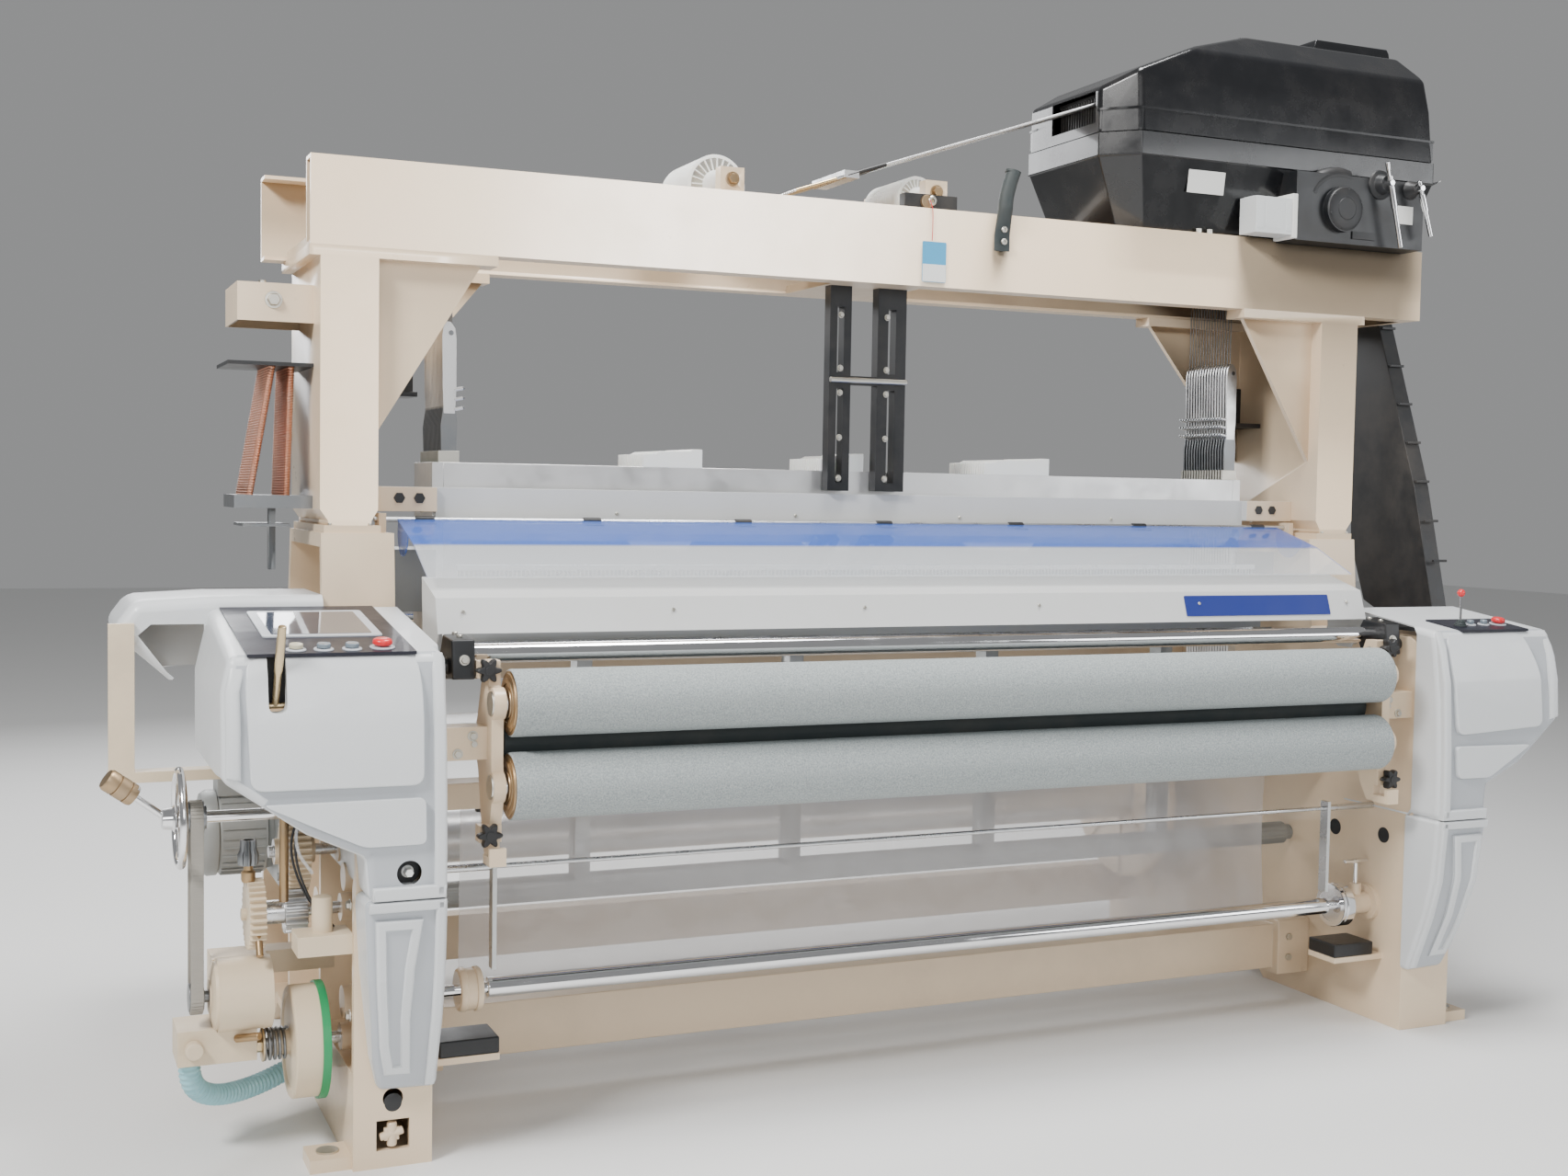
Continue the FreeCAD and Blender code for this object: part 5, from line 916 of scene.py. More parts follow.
def clear_parts():
    """Splash cover with its protective film and the hanging drip film."""
    dressed("splash_cover", "clear", 0.0, slot="clear_blue",
            areas=[("steel", lambda x, y, z: math.hypot(y - HINGE[0], z - HINGE[1]) < 7),
                   ("clear_blue", lambda x, y, z: y > -318)])
    hinges = bmesh.new()
    for x in (-1150, -760, -380, 0, 380, 760, 1150):
        add_rod(hinges, (x - 22, *HINGE), (x + 22, *HINGE), 8.5, 24)
        add_block(hinges, (x - 20, -172, 1258), (x + 20, -146, 1261))
    as_piece("cover_hinges", hinges, "black_moulding", body_of("splash_cover"), 0.8, slot="black_plastic")
    sheet = bmesh.new()
    rows = []
    for row in range(FILM_ROWS + 1):
        line = []
        for column in range(FILM_COLUMNS + 1):
            x = -FILM_WIDTH / 2 + column * FILM_WIDTH / FILM_COLUMNS
            wave = (5.5 * math.sin(x / 83 + row * 0.11) + 3.5 * math.sin(x / 37 + 1.7 + row * 0.2)
                    + 2.4 * math.sin(x / 19 - row * 0.35)) * min(row / HELD_ROWS, 1.0)
            line.append(sheet.verts.new((x, FILM_Y + wave * (0.45 if row < HELD_ROWS else 0.8),
                                         FILM_TOP - row * FILM_DROP / FILM_ROWS)))
        rows.append(line)
    join_rings(sheet, rows, False, False)
    piece = as_piece("drip_film_sheet", sheet, "film", replaces=("drip_film",), slot="clear_film", sharp=80,
                     normals=False)
    piece.modifiers.remove(piece.modifiers["Shading"])
    blocks("film_clips", "black_moulding", "frame",
           [((x - 12, -284, 628), (x + 12, -264, 646)) for x in range(-1050, 1051, 150)], width=1.5,
           slot="black_plastic")


ROLLERS = (("upper_roller", -686, 917, 67.5, "grit"), ("lower_roller", -686, 751, 67.5, "grit"),
           ("middle_roller", -595.4, 834, 55, "dark_rubber"))


def rollers():
    """Take-up rollers with covering, end caps and journals."""
    for node, y, z, radius, finish in ROLLERS:
        half = [(1136, 16), (1135, 17), (1112, 17), (1106.5, 18), (1106, 30), (1104, 31), (1104, 38), (1106, 39),
                (1106, radius - 19), (1103.5, radius - 17), (1103, radius - 9), (1100.5, radius - 8),
                (1100, radius - 3), (1098.5, radius - 1), (1096, radius)]
        waist = [(x, radius) for x in (700, 300, 0)]
        profile = half + waist + [(-x, r) for x, r in reversed(half + waist[:-1])]
        mesh = bmesh.new()
        add_turned(mesh, (0, y, z), (-1, 0, 0), [(-x, r) for x, r in profile], 72)
        stand_in(node, "_body", mesh, finish, slot="roller_grit", sharp=50,
                 areas=[("steel", lambda px, py, pz, cy=y, cz=z: math.hypot(py - cy, pz - cz) < 18.5),
                        ("old_brass", lambda px, py, pz: abs(px) > 1099.6)])


def knobs():
    """Star knobs of the roller brackets."""
    for word, side in (("left", -1), ("right", 1)):
        for level, (y, z) in (("upper", (-672, 982)), ("lower", (-690, 657))):
            x = side * 1140
            star = [(20.5 + 5.5 * math.cos(6 * angle), angle) for angle in ring_angles(60)]
            mesh = bmesh.new()
            join_rings(mesh, [[mesh.verts.new((x + reach * share * math.cos(angle), y + depth,
                                               z + reach * share * math.sin(angle))) for reach, angle in star]
                              for depth, share in ((4, 0.86), (2, 0.97), (-2, 1.0), (-12, 1.0), (-16.5, 0.93),
                                                   (-18, 0.8))])
            add_turned(mesh, (x, y - 17, z), (0, -1, 0), [(0, 10), (2.4, 9.5), (3.2, 8)], 28)
            add_rod(mesh, (x, y + 3, z), (x, y + 38, z), 4.9)
            stand_in(f"knob_{level}_{word}", "_star", mesh, "black_moulding", slot="black_plastic",
                     areas=[("steel", lambda px, py, pz, cy=y: py > cy + 5)])
    fittings = bmesh.new()
    for side in SIDES:
        for _, y, z, _, _ in ROLLERS:
            add_turned(fittings, (side * 1136, y, z), (side, 0, 0), [(0, 25), (3, 24), (3.5, 18.2)], 28)
        for y, z in ((-640, 975), (-600, 800), (-650, 690)):
            add_bolt(fittings, (side * 1112, y, z), (-side, 0, 0), 7)
        add_bolt(fittings, (side * 1165, -655, 850), (0, -1, 0), 8)
        add_bolt(fittings, (side * 1195, -655, 815), (0, -1, 0), 8)
    as_piece("bracket_fittings", fittings, "zinc")


HEALD_COUNT, HEALD_FRONT, HEALD_PITCH, HEALD_THICKNESS = 16, -96, 12, 9
HOOK_X = 1086


def heald_hook(rails, links, side, y0):
    """Hook, link and cord at one end of a heald frame."""
    y1, middle = y0 + HEALD_THICKNESS, y0 + HEALD_THICKNESS / 2
    x = side * HOOK_X
    add_block(links, (x - 24, y0 + 1.2, 1398), (x + 24, y1 - 1.2, 1424))
    blade = [(x - 17, 1416), (x + 17, 1416), (x + 19, 1490), (x + 15, 1526), (x - 13, 1526), (x - 19, 1480)]
    add_prism(links, [(px, y0 + 2, pz) for px, pz in blade], (0, 5, 0))
    upper = [(x - 12, 1508), (x + 14, 1508), (x + 17, 1560), (x + 17, 1676), (x + 14, 1700), (x + 4, 1714),
             (x - 6, 1716), (x - 14, 1704), (x - 17, 1684), (x - 15, 1560)]
    add_prism(rails, [(px, y0 + 1.6, pz) for px, pz in upper], (0, 5.8, 0))
    for z in (1518, 1540, 1562):
        add_rod(rails, (x - side * 12, middle, z), (x - side * 32, middle, z + 4), 4.2, 10)
        add_rod(links, (x - side * 30, middle, z + 3.6), (x - side * 36, middle, z + 4.8), 3, 10)
    add_rod(links, (x - side * 6, middle, 1712), (x - side * 6, middle, 1890), 1.5, 8)
    add_turned(links, (x + 4, y0 + 1.4, 1690), (0, -1, 0), [(0, 6), (0.6, 5.6), (0.3, 3)], 18)


def healds():
    """Heald frames with white guides, links and hook packs."""
    for node, first in (("heald_frames_odd", 0), ("heald_frames_even", 1)):
        rails, links, guides = bmesh.new(), bmesh.new(), bmesh.new()
        for index in range(first, HEALD_COUNT, 2):
            y0 = HEALD_FRONT + index * HEALD_PITCH
            y1 = y0 + HEALD_THICKNESS
            for z0, z1 in ((740, 802), (1336, 1398)):
                add_block(rails, (-1098, y0, z0), (1098, y1, z1))
            for side in SIDES:
                add_block(rails, (side * 1111 - 13, y0, 740), (side * 1111 + 13, y1, 1398))
                heald_hook(rails, links, side, y0)
            for x0, x1 in ((-620, -470), (-157, -38), (311, 505)):
                outline = [(x0, 1397), (x1, 1397), (x1, 1442), (x1 - 26, 1442), (x1 - 30, 1438), (x0 + 42, 1436),
                           (x0 + 30, 1430), (x0, 1428)]
                add_prism(guides, [(px, y0, pz) for px, pz in outline], (0, HEALD_THICKNESS, 0))
        body = body_of(node)
        as_piece(node + "_rails", rails, "aluminium", body, 0.8, 1, 40, replaces=(node,), slot="aluminium",
                 areas=[("green", lambda x, y, z: abs(x) > 1097 and 1396 < z < 1400)])
        as_piece(node + "_links", links, "dark_steel", body, 0.6, 1, 40, slot="steel",
                 areas=[("zinc", lambda x, y, z: z < 1425)])
        as_piece(node + "_guides", guides, "white", body, 1.0, 1, 40, slot="white_plastic")
    dressed("centre_guides", "black_paint", 2.0, slot="black_paint",
            areas=[("grey_cast", lambda x, y, z: abs(x) > 1100)])
    fittings = bmesh.new()
    for x in (-125, 2):
        for z in (1380, 1480, 1590, 1650, 1780):
            add_bolt(fittings, (x, -132.5, z), (0, -1, 0), 6)
    add_rod(fittings, (-154, -138, 1621), (56, -138, 1621), 7)
    as_piece("guide_bolts", fittings, "zinc")
    brackets = []
    for side in SIDES:
        brackets.append(((side * 1187 - 52, 60, 1556), (side * 1187 + 52, 68, 1660)))
        brackets.append(((side * 1203 - 68, 10, 1548), (side * 1203 + 68, 110, 1560)))
    blocks("link_brackets", "black_paint", "frame", brackets, width=2, slot="black_paint")


SHEAVES = (("sheaves_left", -446, 2072, 73), ("sheaves_right", 95, 2086, 54))
SHEAVE_SPOKES = 24
BAR_FRONT = -143


def sheaves_and_bars():
    """White cord sheaves and the drawbars with their joints."""
    for node, cx, cz, radius in SHEAVES:
        mesh = bmesh.new()
        for index in range(HEALD_COUNT):
            y = HEALD_FRONT + index * HEALD_PITCH
            add_turned(mesh, (cx, y - 5, cz), (0, 1, 0),
                       [(0, radius - 8), (0.4, radius - 1), (1.2, radius), (3, radius), (4, radius - 3.5),
                        (6, radius - 3.5), (7, radius), (8.8, radius), (9.6, radius - 1), (10, radius - 8)], 64)
            add_turned(mesh, (cx, y + 4.9, cz), (0, 1, 0), [(0, radius - 14), (2.1, radius - 14)], 40)
        for angle in ring_angles(SHEAVE_SPOKES):
            corners = radial(cx, cz, angle, bar_corners(radius * 0.42, 1.4, radius - 9, 1.4))
            add_prism(mesh, [(x, -101.2, z) for x, z in corners], (0, -3.2, 0))
        add_turned(mesh, (cx, -100, cz), (0, -1, 0), [(0, radius * 0.5), (8, radius * 0.48), (40, radius * 0.4),
                                                      (66, radius * 0.36)], 48)
        add_rod(mesh, (cx, -206, cz), (cx, 139, cz), 8.9, 28)
        stand_in(node, "_pack", mesh, "white", slot="white_plastic", sharp=50,
                 areas=[("zinc", lambda x, y, z, a=cx, b=cz: math.hypot(x - a, z - b) < 9.5)])
    caps = bmesh.new()
    for _, cx, cz, _ in SHEAVES:
        add_turned(caps, (cx, -202, cz), (0, -1, 0), [(0, 17), (3, 17), (4, 15)], 30)
        add_hexagon(caps, (cx, -206, cz), (0, -1, 0), 13, 9)
    as_piece("sheave_caps", caps, "old_brass")
    dressed("drawbars", "aluminium", 0.0, slot="steel")
    joints = bmesh.new()
    slope = Vector((963, 0, 331.2)).normalized()
    for index in range(HEALD_COUNT):
        low = Vector((-263, BAR_FRONT + index * HEALD_PITCH, 2068))
        add_rod(joints, low + slope * 150, low + slope * 262, 5.2, 14)
        add_rod(joints, low + slope * 6, low + slope * 120, 4.4, 12)
        add_hexagon(joints, low + slope * 142, slope, 5.4, 7)
    as_piece("drawbar_joints", joints, "black_moulding", body_of("drawbars"), slot="black_plastic",
             areas=[("brass", lambda x, y, z: x < -118)])


RIM_LEVEL, TAPER_DEPTH = 2224, 183  # height of the dobby's rim and depth of the taper below it


def plan_ring(mesh, points, z):
    """Ring of vertices at one height."""
    return [mesh.verts.new((x, y, z)) for x, y in points]


def dobby_plan(grow, z):
    """Plan outline of the dobby at a height: straight above the rim, tapering below it."""
    share = max(0.0, (RIM_LEVEL - z) / TAPER_DEPTH)
    left = 585 - grow + 75 * share
    right = 1620 + grow - 60 * share
    front = -250 - grow + 50 * share
    rear = 160 + grow - 20 * share
    chamfer = 76 - 30 * share
    return [(left, rear), (left, front + chamfer), (left + chamfer, front), (right, front), (right, rear)]


def dobby_housing():
    """Lid with its slot for the drawbars, band, crown, tray and bar guide."""
    lid = bmesh.new()
    join_rings(lid, [plan_ring(lid, dobby_plan(0, 2300), z) for z in (2284, 2640)])
    bmesh.ops.recalc_face_normals(lid, faces=lid.faces)
    keep_profile(lid, [(585, 2284), (585, 2395), (660, 2440), (850, 2520), (1050, 2578), (1570, 2578), (1600, 2520),
                       (1620, 2284)], "y")
    keep_profile(lid, [(-250, 2284), (-246, 2420), (-230, 2505), (-155, 2578), (100, 2578), (160, 2500), (160, 2284)],
                 "x")
    lid.normal_update()
    drop_faces(lid, lambda c, n: n.z < -0.9)
    moulded(lid, 15, 4, 14, 5)
    lid_piece = as_piece("dobby_lid", lid, "housing", replaces=("dobby_cover",), slot="gloss_black", sharp=50,
                         normals=False)
    slot = bmesh.new()
    add_block(slot, (570, -157, 2310), (645, 51, 2392))
    cut_away(lid_piece, slot)
    trims = bmesh.new()
    for low, high, grow in ((2290, 2342, 3.0), (2338, 2344, 5.0)):
        outer = dobby_plan(grow, 2300)
        join_rings(trims, [plan_ring(trims, outer, z) for z in (low, high)], False, False)
    bmesh.ops.recalc_face_normals(trims, faces=trims.faces)
    for place, direction in (((0, -157, 0), (0, 1, 0)), ((0, 51, 0), (0, 1, 0)), ((0, 0, 2310), (0, 0, 1))):
        bmesh.ops.bisect_plane(trims, geom=everything(trims), dist=1e-4, plane_co=place, plane_no=direction)
    drop_faces(trims, lambda c, n: c.x < 645 and -157 < c.y < 51 and c.z > 2310)
    bmesh.ops.solidify(trims, geom=list(trims.faces), thickness=6)
    as_piece("dobby_band", trims, "housing", slot="gloss_black", sharp=50)
    crown = bmesh.new()
    add_prism(crown, [(850, y, z) for y, z in ((-247.5, 2436), (-243, 2440), (-233, 2494), (-237, 2490))],
              (745, 0, 0))
    add_prism(crown, [(1040, -172, 2566), (1570, -172, 2566), (1574, -152, 2581), (1036, -152, 2581)], (0, 240, 0))
    vent = [(1326, -100), (1600, -100), (1600, 60), (1326, 60)]
    join_rings(crown, [plan_ring(crown, [(x + inset * (1 if x < 1400 else -0.5),
                                          y + inset * 0.5 * (1 if y < 0 else -1)) for x, y in vent], z)
                       for inset, z in ((0, 2574), (8, 2612), (16, 2624), (26, 2624), (30, 2606))])
    as_piece("dobby_crown", crown, "housing", "frame", 4, 3, 25, slot="gloss_black", sharp=50)
    tray = bmesh.new()
    join_rings(tray, [plan_ring(tray, dobby_plan(0, z), z) for z in (2042, RIM_LEVEL)]
               + [plan_ring(tray, dobby_plan(2, RIM_LEVEL), z) for z in (2225, 2281)])
    bmesh.ops.recalc_face_normals(tray, faces=tray.faces)
    drop_faces(tray, lambda c, n: n.z > 0.95 and c.z > 2270)
    moulded(tray, 9, 4, 14, 5)
    as_piece("dobby_tray", tray, "housing", replaces=("dobby_case",), slot="gloss_black", sharp=50, normals=False)
    slats = [BAR_FRONT - HEALD_PITCH / 2 + index * HEALD_PITCH for index in range(HEALD_COUNT + 1)]
    blocks("bar_guide", "black_moulding", "frame",
           [((604, -158, 2270), (612, 52, 2306))] + [((604, y - 1.6, 2300), (612, y + 1.6, 2392)) for y in slats]
           + [((604, -158, 2384), (612, 52, 2392))], slot="gloss_black")


SERVO_AXIS = (-274, 2089)
GEARBOX_FACE = (1262, 2120)         # x and z of the gearbox's round cover
LEVERS = (("dobby_lever_long", (1436, -345, 2027), (1381, -345, 2251), (1392, 2196)),
          ("dobby_lever_short", (1540, -345, 2064), (1492, -345, 2210), (1497, 2190)))


def dobby_drive():
    """Gearbox with servo motor, hand levers, blank labels and the ribbed duct."""
    dressed("dobby_gearbox", "black_paint", 4, 3, slot="gloss_black", areas=[("servo", lambda x, y, z: x < 1100)])
    servo = bmesh.new()
    outline = softened_outline([(-308, 2042), (-240, 2042), (-240, 2136), (-308, 2136)], 16, 3)
    for x0, x1, grow in ((984, 1010, 1.5), (1014, 1076, 1.0), (1080, 1099, 2.0)):
        join_rings(servo, [[servo.verts.new((x, SERVO_AXIS[0] + (y - SERVO_AXIS[0]) * (1 + grow / 40),
                                             SERVO_AXIS[1] + (z - SERVO_AXIS[1]) * (1 + grow / 60)))
                            for y, z in outline] for x in (x0, x1)])
    as_piece("servo_motor", servo, "servo", "frame", 1.5, slot="hood_grey", angle=30)
    blocks("servo_flange", "label", "frame", [((1100, -311, 2034), (1116, -232, 2150))], width=2, angle=30,
           slot="hood_grey")
    fittings = bmesh.new()
    cx, cz = GEARBOX_FACE
    add_turned(fittings, (cx, -324, cz), (0, -1, 0), [(0, 58), (3, 56), (6, 48), (7, 30), (9, 28), (9, 4)], 48)
    for angle in ring_angles(6, 0.3):
        add_screw(fittings, (cx + 50 * math.cos(angle), -326, cz + 50 * math.sin(angle)), (0, -1, 0), 5)
    add_tube(fittings, [(cx + 96 * math.cos(a), -284, 2130 + 82 * math.sin(a)) for a in
                        (math.radians(70 + 10 * step) for step in range(10))], 24, 18)
    add_turned(fittings, (1392, -307, 2196), (0, -1, 0), [(0, 40), (5, 38), (10, 28), (22, 24), (30, 20)], 36)
    add_turned(fittings, (1497, -307, 2190), (0, -1, 0), [(0, 26), (5, 24), (14, 18), (30, 14)], 30)
    add_block(fittings, (1300, -311, 2046), (1376, -306, 2066))
    as_piece("gearbox_fittings", fittings, "black_moulding", "frame", 1.0, 2, 35, slot="black_plastic")
    labels = bmesh.new()
    add_block(labels, (1448, -309, 2098), (1508, -306.5, 2146))
    add_prism(labels, [(812, -238.6, 2140), (928, -238.6, 2140), (928, -246.8, 2198), (812, -246.8, 2198)],
              (0, -1.4, 0))
    as_piece("blank_labels", labels, "label", "frame", 0.4, 1, 30, slot="hood_grey")
    for node, low, high, (pin_x, pin_z) in LEVERS:
        lever = bmesh.new()
        foot, head = Vector(low), Vector(high)
        run = (head - foot).length
        add_turned(lever, foot, head - foot, [(0, 4), (1.5, 6), (run * 0.45, 6.2), (run * 0.47, 8.4), (run - 40, 8.8),
                                              (run - 36, 6.6), (run - 2, 6.4), (run, 4)], 28)
        add_rod(lever, (pin_x, -356, pin_z), (pin_x, -288, pin_z), 8.9, 28)
        stand_in(node, "_handle", lever, "chrome", slot="chrome")
    dressed("belt_guard", "black_moulding", 5, 3, slot="black_plastic")
    ribs = []
    for step in range(9):
        z = 1180 + step * 110
        y0 = max(-70 - (1863 - z) * 0.352 if z < 1863 else -62, -310)
        ribs.append(((1622, y0 - 3, z), (1670, y0 + 4, z + 7)))
    blocks("duct_ribs", "black_moulding", "frame", ribs, width=1.0, angle=30, slot="black_plastic")


def dobby():
    """Glossy dobby housing, its gearbox, servo motor, levers and belt duct."""
    dobby_housing()
    dobby_drive()


CLOTH_AXIS = (-520, 304)            # y and z, like the other axes


def cloth_parts():
    """Cloth beam, its bearing handle and the presser rod."""
    mesh = bmesh.new()
    for start, way, steps, profile in (
            (-1280, 1, 48, [(0, 11), (1, 11.9), (182, 11.9), (183, 21), (184, 21.2), (2376, 21.2), (2377, 21),
                            (2378, 11.9), (2494, 11.9), (2495, 11)]),
            (-1161, 1, 48, [(0, 38), (2, 43), (8, 46), (14, 46), (16, 43), (34, 43), (36, 46), (44, 46), (48, 43),
                            (50, 30)]),
            (1118, 1, 56, [(0, 53), (1.5, 55), (10, 55), (12, 52), (14, 55), (36, 55), (38, 53), (38, 20)]),
            (1117.6, -1, 56, [(0, 53), (1, 41), (-10, 40), (-16, 14)])):
        add_turned(mesh, (start, *CLOTH_AXIS), (way, 0, 0), profile, steps)
    stand_in("cloth_beam", "_tube", mesh, "chrome", slot="chrome", sharp=40,
             areas=[("enamel", lambda x, y, z: -1162 < x < -1110
                     and math.hypot(y - CLOTH_AXIS[0], z - CLOTH_AXIS[1]) > 23)])
    handle = bmesh.new()
    add_rod(handle, (1198, -520, 326), (1198, -520, 412), 5.8, 24)
    add_turned(handle, (1160, -520, 414), (1, 0, 0), [(0, 4), (2, 5.4), (20, 5.2), (30, 6.6), (38, 8), (46, 6.6),
                                                      (56, 5.2), (74, 5.4), (76, 4)], 28)
    stand_in("t_handle", "_bar", handle, "chrome", slot="chrome")
    dressed("presser_rod", "steel", 1.0, slot="steel", areas=[("servo", lambda x, y, z: abs(x) > 1082 and z < 545)])


WARP_AXIS = (430, 440)
BACK_REST_AXIS = (560, 1000)
MOTOR_AXIS = (400, 490)
MOTOR_FINS = 28


def rear_parts():
    """Warp beam, back rest, sley and main motor."""
    dressed("warp_beam", "aluminium", 2.0, slot="aluminium",
            areas=[("enamel", lambda x, y, z: 1118 < abs(x) < 1136)])
    ribs = bmesh.new()
    for side in SIDES:
        for angle in ring_angles(8):
            for face in (1134, 1114):
                add_prism(ribs, [(side * face, y, z) for y, z in
                                 radial(*WARP_AXIS, angle, bar_corners(72, 7, 236, 4))], (side * 6, 0, 0))
        add_turned(ribs, (side * 1134, *WARP_AXIS), (side, 0, 0), [(0, 250), (8, 249), (8, 240), (0, 239)], 72)
    as_piece("flange_ribs", ribs, "enamel", body_of("warp_beam"), 1.5, 2, 30, slot="aluminium")
    roller = bmesh.new()
    add_turned(roller, (-1214, *BACK_REST_AXIS), (1, 0, 0),
               [(0, 13), (1, 14), (28, 14), (29, 50), (31, 52), (2397, 52), (2399, 50), (2400, 14), (2427, 14),
                (2428, 13)], 64)
    as_piece("back_rest_tube", roller, "chrome", body_of("back_rest_roller"), replaces=("back_rest_roller",),
             slot="chrome")
    dressed("sley", "grey_cast", 3.0, slot="aluminium", areas=[("steel", lambda x, y, z: z > 1046)])
    reed = [((-1084 + step * 9.9 - 1.4, -206, 1056), (-1084 + step * 9.9 + 1.4, -194, 1158)) for step in range(220)]
    blocks("reed_wires", "steel", body_of("sley"),
           reed + [((-1092, -208, z), (1092, -192, z + 12)) for z in (1046, 1157)], slot="steel")
    motor = bmesh.new()
    add_turned(motor, (-1411, *MOTOR_AXIS), (-1, 0, 0),
               [(0, 92), (14, 96), (16, 101), (122, 101), (128, 98), (130, 104), (152, 105), (166, 96), (168, 40)], 56)
    for angle in ring_angles(MOTOR_FINS):
        add_prism(motor, [(-1434, y, z) for y, z in radial(*MOTOR_AXIS, angle, bar_corners(99, 1.6, 105, 1.2))],
                  (-98, 0, 0))
    add_block(motor, (-1540, 350, 585), (-1460, 450, 640))
    add_block(motor, (-1411, 181, 380), (-1395, 640, 600))
    for y, z in ((210, 410), (210, 570), (610, 410), (610, 570)):
        add_bolt(motor, (-1411, y, z), (-1, 0, 0), 10)
    as_piece("motor_body", motor, "grey_cast", "frame", 1.2, 2, 40, replaces=("main_motor",), slot="hood_grey")


DRUM_AXIS = (-500, 227)
GEAR_AXIS = (-450, 603)
WHEEL_AXIS = (-500, 690)
PULLEY_AXIS = (-500, 335)
BELT_HALF = 32.6                    # half the distance between the belt's two runs
TOOTH = [(32.4, 2.5), (34.2, 2.5), (34.2, -2.5), (32.4, -2.5)]


def hand_wheel():
    """Hand wheel with its hub, belt pulley, shaft, crank arm and brass grip."""
    cy, cz = WHEEL_AXIS
    wheel = bmesh.new()
    ring = [(-1704 + 8 * math.cos(a), 92 + 8 * math.sin(a)) for a in ring_angles(14)]
    loops = [[wheel.verts.new((x, cy + r * math.cos(angle), cz + r * math.sin(angle))) for x, r in ring]
             for angle in ring_angles(72)]
    join_rings(wheel, loops + [loops[0]], True, False)
    for turn in range(3):
        spoke = radial(cy, cz, math.radians(120 * turn + 120),
                       ((18, 15), (50, 9), (88, 10), (88, -10), (50, -9), (18, -15)))
        add_prism(wheel, [(-1708, y, z) for y, z in spoke], (7, 0, 0))
    add_turned(wheel, (-1738, cy, cz), (1, 0, 0),
               [(0, 16), (2, 20), (20, 22), (24, 27), (42, 27), (46, 24), (83, 24)], 36)
    add_turned(wheel, (-1690, cy, cz), (1, 0, 0), [(0, 33), (2, 33), (2, 28), (28, 28), (28, 33), (30, 33)], 40)
    add_rod(wheel, (-1660, cy, cz), (-1325, cy, cz), 11.9, 24)
    add_rod(wheel, (-1726, cy, cz), (-1800, -512, 748), 7)
    grip_start, grip_end = Vector((-1786, -510, 738)), Vector((-1840, -518, 778))
    run = (grip_end - grip_start).length
    add_turned(wheel, grip_start, grip_end - grip_start,
               [(0, 12), (2, 20), (8, 22), (18, 22), (19, 19.5), (21, 19.5), (22, 22), (42, 22), (43, 19.5),
                (45, 19.5), (46, 22), (run - 6, 22), (run - 1, 19), (run, 12)], 36)
    as_piece("hand_wheel", wheel, "chrome", body_of("handwheel"), replaces=("handwheel",), slot="chrome", sharp=40,
             areas=[("old_brass", lambda x, y, z: x < -1780), ("dark_steel", lambda x, y, z: -1691 < x < -1659)])


def belt_ribs():
    """Teeth along the belt's two runs and round its two pulleys."""
    teeth = bmesh.new()
    for step in range(33):
        z = PULLEY_AXIS[1] + step * 355 / 32
        for y in (WHEEL_AXIS[0] - BELT_HALF, WHEEL_AXIS[0] + BELT_HALF):
            add_block(teeth, (-1685, y - 1.2, z - 2.5), (-1663, y + 1.2, z + 2.5))
    for axis, start in ((WHEEL_AXIS, 0), (PULLEY_AXIS, 180)):
        for step in range(1, 15):
            add_prism(teeth, [(-1685, y, z) for y, z in radial(*axis, math.radians(start + step * 12), TOOTH)],
                      (22, 0, 0))
    as_piece("belt_ribs", teeth, "belt", slot="dark_rubber")


def brake():
    """Brake drum with its coil spring and brass nut."""
    body = body_of("brake_drum")
    drum = bmesh.new()
    add_turned(drum, (-1497, *DRUM_AXIS), (1, 0, 0),
               [(2, 24), (4, 60), (4, 92), (0, 96), (0, 108), (3, 111.6), (50, 112), (64, 112), (67, 108), (67, 40)],
               72)
    add_turned(drum, (-1530, *DRUM_AXIS), (1, 0, 0), [(0, 21), (1.5, 24), (33, 24), (36, 32), (40, 34)], 40)
    add_rod(drum, (-1552, *DRUM_AXIS), (-1325, *DRUM_AXIS), 11.9)
    stand_in("brake_drum", "_body", drum, "gear_paint", slot="drum_paint",
             areas=[("steel", lambda x, y, z: math.hypot(y - DRUM_AXIS[0], z - DRUM_AXIS[1]) < 13)])
    spring = bmesh.new()
    add_tube(spring, helix((-1500, *DRUM_AXIS), (-1548, *DRUM_AXIS), 30, 5, 20), 3.2, 8)
    as_piece("brake_spring", spring, "dark_steel", body, slot="copper_springs")
    nut = bmesh.new()
    add_turned(nut, (-1546, *DRUM_AXIS), (-1, 0, 0), [(0, 34), (3, 34), (4, 30)], 32)
    add_hexagon(nut, (-1550, *DRUM_AXIS), (-1, 0, 0), 16, 14)
    as_piece("brake_nut", nut, "brass", body, slot="brass")


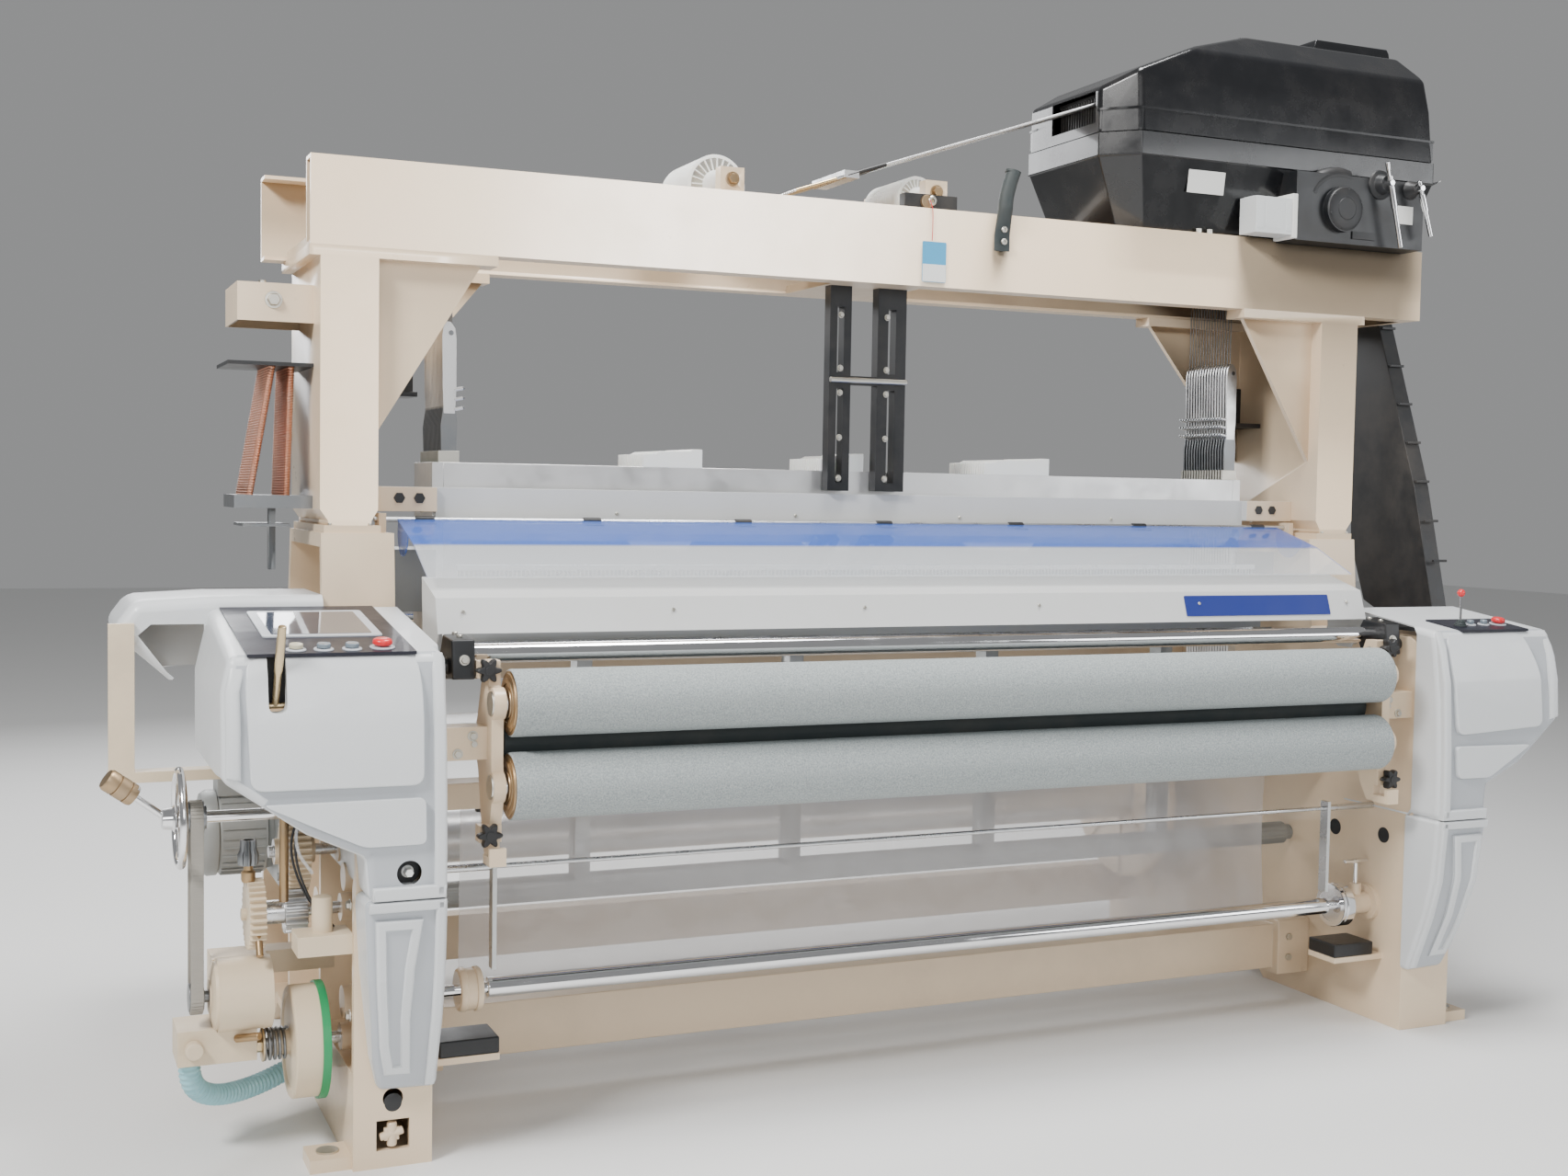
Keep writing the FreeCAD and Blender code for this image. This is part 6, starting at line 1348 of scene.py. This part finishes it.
def left_gearing():
    """Hand wheel, gears, brake, gearbox and small wiring of the left end."""
    dressed("left_gearbox", "gear_paint", 2.5, slot="gear_beige",
            areas=[("belt", lambda x, y, z: -1688 < x < -1660 and z > 300 and y < -460 and not (z < 340 and x > -1661)),
                   ("green", lambda x, y, z: -1447 < x < -1429
                    and math.hypot(y - DRUM_AXIS[0], z - DRUM_AXIS[1]) < 119)])
    hand_wheel()
    dressed("input_pulley", "dark_steel", 1.0, slot="steel")
    belt_ribs()
    dressed("take_up_gear", "gear_paint", 1.0, slot="gear_beige",
            areas=[("steel", lambda x, y, z: math.hypot(y - GEAR_AXIS[0], z - GEAR_AXIS[1]) < 13)])
    face = bmesh.new()
    add_turned(face, (-1500, *GEAR_AXIS), (-1, 0, 0), [(-2, 62), (3, 62), (4, 58), (4, 50), (1, 47), (1, 30)], 44)
    for angle in ring_angles(5):
        add_turned(face, (-1500, GEAR_AXIS[0] + 40 * math.cos(angle), GEAR_AXIS[1] + 40 * math.sin(angle)),
                   (-1, 0, 0), [(0, 9), (2.5, 8.5), (2.5, 6), (0.4, 5.5)], 20)
    as_piece("gear_face", face, "gear_paint", body_of("take_up_gear"), slot="gear_beige")
    dressed("take_up_pinion", "steel", 0.8, slot="steel", areas=[("gear_paint", lambda x, y, z: x < -1545)])
    brake()
    left_details()


def left_details():
    """Posts, wires, hoses and bolts between the gears."""
    brassy = bmesh.new()
    add_rod(brassy, (-1512, -540, 520), (-1512, -540, 700), 9, 24)
    add_turned(brassy, (-1575, -500, 556), (0, 0, 1), [(0, 12), (6, 14), (20, 14), (24, 9), (84, 9)], 28)
    add_rod(brassy, (-1560, -560, 420), (-1560, -540, 455), 7, 20)
    add_rod(brassy, (-1600, -520, 250), (-1560, -560, 262), 8, 20)
    as_piece("brass_posts", brassy, "old_brass", slot="brass")
    cups = bmesh.new()
    join_rings(cups, [[cups.verts.new((-1575 + (radius + 1.6 * math.cos(12 * a)) * math.cos(a),
                                       -500 + (radius + 1.6 * math.cos(12 * a)) * math.sin(a), level))
                       for a in ring_angles(72)]
                      for level, radius in ((590, 17), (598, 19), (612, 19), (620, 15), (640, 14))])
    as_piece("worm_sleeve", cups, "dark_steel", slot="steel")
    wires = bmesh.new()
    for offset in (20, 27):
        add_tube(wires, smooth_line([(-1440, -600 + offset, 820), (-1462 - offset * 0.5, -620 + offset, 740),
                                     (-1478 - offset, -612 + offset, 640), (-1460 - offset * 0.6, -600 + offset, 540),
                                     (-1420, -590 + offset, 470)]), 2.4, 8)
    as_piece("left_wires", wires, "black_moulding", slot="black_plastic")
    pale = bmesh.new()
    add_tube(pale, smooth_line([(-1395, -560, 800), (-1450, -640, 790), (-1500, -650, 700), (-1500, -640, 640),
                                (-1470, -620, 590)]), 3.2, 8)
    as_piece("pale_tubes", pale, "clear", slot="clear_film")
    bolts = bmesh.new()
    for angle in ring_angles(6):
        add_bolt(bolts, (-1636, PULLEY_AXIS[0] + 58 * math.cos(angle), PULLEY_AXIS[1] + 58 * math.sin(angle)),
                 (-1, 0, 0), 6)
    for y, z in ((-600, 900), (-300, 900), (-600, 640), (-300, 640), (-610, 520), (-610, 300), (-300, 180)):
        add_bolt(bolts, (-1395, y, z), (-1, 0, 0), 9)
    for side in SIDES:
        for y in (-590, 590):
            add_turned(bolts, (side * 1435, y, 26), (0, 0, 1), [(0, 22), (4, 22), (4, 12)], 24)
    as_piece("left_bolts", bolts, "zinc")
    block = bmesh.new()
    add_turned(block, (-1636, *PULLEY_AXIS), (-1, 0, 0), [(-2, 68), (6, 66), (10, 50), (12, 36)], 48)
    add_block(block, (-1500, -640, 430), (-1395, -560, 470))
    add_rod(block, (-1448, -600, 455), (-1448, -600, 540), 20)
    add_turned(block, (-1590, -470, 273), (0, 0, 1), [(0, 26), (24, 24), (30, 16), (52, 14)], 32)
    add_rod(block, (-1680, -520, 238), (-1680, -545, 238), 18)
    as_piece("gearbox_bosses", block, "gear_paint", "frame", 1.0, 2, 35, slot="gear_beige")


def spring_pack():
    """Return springs with their bracket and plates."""
    dressed("return_springs", "copper", 0.0, slot="copper_springs",
            areas=[("enamel", lambda x, y, z: z > 1680), ("black_paint", lambda x, y, z: 1594 < z < 1606 and x < -1396),
                   ("dark_steel", lambda x, y, z: z < 1319)])
    coils = bmesh.new()
    for row, (top, low) in enumerate(((-1480, -1530), (-1440, -1450))):
        for index in range(8):
            y = -130 + index * 24 + row * 6
            add_tube(coils, helix((top, y, 1598), (low, y, 1306), 7.2, 52, 8), 1.7, 5)
    as_piece("spring_coils", coils, "copper", slot="copper_springs", sharp=60)
    bolts = bmesh.new()
    add_bolt(bolts, (-1480, -150, 1736), (0, -1, 0), 14)
    for y in (-120, 30):
        add_bolt(bolts, (-1500, y, 1772), (0, 0, 1), 8)
    as_piece("spring_bolts", bolts, "zinc")


HOSE_ROUTE = [(-1.684, -0.470, 0.203), (-1.684, -0.470, 0.168), (-1.668, -0.455, 0.134), (-1.634, -0.425, 0.110),
              (-1.586, -0.385, 0.098), (-1.530, -0.345, 0.098), (-1.478, -0.315, 0.108), (-1.435, -0.300, 0.122),
              (-1.395, -0.300, 0.122)]
HOSE_STEPS = 240
STEPS_PER_RIB = 6


def evenly(points, total, steps):
    """Points at equal distances along a line of points."""
    lengths = [(b - a).length for a, b in zip(points, points[1:])]
    fine = []
    walked, index = 0.0, 0
    for step in range(steps + 1):
        target = total * step / steps
        while index < len(lengths) - 1 and walked + lengths[index] < target:
            walked += lengths[index]
            index += 1
        share = min(max((target - walked) / lengths[index], 0), 1)
        fine.append(points[index] * (1 - share) + points[index + 1] * share)
    return fine


def drain_hose():
    """Ribbed drain hose from the valve block to the frame."""
    curve = bpy.data.curves.new("hose_route", "CURVE")
    curve.dimensions = "3D"
    line = curve.splines.new("NURBS")
    line.points.add(len(HOSE_ROUTE) - 1)
    for place, point in zip(line.points, HOSE_ROUTE):
        place.co = (*point, 1.0)
    line.order_u = 3
    line.use_endpoint_u = True
    line.resolution_u = 24
    guide = linked("hose_route", curve)
    bpy.context.view_layer.update()
    sampled = bpy.data.meshes.new_from_object(guide.evaluated_get(bpy.context.evaluated_depsgraph_get()))
    points = [vertex.co.copy() for vertex in sampled.vertices]
    bpy.data.objects.remove(guide)
    total = sum((b - a).length for a, b in zip(points, points[1:]))
    mesh = bmesh.new()
    add_tube(mesh, [point / MM for point in evenly(points, total, HOSE_STEPS)],
             lambda number: 20.2 + 1.8 * math.cos(number * 2 * math.pi / STEPS_PER_RIB), 28)
    piece = as_piece("drain_hose", mesh, "hose", replaces=("water_hose",), slot="hose_blue", sharp=70)
    piece.modifiers.remove(piece.modifiers["Shading"])


def beam_fittings():
    """Pipe bracket, relay box and blank tag on the top beam."""
    pipe = bmesh.new()
    rings = []
    for point in smooth_line([(264, -236, 1950), (264, -236, 2010), (264, -238, 2070), (272, -240, 2110),
                              (282, -242, 2142)]):
        share = min(max((point.z - 1990) / 60, 0), 1)
        wide, deep = 22 - 3 * share, 4 + 13 * share
        rings.append([pipe.verts.new(point + Vector((wide * math.cos(a), deep * math.sin(a) - deep + 4, 0)))
                      for a in ring_angles(28)])
    join_rings(pipe, rings)
    add_turned(pipe, (282, -250, 2140), (0.25, 0, 1), [(0, 19.5), (6, 19.5), (6, 15)], 28)
    as_piece("pipe_bracket", pipe, "dark_rubber", slot="black_plastic")
    bolts = bmesh.new()
    for z in (1972, 2002):
        add_screw(bolts, (264, -244, z), (0, -1, 0), 8)
    add_screw(bolts, (75, -214, 2061), (0, -1, 0), 12)
    as_piece("pipe_bolts", bolts, "zinc")
    blocks("relay_box", "black_moulding", "frame", [((3, -214, 2041), (148, -182, 2077))], width=2, angle=30,
           slot="black_plastic")
    turned("relay_cap", "old_brass", "frame", (62, -214, 2058), (0, -1, 0), [(0, 17), (6, 16), (8, 12)], 28,
           slot="brass")
    string = bmesh.new()
    add_tube(string, smooth_line([(66, -224, 2062), (70, -231, 2040), (71, -232, 2000), (70, -232, 1962)]), 1.1, 6)
    as_piece("tag_string", string, "red_string", slot="red_plastic")
    tag = bmesh.new()
    outline = softened_outline([(44, 1862), (110, 1862), (110, 1960), (44, 1960)], 3, 2)
    join_rings(tag, [[tag.verts.new((x, y, z)) for x, z in outline] for y in (-232, -231)])
    as_piece("hang_tag", tag, "tag", slot="white_plastic")
    blocks("hang_tag_foot", "white", "frame", [((45, -232.6, 1863), (109, -232.1, 1905))], slot="white_plastic")


# ------------------------------------------------------------------ stage
LIGHTS = (("key", (-4.6, -2.6, 4.6), (0, -0.5, 0.9), 1.6, 380, (1.0, 0.99, 0.975)),
          ("fill", (4.6, -4.6, 2.4), (0.3, 0, 1.0), 3.0, 90, (0.96, 0.98, 1.0)),
          ("front", (-1.6, -6.0, 2.6), (0, 0, 0.9), 3.0, 90, (1.0, 1.0, 1.0)),
          ("top", (0.6, -0.9, 5.6), (0, -0.5, 1.0), 2.4, 330, (1, 1, 1)),
          ("back", (-1.0, 5.0, 3.6), (0, 0, 1.2), 3.5, 190, (0.97, 0.98, 1.0)))
LIGHT_SHAPE = 0.6                   # height of a light over its width
CAMERA_PLACE = (-2.03009, -4.13212, 1.3408)
CAMERA_TURN = (0.41541, -0.05285, 0.01686)      # yaw, pitch and roll
CAMERA_LENS, CAMERA_SENSOR = 41.15, 36


def lay_floor():
    """Pale floor that belongs to the stage."""
    grid = bmesh.new()
    bmesh.ops.create_grid(grid, x_segments=2, y_segments=2, size=20)
    data = bpy.data.meshes.new("floor")
    grid.to_mesh(data)
    grid.free()
    paint = bpy.data.materials.new("studio_floor")
    paint.use_nodes = True
    shader = paint.node_tree.nodes["Principled BSDF"]
    shader.inputs["Base Color"].default_value = (0.78, 0.78, 0.77, 1)
    shader.inputs["Roughness"].default_value = 0.75
    data.materials.append(paint)
    linked("floor", data)


def place_camera():
    """Camera with its lens, place and turn."""
    yaw, pitch, roll = CAMERA_TURN
    ahead = Vector((math.sin(yaw) * math.cos(pitch), math.cos(yaw) * math.cos(pitch), math.sin(pitch)))
    level = Vector((math.cos(yaw), -math.sin(yaw), 0))
    upward = level.cross(ahead)
    right = level * math.cos(roll) + upward * math.sin(roll)
    top = upward * math.cos(roll) - level * math.sin(roll)
    eye = bpy.data.cameras.new("camera")
    eye.lens = CAMERA_LENS
    eye.sensor_width = CAMERA_SENSOR
    eye.clip_end = 100
    camera = linked("camera", eye)
    camera.matrix_world = Matrix.Translation(CAMERA_PLACE) @ Matrix((right, top, -ahead)).transposed().to_4x4()
    bpy.context.scene.camera = camera


def stage():
    """Pale floor, soft lights and the camera."""
    lay_floor()
    world = bpy.data.worlds.new("studio")
    bpy.context.scene.world = world
    world.use_nodes = True
    sky = world.node_tree.nodes["Background"]
    sky.inputs["Color"].default_value = (0.98, 0.99, 1.0, 1)
    sky.inputs["Strength"].default_value = 0.3
    for name, place, aim, size, power, tint in LIGHTS:
        lamp = bpy.data.lights.new(name, "AREA")
        lamp.shape = "RECTANGLE"
        lamp.size = size
        lamp.size_y = size * LIGHT_SHAPE
        lamp.energy = power
        lamp.color = tint
        holder = linked(name, lamp)
        holder.location = place
        holder.rotation_euler = (Vector(aim) - Vector(place)).to_track_quat("-Z", "Y").to_euler()
    place_camera()


# ------------------------------------------------------------------ operators
class LOOM_OT_castings(bpy.types.Operator):
    """Side frames, posts, beams and cast brackets."""
    bl_idname = "loom.castings"
    bl_label = "Castings and beams"

    def execute(self, context):
        """Run the step."""
        castings()
        return {"FINISHED"}


class LOOM_OT_covers(bpy.types.Operator):
    """Grey moulded covers of both ends."""
    bl_idname = "loom.covers"
    bl_label = "Moulded covers"

    def execute(self, context):
        """Run the step."""
        covers()
        return {"FINISHED"}


class LOOM_OT_controls(bpy.types.Operator):
    """Switch panels with screen, buttons and levers."""
    bl_idname = "loom.controls"
    bl_label = "Switch panels and levers"

    def execute(self, context):
        """Run the step."""
        controls()
        return {"FINISHED"}


class LOOM_OT_breast(bpy.types.Operator):
    """Breast bar, hood, end blocks, plate and heald shield."""
    bl_idname = "loom.breast"
    bl_label = "Breast, hood and shield"

    def execute(self, context):
        """Run the step."""
        breast()
        return {"FINISHED"}


class LOOM_OT_clear_parts(bpy.types.Operator):
    """Splash cover with its protective film and the hanging drip film."""
    bl_idname = "loom.clear_parts"
    bl_label = "Splash cover and film"

    def execute(self, context):
        """Run the step."""
        clear_parts()
        return {"FINISHED"}


class LOOM_OT_rollers(bpy.types.Operator):
    """Take-up rollers with covering, end caps and journals."""
    bl_idname = "loom.rollers"
    bl_label = "Take-up rollers"

    def execute(self, context):
        """Run the step."""
        rollers()
        return {"FINISHED"}


class LOOM_OT_knobs(bpy.types.Operator):
    """Star knobs of the roller brackets."""
    bl_idname = "loom.knobs"
    bl_label = "Star knobs"

    def execute(self, context):
        """Run the step."""
        knobs()
        return {"FINISHED"}


class LOOM_OT_healds(bpy.types.Operator):
    """Heald frames with white guides, links and hook packs."""
    bl_idname = "loom.healds"
    bl_label = "Heald frames"

    def execute(self, context):
        """Run the step."""
        healds()
        return {"FINISHED"}


class LOOM_OT_sheaves_and_bars(bpy.types.Operator):
    """White cord sheaves and the drawbars with their joints."""
    bl_idname = "loom.sheaves_and_bars"
    bl_label = "Sheaves and drawbars"

    def execute(self, context):
        """Run the step."""
        sheaves_and_bars()
        return {"FINISHED"}


class LOOM_OT_dobby(bpy.types.Operator):
    """Glossy dobby housing, its gearbox, servo motor, levers and belt duct."""
    bl_idname = "loom.dobby"
    bl_label = "Dobby"

    def execute(self, context):
        """Run the step."""
        dobby()
        return {"FINISHED"}


class LOOM_OT_cloth_parts(bpy.types.Operator):
    """Cloth beam, its bearing handle and the presser rod."""
    bl_idname = "loom.cloth_parts"
    bl_label = "Cloth beam"

    def execute(self, context):
        """Run the step."""
        cloth_parts()
        return {"FINISHED"}


class LOOM_OT_rear_parts(bpy.types.Operator):
    """Warp beam, back rest, sley and main motor."""
    bl_idname = "loom.rear_parts"
    bl_label = "Warp beam, back rest and motor"

    def execute(self, context):
        """Run the step."""
        rear_parts()
        return {"FINISHED"}


class LOOM_OT_left_gearing(bpy.types.Operator):
    """Hand wheel, gears, brake, gearbox and small wiring of the left end."""
    bl_idname = "loom.left_gearing"
    bl_label = "Left gearing"

    def execute(self, context):
        """Run the step."""
        left_gearing()
        return {"FINISHED"}


class LOOM_OT_spring_pack(bpy.types.Operator):
    """Return springs with their bracket and plates."""
    bl_idname = "loom.spring_pack"
    bl_label = "Return springs"

    def execute(self, context):
        """Run the step."""
        spring_pack()
        return {"FINISHED"}


class LOOM_OT_drain_hose(bpy.types.Operator):
    """Ribbed drain hose from the valve block to the frame."""
    bl_idname = "loom.drain_hose"
    bl_label = "Drain hose"

    def execute(self, context):
        """Run the step."""
        drain_hose()
        return {"FINISHED"}


class LOOM_OT_beam_fittings(bpy.types.Operator):
    """Pipe bracket, relay box and blank tag on the top beam."""
    bl_idname = "loom.beam_fittings"
    bl_label = "Beam fittings"

    def execute(self, context):
        """Run the step."""
        beam_fittings()
        return {"FINISHED"}


class LOOM_OT_stage(bpy.types.Operator):
    """Pale floor, soft lights and the camera."""
    bl_idname = "loom.stage"
    bl_label = "Stage"

    def execute(self, context):
        """Run the step."""
        stage()
        return {"FINISHED"}


STEPS = (LOOM_OT_castings, LOOM_OT_covers, LOOM_OT_controls, LOOM_OT_breast,
         LOOM_OT_clear_parts, LOOM_OT_rollers, LOOM_OT_knobs, LOOM_OT_healds,
         LOOM_OT_sheaves_and_bars, LOOM_OT_dobby, LOOM_OT_cloth_parts, LOOM_OT_rear_parts,
         LOOM_OT_left_gearing, LOOM_OT_spring_pack, LOOM_OT_drain_hose, LOOM_OT_beam_fittings,
         LOOM_OT_stage)


class LOOM_PT_build(bpy.types.Panel):
    """Sidebar panel that lists the build steps."""
    bl_idname = "LOOM_PT_build"
    bl_label = "Power loom"
    bl_space_type = "VIEW_3D"
    bl_region_type = "UI"
    bl_category = "Loom"

    def draw(self, context):
        """Settings first, then one button for each step."""
        for group in (context.scene.loom_sizes, context.scene.loom_colours):
            for name in group.__annotations__:
                self.layout.prop(group, name)
        for step in STEPS:
            self.layout.operator(step.bl_idname)


CLASSES = [LoomColours, LoomSizes, *STEPS, LOOM_PT_build]


def register():
    """Register the classes and put the settings on the scene."""
    for item in CLASSES:
        bpy.utils.register_class(item)
    bpy.types.Scene.loom_colours = bpy.props.PointerProperty(type=LoomColours)
    bpy.types.Scene.loom_sizes = bpy.props.PointerProperty(type=LoomSizes)


def unregister():
    """Take the settings and classes away again."""
    del bpy.types.Scene.loom_sizes
    del bpy.types.Scene.loom_colours
    for item in reversed(CLASSES):
        bpy.utils.unregister_class(item)


def main():
    """Run every step."""
    register()
    MATERIALS.update(make_materials())
    for step in STEPS:
        getattr(bpy.ops.loom, step.bl_idname.split(".")[1])()


if __name__ == "__main__":
    main()
